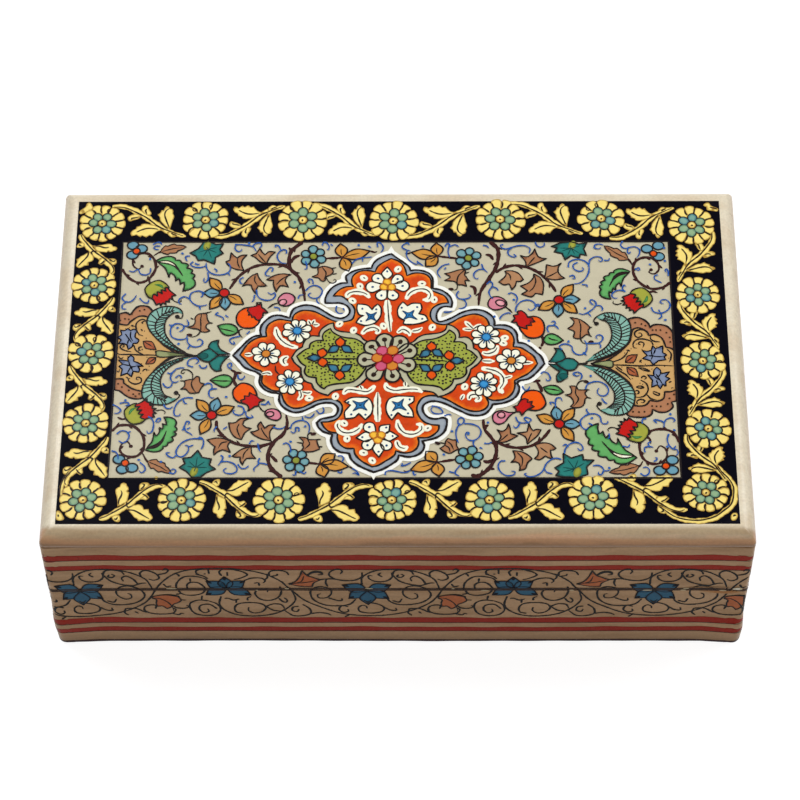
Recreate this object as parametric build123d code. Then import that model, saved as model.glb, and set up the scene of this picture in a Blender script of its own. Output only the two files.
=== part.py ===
"""Kashmiri papier mache box: a board carcass under a papier mache skin, with a lift-off lid.

The carcass is made of thin boards, glued and nailed with brads.  A skin of paper pulp and
gesso covers its outside, and the painter's ground lies on that.  Four mitred liner strips
stand above the rim of the base, and the lid drops over them.

Frame: millimetres, +X along the length, +Y to the back, +Z up.  The origin is the middle of
the underside, which lies on the table.
"""
from build123d import *
import os

# Overall form
box_length = 178.0          # over the lid's rounded edge, along X
box_depth = 108.0           # the same, along Y
base_height = 27.7          # table to the parting line
lid_wall_height = 21.7      # parting line to the underside of the lid's top board
top_board_thickness = 3.3
floor_thickness = 3.2
wall_thickness = 4.2
skin_thickness = 0.8        # paper pulp and gesso over the boards

# Edges
top_overhang = 0.3          # the rounded top stands this much proud of the sides
edge_land = 0.2             # upright strip left below the rounded top edge
corner_radius = 2.0         # upright corners of the skin, in plan
rim_round = 0.3             # softened arrises at the parting line
foot_round = 0.6            # softened arris round the underside

# Joints between boards
corner_tongue = 1.5         # what the corner rebate leaves of the front and back walls
floor_rebate = 2.0          # how far the floor runs into the walls

# Liner strips that locate the lid
liner_thickness = 2.0
lip_height = 5.5            # liner above the parting line
lip_clearance = 0.35        # between the lip and the inside of the lid
lip_round = 0.6             # rounded lead-in along the top of the lip

# Brads: headless nails with a square shank
brad_width = 0.9
brad_length = 12.0
brad_count_corner = 2       # in each corner of the base or the lid
brad_count_long = 4         # along the front and the back
brad_count_short = 2        # along each end

# Levels and half sizes that follow
arris_height = base_height + lid_wall_height
total_height = arris_height + top_board_thickness + skin_thickness
skin_length = box_length - 2 * top_overhang
skin_depth = box_depth - 2 * top_overhang
carcass_length = skin_length - 2 * skin_thickness
carcass_depth = skin_depth - 2 * skin_thickness
inner_length = carcass_length - 2 * wall_thickness
inner_depth = carcass_depth - 2 * wall_thickness
wall_middle_x = (carcass_length - wall_thickness) / 2
wall_middle_y = (carcass_depth - wall_thickness) / 2

# Brads through the floor stand in the middle of its lap over the walls, and the top board's
# brads stand on the same lines.
brad_line_x = (inner_length + floor_rebate) / 2
brad_line_y = (inner_depth + floor_rebate) / 2


def block(length, depth, low, high):
    """Plain block centred on the Z axis, from one level to another."""
    return Pos(0, 0, (low + high) / 2) * Box(length, depth, high - low)


def rounded_in_plan(length, depth, low, high):
    """Block with the skin's upright corner radius."""
    outline = RectangleRounded(length, depth, corner_radius)
    return Pos(0, 0, low) * extrude(outline, high - low)


def mitred_top(length, depth, low, high, radius):
    """Block whose four top edges are rounded, with the rounds meeting in mitres."""

    def moulding(width, travel, plane):
        section = Rectangle(width, high - low)
        section = fillet(section.vertices().group_by(Axis.Y)[-1], radius)
        return extrude(plane * section, travel / 2, both=True)

    crossing = moulding(length, depth, Plane.XZ) & moulding(depth, length, Plane.YZ)
    return Pos(0, 0, (low + high) / 2) * crossing


def top_outline(shape):
    """The outer edges of a block's top face."""
    return shape.faces().sort_by(Axis.Z)[-1].outer_wire().edges()

def bottom_outline(shape):
    """The outer edges of a block's bottom face."""
    return shape.faces().sort_by(Axis.Z)[0].outer_wire().edges()


# ---------------------------------------------------------------- boards
def long_wall(low, high):
    """Front wall: the full length of the carcass, rebated at both ends for the side walls."""
    wall = block(carcass_length, wall_thickness, low, high)
    rebate = block(wall_thickness, wall_thickness - corner_tongue, low, high)
    for side in (-1, 1):
        wall -= Pos(side * wall_middle_x, corner_tongue / 2, 0) * rebate
    return Pos(0, -wall_middle_y, 0) * wall


def short_wall(low, high):
    """Right wall: its ends stand in the rebates of the front and back walls."""
    length_along_y = carcass_depth - 2 * corner_tongue
    return Pos(wall_middle_x, 0, 0) * block(wall_thickness, length_along_y, low, high)


def wall_frame(low, high):
    """The four walls of a carcass, named by the side they stand on."""
    front = long_wall(low, high)
    right = short_wall(low, high)
    return {
        "front": front,
        "back": mirror(front, Plane.XZ),
        "right": right,
        "left": mirror(right, Plane.YZ),
    }


def floor_board():
    """Floor let into a rebate round the foot of the walls, flush with their underside."""
    return block(inner_length + 2 * floor_rebate, inner_depth + 2 * floor_rebate, 0, floor_thickness)


def top_board():
    """Lid board: it lies on the lid's walls and overhangs them by the same amount as the skin."""
    return mitred_top(
        carcass_length + 2 * top_overhang,
        carcass_depth + 2 * top_overhang,
        arris_height,
        arris_height + top_board_thickness,
        top_board_thickness - edge_land,
    )


# ---------------------------------------------------------------- skins
def base_skin():
    """Papier mache sleeve round the base walls."""
    sleeve = rounded_in_plan(skin_length, skin_depth, 0, base_height)
    sleeve = fillet(top_outline(sleeve), rim_round)
    sleeve = fillet(bottom_outline(sleeve), foot_round)
    return sleeve - block(carcass_length, carcass_depth, 0, base_height)


def lid_skin():
    """Papier mache over the lid: a sleeve round its walls and a rounded cap over its board."""
    sleeve = rounded_in_plan(skin_length, skin_depth, base_height, arris_height)
    sleeve = fillet(bottom_outline(sleeve), rim_round)
    cap = mitred_top(
        box_length,
        box_depth,
        arris_height,
        total_height,
        top_board_thickness + skin_thickness - edge_land,
    )
    cap &= rounded_in_plan(box_length, box_depth, arris_height, total_height)
    walls = block(carcass_length, carcass_depth, base_height, arris_height)
    return sleeve + cap - walls - top_board()


# ---------------------------------------------------------------- liner
def liner_section():
    """Section of a liner strip: against the wall below the rim, pared back above it."""
    lip_top = base_height + lip_height
    body = Pos(-liner_thickness / 2, (floor_thickness + lip_top) / 2) * Rectangle(
        liner_thickness, lip_top - floor_thickness
    )
    paring = Pos(-lip_clearance / 2, base_height + lip_height / 2) * Rectangle(
        lip_clearance, lip_height
    )
    body -= paring
    return fillet(body.vertices().group_by(Axis.Y)[-1], lip_round)


def liner_strip(half_gap, strip_length):
    """Strip along Y on the +X side of the compartment, with both ends cut to 45 degrees."""
    strip = extrude(Plane.XZ * liner_section(), strip_length / 2, both=True)
    reach = strip_length / 2
    mitres = make_face(
        Polyline(
            (0, -reach),
            (0, reach),
            (-liner_thickness, reach - liner_thickness),
            (-liner_thickness, -reach + liner_thickness),
            close=True,
        )
    )
    strip &= extrude(mitres, base_height + lip_height)
    return Pos(half_gap, 0, 0) * strip


def liner():
    """The four mitred strips, which the lid drops over."""
    right = liner_strip(inner_length / 2, inner_depth)
    back = Rot(0, 0, 90) * liner_strip(inner_depth / 2, inner_length)
    return {
        "right": right,
        "left": mirror(right, Plane.YZ),
        "back": back,
        "front": mirror(back, Plane.XZ),
    }


# ---------------------------------------------------------------- brads
def spread(length, count):
    """Places of a row of brads, evenly spaced with half a space left at each end."""
    pitch = length / count
    return [(i + 0.5) * pitch - length / 2 for i in range(count)]

def corner_brads(low, high):
    """Brads driven from the front and back through each tongue into the end of a side wall."""
    middle = (low + high) / 2
    shank = Box(brad_width, brad_length, brad_width)
    brads = []
    for offset in spread(high - low, brad_count_corner):
        for side_x in (-1, 1):
            for side_y in (-1, 1):
                y = side_y * (carcass_depth - brad_length) / 2
                brads.append(Pos(side_x * wall_middle_x, y, middle + offset) * shank)
    return brads

def edge_brads(outer_level, direction):
    """Brads driven square through a horizontal board into the edges of the walls."""
    middle = outer_level + direction * brad_length / 2
    shank = Box(brad_width, brad_width, brad_length)
    brads = []
    for side in (-1, 1):
        for x in spread(inner_length, brad_count_long):
            brads.append(Pos(x, side * brad_line_y, middle) * shank)
        for y in spread(inner_depth, brad_count_short):
            brads.append(Pos(side * brad_line_x, y, middle) * shank)
    return brads

def pierced(board, brads):
    """A board with the holes that its brads make."""
    for brad in brads:
        board -= brad
    return board

# ---------------------------------------------------------------- assembly
def assemble():
    """Every piece of the box by the name of its node."""
    floor = floor_board()
    board = top_board()
    base_corner = corner_brads(floor_thickness, base_height)
    lid_corner = corner_brads(base_height, arris_height)
    floor_row = edge_brads(0, 1)
    top_row = edge_brads(arris_height + top_board_thickness, -1)

    pieces = {
        "base_floor": pierced(floor, floor_row),
        "lid_top_board": pierced(board, top_row),
        "base_skin": base_skin(),
        "lid_skin": lid_skin(),
        "base_corner_brads": Compound(base_corner),
        "base_floor_brads": Compound(floor_row),
        "lid_corner_brads": Compound(lid_corner),
        "lid_top_brads": Compound(top_row),
    }
    for side, wall in wall_frame(0, base_height).items():
        pieces[f"base_wall_{side}"] = pierced(wall - floor, base_corner + floor_row)
    for side, wall in wall_frame(base_height, arris_height).items():
        pieces[f"lid_wall_{side}"] = pierced(wall, lid_corner + top_row)
    for side, strip in liner().items():
        pieces[f"liner_{side}"] = strip
    return pieces

os.makedirs("parts", exist_ok=True)
for name, piece in assemble().items():
    export_step(piece, f"parts/{name}.step")
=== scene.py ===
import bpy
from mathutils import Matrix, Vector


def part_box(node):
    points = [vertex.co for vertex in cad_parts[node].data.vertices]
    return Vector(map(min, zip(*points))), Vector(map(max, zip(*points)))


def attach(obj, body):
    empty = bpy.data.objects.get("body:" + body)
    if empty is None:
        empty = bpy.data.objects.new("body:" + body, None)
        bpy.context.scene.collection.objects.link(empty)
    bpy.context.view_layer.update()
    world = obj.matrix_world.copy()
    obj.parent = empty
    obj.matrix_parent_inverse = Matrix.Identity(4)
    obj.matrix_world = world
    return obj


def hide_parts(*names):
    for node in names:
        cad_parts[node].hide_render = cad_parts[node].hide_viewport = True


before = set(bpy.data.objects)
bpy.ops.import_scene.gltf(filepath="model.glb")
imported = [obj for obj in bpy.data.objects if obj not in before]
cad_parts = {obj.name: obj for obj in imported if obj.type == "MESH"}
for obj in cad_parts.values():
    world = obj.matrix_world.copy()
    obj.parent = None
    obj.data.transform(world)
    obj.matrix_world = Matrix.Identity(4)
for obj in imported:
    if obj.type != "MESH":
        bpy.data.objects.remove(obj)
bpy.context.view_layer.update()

import math
import random

import bmesh
import bpy
import numpy as np
from mathutils import Vector
from mathutils.geometry import delaunay_2d_cdt

bl_info = {
    "name": "Papier mache box",
    "version": (1, 0, 0),
    "blender": (4, 5, 0),
    "location": "View3D > Sidebar > Papier Box",
    "description": "Builds the skin and the painted ornament of a Kashmiri papier mache box",
    "category": "Object",
}

MM = 0.001

# Levels and faces of the box in millimetres, from its own solids
LID_HALF_X, _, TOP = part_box("lid_skin")[1] / MM
HALF_X, HALF_Y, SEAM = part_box("base_skin")[1] / MM
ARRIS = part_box("lid_top_board")[0][2] / MM
OVERHANG = LID_HALF_X - HALF_X

# Sizes of the skin and of the paint, in millimetres
ROLL = 3.9                              # radius of the rounded top edge
LAND_TOP = TOP - ROLL
SKIN = 0.8                              # thickness of the paper pulp
RIM_ROUND, FOOT_ROUND = 0.3, 0.6        # rounding of the arrises at the parting line and at the foot
CORNER, CORNER_TAPER = 1.3, 0.4         # radius of the upright corners low down, and how much less at the top
CORNER_RUB = 0.5                        # how much rounder they are rubbed at the foot
WAVINESS, SINK = 0.045, 0.06            # the skin's long waves, and how far it lies under the true plane
BULGE, LOW_BULGE = 0.3, 0.5             # how far the two ends stand out, and how much more low down
COAT_STEP = 0.025                       # from one layer of paint to the next
GRAIN = 0.35                            # between the points of a drawn curve

LONG_STOPS, SHORT_STOPS = 72, 44        # points along the straight of a long and of a short side


# ------------------------------------------------------------------ lines
def smooth(points, closed=False, grain=GRAIN):
    """A curve through hand-set points.  A point with a third value stays a sharp corner."""
    spots = [np.array(p[:2], float) for p in points]
    sharp = [len(p) > 2 for p in points]
    count = len(spots)
    line = []
    for i in range(count if closed else count - 1):
        j = (i + 1) % count
        a, b = spots[i], spots[j]
        chord = np.linalg.norm(b - a)
        before = spots[i - 1] if (closed or i) and not sharp[i] else None
        after = spots[(j + 1) % count] if (closed or j + 1 < count) and not sharp[j] else None
        leave = arrive = b - a
        if before is not None:
            leave = (b - before) * chord / (chord + np.linalg.norm(a - before) + 1e-9)
        if after is not None:
            arrive = (after - a) * chord / (chord + np.linalg.norm(after - b) + 1e-9)
        steps = max(1, round(chord / grain))
        for k in range(steps):
            t = k / steps
            line.append(
                (1 + 2 * t) * (1 - t) ** 2 * a
                + t * (1 - t) ** 2 * leave
                + t * t * (3 - 2 * t) * b
                + t * t * (t - 1) * arrive
            )
    if not closed:
        line.append(spots[-1])
    return np.array(line)


def moved(line, x, y, turn=0.0, flip=1):
    """A line mirrored if flip is -1, then turned in degrees and moved."""
    c, s = math.cos(math.radians(turn)), math.sin(math.radians(turn))
    u, v = np.asarray(line, float)[:, 0], np.asarray(line, float)[:, 1] * flip
    return np.column_stack([x + c * u - s * v, y + s * u + c * v])


def moved_points(points, x, y, turn):
    """Hand-set points turned and moved as a line is, with their sharp corners kept."""
    line = moved([p[:2] for p in points], x, y, turn)
    return [(u, v, *p[2:]) for (u, v), p in zip(line, points)]


def oval(x, y, rx, ry=None, turn=0.0):
    """A round or oval outline."""
    ry = rx if ry is None else ry
    steps = max(8, round(2 * math.pi * max(rx, ry) / GRAIN))
    angles = np.linspace(0, 2 * math.pi, steps, endpoint=False)
    return moved(np.column_stack([rx * np.cos(angles), ry * np.sin(angles)]), x, y, turn)


def petal(length, width, fullness=0.6):
    """A pointed petal along +X from the origin."""
    half = width / 2
    return smooth(
        [(0, 0, 1), (length * 0.3, half * 0.85), (length * fullness, half), (length, 0, 1),
         (length * fullness, -half), (length * 0.3, -half * 0.85)],
        closed=True,
    )


def round_petal(inner, outer, half_angle, square=0.0):
    """A petal of a full flower about the origin, narrow inside and round, or squarer, outside."""
    wide = math.tan(math.radians(half_angle))
    half = outer * wide / (1 + wide)
    mid, shoulder, rise = outer - half, outer - (0.29 - 0.1 * square) * half, (0.71 + 0.22 * square) * half
    return smooth(
        [(inner, 0.55 * inner * wide), (mid, half), (shoulder, rise), (outer, 0),
         (shoulder, -rise), (mid, -half), (inner, -0.55 * inner * wide)],
        closed=True,
    )


def leaf(length, width, bend, teeth, depth=0.22):
    """A leaf along +X, bowed by bend, with a number of saw teeth along each side."""
    sides = []
    steps = 4 * teeth
    for sign in (1, -1):
        side = []
        for k in range(1, steps):
            t = k / steps
            half = width / 2 * math.sin(math.pi * t ** 0.75) ** 0.85
            half *= 1 - depth + 2 * depth * ((k % 4) / 4)
            slope = math.atan2(bend * 4 * (1 - 2 * t), length)
            side.append((
                length * t - sign * half * math.sin(slope),
                bend * 4 * t * (1 - t) + sign * half * math.cos(slope),
            ))
        sides.append(side)
    outline = [(0, 0)] + sides[0] + [(length, 0)] + sides[1][::-1]
    return np.array(outline, float)


def reach(line):
    """Distance along a line at each of its points."""
    return np.concatenate([[0], np.cumsum(np.linalg.norm(np.diff(line, axis=0), axis=1))])


def point_on(line, t):
    """The point a part t of the way along a line."""
    s = reach(line)
    return np.array([np.interp(t * s[-1], s, line[:, 0]), np.interp(t * s[-1], s, line[:, 1])])


def heading(start, end):
    """The distance from one place to another, and the direction in degrees."""
    across, up = end[0] - start[0], end[1] - start[1]
    return math.hypot(across, up), math.degrees(math.atan2(up, across))


def around(x, y, turn, away):
    """The place at a distance from another, in a direction in degrees."""
    return x + away * math.cos(math.radians(turn)), y + away * math.sin(math.radians(turn))


# ------------------------------------------------------------------ coats of paint
def on_top(u, v, lift):
    """A place on the top of the lid, lift millimetres over the ground."""
    return (u, v, TOP + lift)


def swell(x, y, z):
    """How far the hand-smoothed skin stands proud of a true plane."""
    wave = math.sin(x / 19 + 0.7) + math.sin(y / 17 + z / 11) + 0.6 * math.sin(z / 7 + x / 31)
    end = max(0.0, min(1.0, (abs(x) - 0.88 * HALF_X) / (0.1 * HALF_X)))
    foot_x = math.exp(-(((z - (6 if x > 0 else 10)) / 7) ** 2))
    return WAVINESS * wave - SINK + end * (BULGE + LOW_BULGE * foot_x)


class Coat:
    """Patches and strokes of paint on one face, laid over each other in thin layers.

    place turns a place on the face into a point, and first is the lift of the lowest layer in millimetres.
    A layer is a whole number of steps over that.  Where limit is set, nothing is painted further than that
    from the middle of a side.
    """

    def __init__(self, name, place, body, seed, first=0.03):
        self.name, self.place, self.body, self.first = name, place, body, first
        self.hand = random.Random(seed)
        self.points, self.rims, self.faces, self.paints = [], [], [], []
        self.laid, self.limit = 0, None

    def _lay(self, flat, rims, faces, paint, layer):
        start = len(self.points)
        self.laid += 1
        base = self.first + layer * COAT_STEP + (self.laid % 12) * COAT_STEP / 13
        for u, v in flat:
            self.points.append(self.place(u, v, base))
        self.rims.extend(rims)
        self.faces.extend([tuple(start + i for i in face) for face in faces])
        self.paints.extend([paint] * len(faces))

    def patch(self, line, paint, layer=0, grain=0.9):
        """A filled outline, with points inside it so that its shading can follow its rim."""
        line = np.asarray(line, float)
        if self.limit is not None:
            if np.abs(line[:, 0]).min() > self.limit:
                return
            line = np.column_stack([np.clip(line[:, 0], -self.limit, self.limit), line[:, 1]])
        low, high = line.min(axis=0), line.max(axis=0)
        us = np.arange(low[0] + grain / 2, high[0], grain)
        vs = np.arange(low[1] + grain / 2, high[1], grain)
        grid = np.array([(u + (k % 2) * grain / 2, v) for k, v in enumerate(vs) for u in us]).reshape(-1, 2)
        if len(grid):
            gap = distance_to(grid, line)
            grid = grid[(gap > 0.35 * grain) & inside(grid, line)]
        flat = np.vstack([line, grid]) if len(grid) else line
        found, _, faces, *_ = delaunay_2d_cdt(
            [Vector(p) for p in flat], [], [list(range(len(line)))], 1, 1e-6
        )
        found = np.array([tuple(p) for p in found])
        rims = distance_to(found, line)
        faces = [f if area(found[list(f)]) > 0 else f[::-1] for f in faces]
        self._lay(found, list(rims), faces, paint, layer)

    def stroke(self, line, width, paint, layer, taper=(0.5, 0.5)):
        """A brush stroke: taper is the width left at its start and its end, as parts of width."""
        line = np.asarray(line, float)
        if self.limit is not None:
            line = line[np.abs(line[:, 0]) <= self.limit]
            if len(line) < 3:
                return
        keep = np.concatenate([[True], np.linalg.norm(np.diff(line, axis=0), axis=1) > 1e-6])
        line = line[keep]
        if len(line) < 2:
            return
        s = reach(line)
        t = s / s[-1]
        ahead = np.gradient(line, axis=0)
        ahead /= np.linalg.norm(ahead, axis=1)[:, None] + 1e-12
        aside = np.column_stack([-ahead[:, 1], ahead[:, 0]])
        middle = np.clip(np.minimum(t, 1 - t) * 3, 0, 1)
        profile = np.where(t < 0.5, taper[0] + (1 - taper[0]) * middle, taper[1] + (1 - taper[1]) * middle)
        end = np.clip(np.minimum(s, s[-1] - s) / (0.5 * width), 0, 1)
        shake = 1 + 0.12 * np.sin(s * 1.7 + self.hand.uniform(0, 6)) + 0.06 * np.sin(s * 4.1)
        half = 0.5 * width * profile * shake * np.sqrt(0.25 + 0.75 * end)
        left, right = line + aside * half[:, None], line - aside * half[:, None]
        count = len(line)
        flat = np.vstack([left, line, right])
        rims = [0.0] * count + list(half) + [0.0] * count
        faces = []
        for i in range(count - 1):
            faces.append((i + 1, i, count + i, count + i + 1))
            faces.append((count + i + 1, count + i, 2 * count + i, 2 * count + i + 1))
        self._lay(flat, rims, faces, paint, layer)

    def loop(self, line, width, paint, layer):
        """A pen line all round an outline, with its ends run past each other."""
        line = np.asarray(line, float)
        self.stroke(np.vstack([line, line[:2]]), width * colours().pen_weight, paint, layer, (0.85, 0.85))

    def dot(self, x, y, radius, paint, layer=0):
        """A touch of the brush tip."""
        stretch = self.hand.uniform(0.85, 1.15)
        self.patch(oval(x, y, radius * stretch, radius / stretch, self.hand.uniform(0, 180)), paint, layer)

    def inked(self, line, paint, ink="ink", layer=0, width=0.3):
        """A patch with a pen line round it, one layer up."""
        self.patch(line, paint, layer)
        self.loop(line, width, ink, layer + 1)

    def finish(self, low=None, high=None):
        """Makes the piece, keeping only what lies between two heights if they are given."""
        mesh = bpy.data.meshes.new(self.name)
        mesh.from_pydata([Vector(p) * MM for p in self.points], [], self.faces)
        names = sorted(set(self.paints))
        for name in names:
            mesh.materials.append(paint_of(name))
        mesh.polygons.foreach_set("material_index", [names.index(p) for p in self.paints])
        rim = mesh.attributes.new("rim", "FLOAT", "POINT")
        rim.data.foreach_set("value", [float(r) for r in self.rims])
        if low is not None or high is not None:
            bm = bmesh.new()
            bm.from_mesh(mesh)
            for height, keep_above in ((low, True), (high, False)):
                if height is not None:
                    bmesh.ops.bisect_plane(
                        bm, geom=bm.verts[:] + bm.edges[:] + bm.faces[:], plane_co=(0, 0, height * MM),
                        plane_no=(0, 0, 1), clear_inner=keep_above, clear_outer=not keep_above,
                    )
            bm.to_mesh(mesh)
            bm.free()
        mesh.shade_smooth()
        place_piece(self.name, mesh, self.body)


def area(corners):
    """Signed area of a small polygon."""
    x, y = corners[:, 0], corners[:, 1]
    return 0.5 * float(np.sum(x * np.roll(y, -1) - np.roll(x, -1) * y))


def distance_to(spots, line):
    """Distance of each spot from a closed outline."""
    a, b = line, np.roll(line, -1, axis=0)
    ab = b - a
    length = np.maximum((ab ** 2).sum(axis=1), 1e-12)
    best = np.full(len(spots), 1e9)
    for start in range(0, len(spots), 2000):
        some = spots[start:start + 2000]
        away = some[:, None, :] - a[None]
        t = np.clip((away * ab[None]).sum(axis=2) / length[None], 0, 1)
        gap = np.linalg.norm(away - t[..., None] * ab[None], axis=2)
        best[start:start + 2000] = gap.min(axis=1)
    return best


def inside(spots, line):
    """Which spots lie inside a closed outline."""
    within = np.zeros(len(spots), bool)
    x, y = spots[:, 0], spots[:, 1]
    for (ax, ay), (bx, by) in zip(line, np.roll(line, -1, axis=0)):
        if ay == by:
            continue
        crosses = (ay > y) != (by > y)
        within ^= crosses & (x < (bx - ax) * (y - ay) / (by - ay) + ax)
    return within


def place_piece(name, mesh, body, replaced=None):
    """Adds a mesh to the scene as a piece of the box."""
    piece = bpy.data.objects.new(name, mesh)
    bpy.context.scene.collection.objects.link(piece)
    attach(piece, body)
    if replaced:
        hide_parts(replaced)


# ------------------------------------------------------------------ colours and materials
def shade(code):
    """A colour written as six hexadecimal digits, as linear red, green and blue."""
    parts = [int(code[i:i + 2], 16) / 255 for i in (0, 2, 4)]
    return tuple(c / 12.92 if c <= 0.04045 else ((c + 0.055) / 1.055) ** 2.4 for c in parts)


# Each paint: colour, colour along the rim of a touch, width of that rim in mm, and unevenness
PAINTS = {
    "navy": ("090812", "100F19", 0.5, 0.25),
    "gold": ("FFE582", "B48E3C", 0.42, 0.10),
    "rust": ("B0603A", "8A4628", 0.4, 0.15),
    "umber": ("241509", "3A2413", 0.15, 0.20),
    "ink": ("17100F", "2A1F1C", 0.12, 0.20),
    "field": ("CDC5AA", "BEB598", 1.2, 0.09),
    "rosette_green": ("96B68C", "55806C", 0.45, 0.16),
    "rosette_blue": ("7FAE9F", "3F7683", 0.5, 0.2),
    "leaf_brown": ("AE7A54", "8A583C", 0.45, 0.18),
    "leaf_tan": ("B4855E", "8F6040", 0.45, 0.18),
    "stem": ("3A1512", "260D0B", 0.25, 0.25),
    "olive_flower": ("929936", "6B7226", 0.4, 0.15),
    "blue_petal": ("6C9FB2", "326A80", 0.5, 0.18),
    "flower_blue": ("79A9AE", "35788C", 0.5, 0.22),
    "blue_deep": ("2F6C97", "1D4E79", 0.4, 0.16),
    "ochre": ("D5963F", "AF6F2A", 0.5, 0.16),
    "orange": ("F75C02", "D84906", 0.7, 0.12),
    "red": ("C6160F", "8C1012", 0.4, 0.2),
    "pink": ("DC8798", "C2537A", 0.55, 0.16),
    "pink_pale": ("EBABB2", "DC8798", 0.4, 0.12),
    "leaf_green": ("66B064", "2C6C38", 0.7, 0.22),
    "tip_olive": ("9AA070", "6F7A4C", 0.4, 0.16),
    "bud_olive": ("A7A940", "7A7F2C", 0.6, 0.16),
    "teal": ("267D75", "0D4845", 0.7, 0.22),
    "teal_dark": ("0D5B57", "083F3D", 0.4, 0.20),
    "feather": ("8ABAAB", "4F8F84", 0.6, 0.16),
    "palm_tan": ("D0A568", "AC814A", 0.7, 0.16),
    "palm_brown": ("B47C58", "8E5A3D", 0.8, 0.14),
    "mauve": ("8390AC", "5D6A8C", 0.5, 0.14),
    "halo": ("FFFFF8", "F7F4E6", 0.25, 0.03),
    "band": ("A1AAB3", "7F8A9B", 0.8, 0.14),
    "vermilion": ("D8450A", "EE7814", 1.7, 0.40),
    "cream": ("C0BD9F", "B0AC8A", 0.6, 0.08),
    "cartouche": ("A3AC46", "939C3B", 0.8, 0.10),
    "crimson": ("C2191B", "8E1014", 0.4, 0.14),
    "white": ("FFFFEA", "F3EDCC", 0.3, 0.05),
    "yellow": ("FFC63F", "E49A22", 0.4, 0.12),
    "star_blue": ("1E628C", "123F66", 0.4, 0.14),
    "sky": ("3C95D2", "1F6AA6", 0.45, 0.16),
    "rose": ("D55B7E", "AE3C5E", 0.4, 0.12),
    "amber": ("D8862E", "B4651D", 0.4, 0.12),
    "trefoil_orange": ("EA5503", "C04404", 0.4, 0.12),
    "trefoil_blue": ("3C7B98", "1D4961", 0.5, 0.16),
    "pen_blue": ("1D4F9F", "2C62B0", 0.1, 0.25),
    "stripe": ("A0240F", "861D0C", 0.35, 0.16),
    "side_blue": ("30637F", "173D55", 0.65, 0.26),
    "side_leaf": ("BE6C42", "94502F", 0.5, 0.22),
    "side_pen": ("0E0B0B", "100C0C", 0.1, 0.2),
    # a dark grime line under each stripe, and painted shade in the parting line
    "grime": ("2C190F", "46291A", 0.2, 0.35),
    "stain": ("AE7440", "B98A5C", 0.6, 0.25),
    "chip": ("E9E2CF", "C9B894", 0.2, 0.15),
    # painted shade under the lid's edge and in the gap at the front right end
    "crease": ("8A6544", "A07A55", 0.3, 0.35),
    "foot": ("3A1A1C", "2A1214", 0.3, 0.30),
}
# Paints with hardly any gloss
MATT = {"side_blue", "side_leaf", "side_pen", "stripe", "grime", "crease", "stain", "chip", "foot"}
# The varnish over the paint and the paint's own shine, on the navy ground, on those paints and on the rest
NAVY_SHEEN, MATT_SHEEN, PAINT_SHEEN = (0.0, 0.02), (0.03, 0.03), (0.06, 0.10)
VARNISH_ROUGHNESS = 0.16
MATERIALS = {}              # those made so far, by name

# Painted shade on the front of the rounded top edge, deeper where it turns down: where each shade is full and
# where it ends, in metres up or to the back, and what it multiplies the ground by.  The last two follow the
# height.
FRONT_ROLL_SHADE = ((-0.0515, -0.0495), (0.50, 0.40, 0.29, 1))
LOWER_ROLL_SHADES = (((0.0517, 0.0530), (0.68, 0.395, 0.235, 1)), ((0.0502, 0.0511), (0.42, 0.255, 0.12, 1)))


class Nodes:
    """Short ways to lay out nodes and their links."""

    def __init__(self, tree):
        self.tree = tree
        self.column = 0

    def add(self, kind, **settings):
        node = self.tree.nodes.new(kind)
        self.column += 1
        node.location = (self.column * 180, -(self.column % 3) * 160)
        for key, value in settings.items():
            setattr(node, key, value)
        return node

    def link(self, out, into):
        self.tree.links.new(out, into)

    def feed(self, value, socket):
        """Links a value to a socket, or sets the socket if the value is a plain number or colour."""
        if hasattr(value, "is_output"):
            self.link(value, socket)
        else:
            socket.default_value = value

    def math(self, operation, a, b, clamp=False):
        node = self.add("ShaderNodeMath", operation=operation, use_clamp=clamp)
        self.feed(a, node.inputs[0])
        self.feed(b, node.inputs[1])
        return node.outputs[0]

    def waver(self, clouds, most):
        """How far clouds push an edge to either side."""
        return self.math("MULTIPLY", self.math("SUBTRACT", clouds, 0.5), most)

    def noise(self, where, scale, detail=3.0, roughness=0.5):
        node = self.add("ShaderNodeTexNoise")
        for key, value in (("Scale", scale), ("Detail", detail), ("Roughness", roughness), ("Vector", where)):
            self.feed(value, node.inputs[key])
        return node.outputs["Fac"]

    def span(self, value, low, high, to_low=0.0, to_high=1.0, soft=True):
        node = self.add("ShaderNodeMapRange", interpolation_type="SMOOTHSTEP" if soft else "LINEAR")
        for key, number in (
            ("Value", value), ("From Min", low), ("From Max", high), ("To Min", to_low), ("To Max", to_high),
        ):
            self.feed(number, node.inputs[key])
        return node.outputs[0]

    def blend(self, factor, a, b, kind="MIX"):
        node = self.add("ShaderNodeMix", data_type="RGBA", blend_type=kind)
        for value, place in ((factor, 0), (a, 6), (b, 7)):
            self.feed(value, node.inputs[place])
        return node.outputs[2]

    def seen(self):
        """1 for what the camera sees, straight or through gloss and glass."""
        rays = self.add("ShaderNodeLightPath").outputs
        seen = self.math("MAXIMUM", rays["Is Camera Ray"], rays["Is Glossy Ray"])
        return self.math("MAXIMUM", seen, rays["Is Transmission Ray"])


def new_group(name, inputs):
    """A node group with these inputs, which puts out a colour, a roughness and a height."""
    group = bpy.data.node_groups.new(name, "ShaderNodeTree")
    for key, value in inputs.items():
        kind = "NodeSocketColor" if isinstance(value, tuple) else "NodeSocketFloat"
        group.interface.new_socket(key, in_out="INPUT", socket_type=kind).default_value = value
    for key, kind in (
        ("Colour", "NodeSocketColor"), ("Roughness", "NodeSocketFloat"), ("Height", "NodeSocketFloat"),
    ):
        group.interface.new_socket(key, in_out="OUTPUT", socket_type=kind)
    n = Nodes(group)
    return group, n, n.add("NodeGroupInput"), n.add("NodeGroupOutput")


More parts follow.
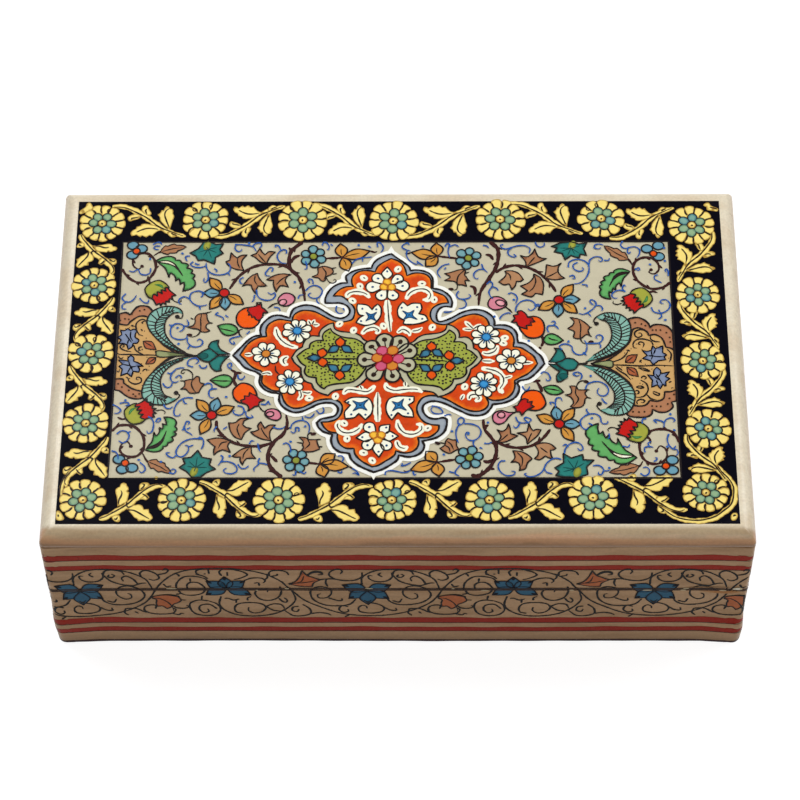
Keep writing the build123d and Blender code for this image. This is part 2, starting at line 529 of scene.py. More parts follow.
def brushed_paint():
    """Group: opaque paint, thinner and darker along the rim of each touch, uneven all over."""
    ragged_grain, cloud_grain, sheen_grain, bristle_grain = 1400, 420, 700, 2600
    name = "Brushed paint"
    if name in bpy.data.node_groups:
        return bpy.data.node_groups[name]
    group, n, given, made = new_group(name, {
        "Colour": (0.5, 0.5, 0.5, 1), "Rim Colour": (0.2, 0.2, 0.2, 1), "Rim Width": 0.4, "Unevenness": 0.1,
    })
    where = n.add("ShaderNodeTexCoord").outputs["Object"]
    rim = n.add("ShaderNodeAttribute", attribute_name="rim").outputs["Fac"]
    ragged = n.math("ADD", rim, n.waver(n.noise(where, ragged_grain), given.outputs["Rim Width"]))
    full = n.span(ragged, 0.0, given.outputs["Rim Width"])
    colour = n.blend(full, given.outputs["Rim Colour"], given.outputs["Colour"])
    cloud = n.math("SUBTRACT", n.noise(where, cloud_grain, 5.0, 0.6), 0.5)
    lighter = n.math("MULTIPLY", n.math("MULTIPLY", cloud, 2.0), given.outputs["Unevenness"])
    toned = n.add("ShaderNodeHueSaturation")
    n.link(colour, toned.inputs["Color"])
    n.link(n.math("ADD", 1.0, lighter), toned.inputs["Value"])
    n.link(toned.outputs[0], made.inputs["Colour"])
    n.link(n.span(n.noise(where, sheen_grain), 0.3, 0.7, 0.22, 0.34), made.inputs["Roughness"])
    grain = n.math("MULTIPLY", n.noise(where, bristle_grain), 0.5)
    n.link(n.math("ADD", n.math("MULTIPLY", full, 0.6), grain), made.inputs["Height"])
    return group


def aged_ground():
    """Group: lacquered gesso that has yellowed in clouds and is stained low down and where it was handled."""
    cloud_grain, speck_grain = 160, 1500
    waver_up, waver_back = 0.004, 0.003         # how far the clouds push the edges of the darker bands and of the painted shade, in metres
    name = "Aged ground"
    if name in bpy.data.node_groups:
        return bpy.data.node_groups[name]
    group, n, given, made = new_group(name, {
        "Colour": (0.8, 0.8, 0.7, 1), "Stain": (0.5, 0.4, 0.3, 1), "Stain Amount": 0.3, "Darker Below": 0.0,
        "Plain Above": 0.001, "Front Shade": 0.0,
    })
    where = n.add("ShaderNodeTexCoord").outputs["Object"]
    stretched = n.add("ShaderNodeMapping")
    stretched.inputs["Scale"].default_value = (0.22, 0.6, 1.4)
    n.link(where, stretched.inputs["Vector"])
    clouds = n.noise(stretched.outputs[0], cloud_grain, 5.0, 0.62)
    specks = n.noise(where, speck_grain, 2.0)
    height = n.add("ShaderNodeSeparateXYZ")
    n.link(where, height.inputs[0])
    wavering = n.math("ADD", height.outputs["Z"], n.waver(clouds, waver_up))
    # Below the given height the ground mixes towards the stain colour: painted shade down the rounded top
    # edge, and darker towards the foot on the sides
    low = n.span(wavering, given.outputs["Darker Below"], given.outputs["Plain Above"], 1.0, 0.0)
    amount = n.math("MULTIPLY", n.span(clouds, 0.38, 0.68), given.outputs["Stain Amount"])
    amount = n.math("MAXIMUM", amount, n.math("MULTIPLY", low, 0.8), clamp=True)
    colour = n.blend(amount, given.outputs["Colour"], given.outputs["Stain"])
    # Painted shade: the front of the rounded top edge is multiplied darker, more so lower down
    front = n.math("ADD", height.outputs["Y"], n.waver(clouds, waver_back))
    ends, tone = FRONT_ROLL_SHADE
    front = n.math("MULTIPLY", n.span(front, *ends, 1.0, 0.0), given.outputs["Front Shade"])
    for ends, lower in LOWER_ROLL_SHADES:
        tone = n.blend(n.span(wavering, *ends, 1.0, 0.0), tone, lower)
    colour = n.blend(front, colour, tone, "MULTIPLY")
    toned = n.add("ShaderNodeHueSaturation")
    n.link(colour, toned.inputs["Color"])
    n.link(n.span(specks, 0.25, 0.75, 0.93, 1.05), toned.inputs["Value"])
    n.link(toned.outputs[0], made.inputs["Colour"])
    n.link(n.span(clouds, 0.3, 0.7, 0.24, 0.40), made.inputs["Roughness"])
    bumps = n.math("ADD", n.math("MULTIPLY", clouds, 0.8), n.math("MULTIPLY", specks, 0.12))
    n.link(bumps, made.inputs["Height"])
    return group


def lacquered(name, group, values, gloss, specular=0.12, relief=0.12, relief_mm=0.05):
    """A lacquered material whose colour, roughness and relief come from one of the groups."""
    if name in MATERIALS:
        return MATERIALS[name]
    material = bpy.data.materials.new(name)
    material.use_nodes = True
    n = Nodes(material.node_tree)
    surface = material.node_tree.nodes["Principled BSDF"]
    effect = n.add("ShaderNodeGroup", node_tree=group)
    for key, value in values.items():
        effect.inputs[key].default_value = value
    n.link(effect.outputs["Colour"], surface.inputs["Base Color"])
    n.link(effect.outputs["Roughness"], surface.inputs["Roughness"])
    bump = n.add("ShaderNodeBump")
    bump.inputs["Strength"].default_value = relief
    bump.inputs["Distance"].default_value = relief_mm * MM
    n.link(effect.outputs["Height"], bump.inputs["Height"])
    n.link(bump.outputs[0], surface.inputs["Normal"])
    surface.inputs["Coat Weight"].default_value = gloss
    surface.inputs["Coat Roughness"].default_value = VARNISH_ROUGHNESS
    surface.inputs["Specular IOR Level"].default_value = specular
    MATERIALS[name] = material
    return material


def colours():
    """The colours and sizes that a user may change."""
    return bpy.context.scene.papier_box


def paint_of(name):
    """The material of one paint."""
    colour, rim, width, unevenness = PAINTS[name]
    own = getattr(colours(), name, None)
    linear = tuple(own) if own is not None else shade(colour)
    gloss, specular = NAVY_SHEEN if name == "navy" else MATT_SHEEN if name in MATT else PAINT_SHEEN
    looks = {
        "Colour": (*linear, 1), "Rim Colour": (*shade(rim), 1), "Rim Width": width, "Unevenness": unevenness,
    }
    return lacquered(name, brushed_paint(), looks, gloss, specular)


def ground_material(name, colour, stain, amount, low, high, gloss, front=0.0):
    """The painter's ground on one part of the skin, stained below low and clean above high, in metres."""
    looks = {
        "Colour": (*colour, 1), "Stain": (*stain, 1), "Stain Amount": amount, "Darker Below": low,
        "Plain Above": high, "Front Shade": front,
    }
    lacquered(name, aged_ground(), looks, gloss, gloss, relief=0.4, relief_mm=0.15)


# ------------------------------------------------------------------ skin
# Each side, and how far its painted band is shifted along it
SIDES = (("front", 0.0), ("right", 12.0), ("back", -20.0), ("left", 5.0))


def corner_at(z):
    """Radius of the upright corners in plan: rubbed rounder near the foot."""
    return CORNER - CORNER_TAPER * z / TOP + CORNER_RUB * math.exp(-z / 2)


def on_outline(side, u, half_x, half_y, radius):
    """A point and its outward direction on a rounded rectangle, u along one side from its middle."""
    ax, ay = {"front": (1, 0), "back": (-1, 0), "right": (0, 1), "left": (0, -1)}[side]
    ox, oy = ay, -ax
    long_half, out_half = (half_x, half_y) if ax else (half_y, half_x)
    straight = long_half - radius
    angle = math.copysign(max(0.0, abs(u) - straight) / radius, u)
    along = math.copysign(min(abs(u), straight), u) + radius * math.sin(angle)
    out = out_half - radius + radius * math.cos(angle)
    normal = (ax * math.sin(angle) + ox * math.cos(angle), ay * math.sin(angle) + oy * math.cos(angle))
    return (ax * along + ox * out, ay * along + oy * out), normal


def on_side(side):
    """The places on one upright side, u to the right as one faces it and v up from the table."""

    def place(u, v, lift):
        (x, y), (nx, ny) = on_outline(side, u, HALF_X, HALF_Y, corner_at(v))
        push = lift + swell(x, y, v)
        return (x + nx * push, y + ny * push, v)

    return place


def ring(inset, z, radius, wavy):
    """One closed ring of points round the skin at a height."""
    half_x, half_y = HALF_X - inset, HALF_Y - inset
    points = []
    for side, _ in SIDES:
        half, count = (half_x, LONG_STOPS) if side in ("front", "back") else (half_y, SHORT_STOPS)
        straight = half - radius
        stops = [-straight - radius * math.pi / 4 * k / 4 for k in (3, 2, 1)]
        stops += list(np.linspace(-straight, straight, count))
        stops += [straight + radius * math.pi / 4 * k / 4 for k in (1, 2, 3, 4)]
        for u in stops:
            (x, y), (nx, ny) = on_outline(side, u, half_x, half_y, radius)
            push = swell(x, y, z) if wavy else 0.0
            points.append((x + nx * push, y + ny * push, z))
    return points


def shell(name, rings, slots, body, replaced):
    """A skin from rings, closed at both ends.  slots gives the material of each band of faces."""
    count = len(rings[0])
    points = [p for one in rings for p in one]
    faces, picks = [], []
    for i in range(len(rings) - 1):
        for k in range(count):
            m = (k + 1) % count
            faces.append((i * count + k, i * count + m, (i + 1) * count + m, (i + 1) * count + k))
            picks.append(slots[i + 1])
    faces.append(tuple(range(count))[::-1])
    picks.append(slots[0])
    faces.append(tuple((len(rings) - 1) * count + k for k in range(count)))
    picks.append(slots[-1])
    mesh = bpy.data.meshes.new(name)
    mesh.from_pydata([Vector(p) * MM for p in points], [], faces)
    order = list(dict.fromkeys(picks))
    for material in order:
        mesh.materials.append(MATERIALS[material])
    mesh.polygons.foreach_set("material_index", [order.index(p) for p in picks])
    mesh.shade_smooth()
    mesh.set_sharp_from_angle(angle=math.radians(35))
    place_piece(name, mesh, body, replaced)


def rounded(start_inset, start_z, end_inset, end_z, steps, across_first):
    """Points of a quarter round between two places of a section, leaving either flat or upright."""
    out = []
    for k in range(1, steps + 1):
        a = math.pi / 2 * k / steps
        t, s = (math.sin(a), 1 - math.cos(a)) if across_first else (1 - math.cos(a), math.sin(a))
        out.append((start_inset + t * (end_inset - start_inset), start_z + s * (end_z - start_z)))
    return out


def make_skins():
    """The two halves of the skin with their grounds."""
    box = colours()
    # The top ground darkens down the rounded edge and on its front, as painted shade
    ground_material(
        "ground_top", tuple(box.ground_top), shade("C09A6A"),
        amount=0.35, low=0.0494, high=0.0533, gloss=0.25, front=0.9,
    )
    # The side ground is darker and warmer than the top, partly as painted shade of the upright sides; it also
    # darkens towards the foot
    ground_material(
        "side_ground_and_shade", tuple(box.side_ground_and_shade), shade("94704C"), amount=0.55, low=0.0, high=0.006, gloss=0.06,
    )
    ground_material(
        "lacquer_black", shade("120E0D"), shade("241A15"), amount=0.4, low=-0.02, high=-0.01, gloss=0.15,
    )
    soft, wall, foot = RIM_ROUND, SKIN, FOOT_ROUND
    side_start, inside_end = 1.6, 0.9           # lowest ring of the base's upright side, and of its inside

    # Base: from the middle of the underside out, up the side, over the rim and down inside
    section = [(foot, 0.0)] + rounded(foot, 0.0, 0.0, foot, 3, True)
    section += [(0.0, z) for z in np.linspace(side_start, SEAM - soft, 14)]
    section += rounded(0.0, SEAM - soft, soft, SEAM, 3, False) + [(wall, SEAM), (wall, inside_end)]
    rings = [ring(i, z, max(0.3, corner_at(z) - i), i < wall) for i, z in section]
    slots = ["lacquer_black"] * 2 + ["side_ground_and_shade"] * (len(section) - 3) + ["lacquer_black"] * 2
    shell("base_shell", rings, slots, "base", "base_skin")

    # Lid: from inside up, out over the rim, up the side and over the rounded top
    edge, top_steps = TOP - LAND_TOP, 9
    section = [(wall, ARRIS), (wall, SEAM), (soft, SEAM)] + rounded(soft, SEAM, 0.0, SEAM + soft, 3, True)
    section += [(0.0, z) for z in np.linspace(SEAM + 1.2, ARRIS - 0.15, 12)]
    section += [(0.12, ARRIS - 0.02), (-0.22, ARRIS + 0.04), (-OVERHANG, ARRIS + 0.2)]
    side_rings = len(section)
    section += rounded(-OVERHANG, LAND_TOP, edge - OVERHANG, TOP, top_steps, False)
    rings = []
    for k, (inset, z) in enumerate(section):
        radius = corner_at(z) - inset if k < side_rings else max(0.12, 1.1 - 0.6 * (inset + OVERHANG))
        rings.append(ring(inset, z, max(0.12, radius), 0 < k and z < ARRIS))
    slots = ["lacquer_black"] * 2 + ["side_ground_and_shade"] * (side_rings - 3) + ["ground_top"] * (top_steps + 2)
    shell("lid_shell", rings, slots, "lid", "lid_skin")


# ------------------------------------------------------------------ painter's motifs
def carried(line, base, tip, to_base, to_tip, flip):
    """An outline drawn between one base and tip, fitted to another, mirrored if flip is -1."""
    base, tip, to_base, to_tip = (complex(*p) for p in (base, tip, to_base, to_tip))
    out = []
    for p in line:
        z = (complex(p[0], p[1]) - base) / (tip - base)
        if flip < 0:
            z = z.conjugate()
        z = z * (to_tip - to_base) + to_base
        out.append((z.real, z.imag, *p[2:]))
    return out


def thorny(coat, points, width, taper=(1.0, 0.45), spacing=4.6, spur=1.3):
    """A woody stem with short thorns on alternate sides."""
    line = smooth(points)
    coat.stroke(line, width, "stem", 1, taper)
    s = reach(line)
    side = 1
    at = spacing * 0.6
    while at < s[-1] - 1.5:
        i = int(np.searchsorted(s, at))
        ahead = line[min(i + 1, len(line) - 1)] - line[i - 1]
        ahead /= np.linalg.norm(ahead)
        aside = np.array([-ahead[1], ahead[0]]) * side
        root, tip = line[i], line[i] + (0.75 * ahead + 0.8 * aside) * spur
        coat.stroke(np.linspace(root - ahead * 0.3, tip, 5), 0.55, "stem", 1, (1.4, 0.3))
        at += spacing * coat.hand.uniform(0.8, 1.25)
        side = -side


def pen(coat, points, paint="ink", width=0.3, layer=3, taper=(0.7, 0.4)):
    """A fine pen line through a few points."""
    coat.stroke(smooth(points), width * colours().pen_weight, paint, layer, taper)


def rosette(coat, x, y, size, petals, turn):
    """Border flower: full gold petals round six green ones and a gold eye."""
    hand = coat.hand
    outer = [6.2 * size * hand.uniform(0.95, 1.04) for _ in range(petals)]
    coat.patch(oval(x, y, 5.0 * size), "gold", 1)
    here = np.array([x, y])
    shape_half = 180 / petals
    for k in range(petals):
        angle = turn + 360 * k / petals
        coat.patch(moved(round_petal(2.0, outer[k], shape_half, 0.7), x, y, angle), "gold", 2, grain=0.8)
        seam = math.radians(angle + shape_half + hand.uniform(-2.5, 2.5))
        bow = hand.uniform(-0.35, 0.35)
        start, end = 3.5 * size, hand.uniform(5.3, 6.0) * size
        across = np.array([-math.sin(seam), math.cos(seam)])
        along = np.array([math.cos(seam), math.sin(seam)])
        bend = here + along * (start + end) / 2 + across * bow
        coat.stroke(smooth([here + along * start, bend, here + along * end]), 0.52, "umber", 3, (1.0, 0.65))
        if hand.random() < 0.1:
            coat.loop(moved(oval(4.6 * size, 0.2, 0.55, 0.32), x, y, math.degrees(seam)), 0.2, "umber", 4)
    start = hand.uniform(0, 60)
    for k in range(6):
        a = start + 60 * k + hand.uniform(-4, 4)
        paint = "rosette_blue" if hand.random() < 0.2 else "rosette_green"
        near, far, wide = 2.42 * size, hand.uniform(1.16, 1.34) * size, hand.uniform(1.08, 1.2) * size
        coat.patch(moved(oval(near, 0, far + 0.32, wide + 0.32), x, y, a), "umber", 5)
        coat.patch(moved(oval(near, 0, far, wide), x, y, a), paint, 6)
    coat.patch(oval(x, y, 1.36 * size), "umber", 7)
    coat.patch(oval(x, y, 1.05 * size), "gold", 8)
    coat.patch(oval(x + hand.uniform(-0.15, 0.15), y - 0.15, 0.36, 0.27, hand.uniform(0, 180)), "umber", 9)


# The vine between two rosettes, as it runs along the back and up the right, and as it runs along
# the front and down the left: its stem, its leaves with their ribs, its buds and its other lines
BACK_VINE = (
    27.1,
    [(-11.2, 5.2), (-9, 5.2), (-7, 4.7), (-4.9, 3.6), (-2.8, 2.2), (-0.7, 0.4), (1.4, -1.4), (3.5, -2.8),
     (5.6, -3.8), (8.5, -4.7)],
    [([(4.3, -2.3, 1), (4.6, -0.8), (4.9, 0.6), (5.2, 1.8), (4.8, 2.9, 1), (4.9, 3.6), (4.5, 4.3),
       (4, 4.4, 1), (3.7, 5), (3.1, 5.2), (2.6, 4.6), (2.4, 3.9, 1), (1.8, 3.9, 1), (1.5, 3.1), (0.8, 2.4, 1),
       (1.4, 1.6), (1.6, 0.5), (2.2, -0.4), (3.1, -1.4)],
      [(4, -1.6), (3.6, -0.6), (3.1, 0.8), (2.7, 2.4), (3, 3.7), (3.9, 4.5)]),
     ([(2.9, -2.7, 1), (1.4, -1.5), (0.1, -1), (-1.1, -0.7), (-2.4, -0.5), (-3.2, -0.6, 1), (-3.5, -1.2, 1),
       (-4.5, -1.5, 1), (-4.7, -2.2, 1), (-5.5, -2.7), (-6, -3.6), (-5.7, -4.5, 1), (-4.9, -4.4),
       (-4.5, -4.1, 1), (-3.4, -4.9, 1), (-2.9, -4.4, 1), (-1.8, -5, 1), (-1.1, -4.3, 1), (-0.3, -4.6, 1),
       (0.2, -3.8, 1), (1.2, -2.9)], [(-4.4, -3.3), (-3.2, -2.6), (-1.8, -2.1), (-0.3, -2.1), (1.3, -2.4)])],
    [([(-7, 1.4), (-6.3, 2.2), (-4.9, 2.7), (-3.4, 2.3), (-4, 1.2), (-5.4, 0.6), (-6.5, 0.3)],
      [(-6.1, 0.8), (-5.9, 1.2), (-4.9, 1.4), (-4, 1.7)]),
     ([(-3.4, 4.7), (-3, 5.3), (-2.3, 5.5), (-1.8, 5.1), (-1.7, 4.5), (-1.2, 3.7), (-0.8, 2.6), (-1.6, 2, 1),
       (-3, 3.1), (-3.4, 4)], [(-2.1, 4.3), (-2.4, 3.7), (-2, 2.6)]),
     ([(3.6, -3.2), (3.9, -4.2), (4.9, -5), (5.8, -4.8), (6.2, -4.3), (4.9, -3.3)],
      [(4.6, -3.6), (5.3, -4.1), (6.2, -4.4)])],
    [[(-11, 4.9), (-9, 4.9), (-7.3, 4.5), (-5.2, 3.4), (-3.5, 2.4), (-2, 1.4), (-0.3, -0.1), (1, -1.3),
      (2.7, -2.3), (4.5, -3.1), (6.7, -4.1), (7.9, -4.6)], [(1.3, 1), (1.7, 0), (2.5, -1.1), (3.8, -2.5)]],
)
FRONT_VINE = (
    24.2,
    [(-7.8, -5.5), (-6.2, -4.9), (-4.6, -3.9), (-2.8, -2.7), (-1, -1.4), (0.8, 0.4), (2.4, 2), (4, 3.3),
     (5.3, 4), (6.5, 4.2), (8, 4.1)],
    [([(-3.5, -1.8, 1), (-3.6, -0.3), (-3.8, 0.9), (-4.2, 2.4), (-4.1, 3.4), (-3.2, 4, 1), (-3, 4.8),
       (-2.3, 5.2), (-1.6, 4.8, 1), (-1.5, 4.3), (-1.1, 3.8), (-1, 3, 1), (-1.4, 2.7, 1), (-0.8, 2.3, 1),
       (-1, 0.9), (-1.2, -0.5, 1)], [(-3.3, -1.1), (-3.2, 0.1), (-2.7, 1.4), (-2.6, 2.2), (-2.9, 2.9)]),
     ([(-1.1, -2.6, 1), (-0.6, -2), (0.6, -1.4), (1.8, -1.2), (2.6, -1.6), (3, -2.6, 1), (4.2, -2.5, 1),
       (4.4, -3.6, 1), (5, -4.3), (5.3, -5.1), (4.7, -5.9, 1), (4, -6.1), (3.1, -5.8), (1.8, -6, 1),
       (1.5, -5.4), (0.8, -5), (0.1, -4), (-0.5, -3.3)],
      [(-1.1, -2.8), (0.4, -2.9), (1.6, -3.5), (3.1, -4.5), (4.5, -5.4)])],
    [([(-4.7, -4.5), (-4, -4), (-3, -4.3), (-2.6, -5.4), (-2.8, -6.2), (-3.6, -6.2), (-4.5, -5.5)],
      [(-4.1, -5.3), (-3.6, -5.5), (-3.3, -4.8)]),
     ([(1.6, 4.5), (2.4, 5.2), (3.7, 5.1), (4.1, 4.3), (2.6, 3.3), (1.7, 3)],
      [(1.9, 3.2), (2.6, 3.9), (2.8, 4.6), (2.2, 4.8)]),
     ([(1.6, 2.4), (3.1, 2.1), (4.2, 0.9, 1), (3.5, 0.1), (2.6, 0.3, 1), (1.4, 0.4)],
      [(2.4, 1.9), (3.3, 1.3), (3.9, 0.6)])],
    [[(-7.8, -5.3), (-6.3, -4.7), (-4.6, -3.6), (-2.8, -2.4), (-1.1, -1.1), (0.6, 0.7), (2.2, 2.3),
      (3.9, 3.7), (5.2, 4.4), (6.4, 4.6), (7.4, 4.1)], [(-1.2, -0.4), (-1.3, -1.2), (-0.9, -2), (0.2, -1.6)]],
)


def vine(coat, hand, x, y, turn, flip, gap):
    """One length of the border's vine, drawn as one of the two hands, between two rosettes a gap apart."""
    usual_gap, stem, leaves, buds, lines = hand
    broad = 1.0 if gap > 22 else 0.94

    def place(points, closed=False):
        line = smooth([(p[0] * gap / usual_gap, p[1] * broad, *p[2:]) for p in points], closed)
        return moved(line, x, y, turn, flip)

    coat.stroke(place(stem), 1.8, "gold", 1, (0.75, 0.6))
    for shape, rib in leaves + buds:
        coat.patch(place(shape, True), "gold", 1, grain=0.8)
        coat.stroke(place(rib), 0.42, "umber", 3, (0.9, 0.5))
    for line in lines:
        coat.stroke(place(line), 0.44, "umber", 3, (0.6, 0.5))


def frame_line(left, right, half_depth):
    """A square-cornered outline on the top."""
    corners = ((left, -half_depth), (right, -half_depth), (right, half_depth), (left, half_depth))
    return smooth([(*corner, 1) for corner in corners], True, 4)


def make_border():
    """Gold flowers and vine on the navy border round the top."""
    box = colours()
    half_x, half_y = box.border_length / MM / 2, box.border_depth / MM / 2
    ground = Coat("border_ground", on_top, "lid", seed=3)
    ground.patch(frame_line(-half_x, half_x, half_y), "navy", grain=6)
    ground.finish()

    vines = Coat("border_vines", on_top, "lid", seed=12)
    flowers = Coat("border_rosettes", on_top, "lid", first=0.12, seed=11)
    # Across, up the border, and size
    top = [
        (-78.3, 42.4, 0.97), (-51, 43.5, 1), (-25.3, 43.4, 1.07), (-1.4, 43.1, 1.07), (26.8, 43.6, 1.06),
        (53.5, 43.8, 1), (77.3, 41.6, 1),
    ]
    bottom = [
        (-78.4, -42.8, 0.95), (-53.8, -42.9, 1), (-29.6, -42.9, 1.04), (-1.4, -42.9, 0.98), (22.9, -42.9, 1),
        (48.7, -42.2, 1.03), (76.8, -40.8, 0.93),
    ]
    left = [(-79.3, 22.5, 0.94), (-79.0, 1.1, 0.98), (-79.0, -20.2, 0.95)]
    right = [(77.8, 19.3, 0.94), (78.0, -1.4, 0.95), (78.4, -21.9, 0.94)]
    for x, y, size in top + bottom + left + right:
        rosette(flowers, x, y, size, flowers.hand.choice((11, 12, 12, 13)), flowers.hand.uniform(0, 30))
    flowers.finish()

    rows = (
        (top, BACK_VINE, 0), (bottom, FRONT_VINE, 0),
        ([top[0]] + left + [bottom[0]], FRONT_VINE, -90), ([top[-1]] + right + [bottom[-1]], BACK_VINE, -90),
    )
    for stops, hand, turn in rows:
        flip = 1
        for (ax, ay, _), (bx, by, _) in zip(stops, stops[1:]):
            vine(vines, hand, (ax + bx) / 2, (ay + by) / 2, turn, flip, math.hypot(bx - ax, by - ay))
            flip = -flip
    for line, width in (
        ([(66, -45.4), (69, -47.8), (72.5, -48.8), (76, -48.8), (79.3, -47.7), (81.2, -46.2), (83.2, -44.3),
          (84, -41.5), (84, -39), (83, -36.8), (81.4, -34.8), (80.4, -33)], 1.6),
        ([(-82.2, -34.6), (-83.6, -37.5), (-84, -40.5), (-83.7, -42.5)], 1),
    ):
        vines.stroke(smooth(line), width, "gold", 1, (0.8, 0.7))
        vines.stroke(smooth([(px - 0.3, py + 0.2) for px, py in line]), 0.4, "umber", 3, (0.7, 0.7))
    corners = (
        ([(-81, 47.4), (-81.6, 49), (-82.2, 49.5), (-82.8, 49), (-83.1, 48), (-84.2, 47), (-84.7, 46.2),
          (-84.3, 45.6), (-83.2, 46), (-82, 46.6)], None),
        ([(80.7, 48.2), (81.3, 49), (82.2, 49.1), (82.8, 48.1), (84.6, 47.1), (84.3, 46.2), (83.2, 46.4),
          (81.6, 46.7), (81.5, 47.6)], [(82.4, 47.6), (83.4, 47.3), (84.3, 46.9)]),
        ([(-84.7, -45.9), (-84, -45.9), (-83.2, -47), (-82.7, -48.2), (-83.5, -48.7), (-84.7, -48.3)],
         [(-84.3, -46.9), (-84.2, -47.3), (-84.2, -47.7)]),
        ([(83.3, -46.6), (84.2, -46.6), (84.4, -47.5), (83.8, -48.6), (82.9, -48.8), (82.6, -48),
          (82.8, -47.1)], [(83.2, -47.6), (83.7, -47.2), (84, -47.4)]),
    )
    for shape, line in corners:
        vines.patch(smooth(shape, True), "gold", 1)
        if line:
            vines.stroke(smooth(line), 0.45, "umber", 3, (0.8, 0.8))
    vines.dot(-60.4, -36.3, 0.5, "gold", 1)
    vines.finish()


def flower_six(coat, x, y, turn):
    """Blue flower with an olive eye."""
    for k in range(6):
        shape = round_petal(0.8, 3.5 * coat.hand.uniform(0.95, 1.05), 27)
        outline = moved(shape, x, y, turn + 60 * k + coat.hand.uniform(-3, 3))
        coat.inked(outline, "flower_blue", layer=2, width=0.28)
    coat.inked(oval(x, y, 1.05), "olive_flower", layer=5)


def pointed_petal(coat, x, y, turn, length, width, paint):
    """One pointed petal with its pen outline and a line up its middle."""
    coat.inked(moved(petal(length, width), x, y, turn), paint, layer=2)
    middle = smooth([(0.8, 0), (length * 0.35, 0.15), (length * 0.62, 0)])
    coat.stroke(moved(middle, x, y, turn), 0.24, "ink", 4, (0.9, 0.3))


def ribbed_leaf(coat, outline, ribs, paint, width=0.28):
    """A brown leaf from its outline, with its ribs in pen."""
    coat.inked(smooth(outline, True), paint, layer=2, width=width)
    for rib in ribs:
        pen(coat, rib, width=0.25, layer=4)


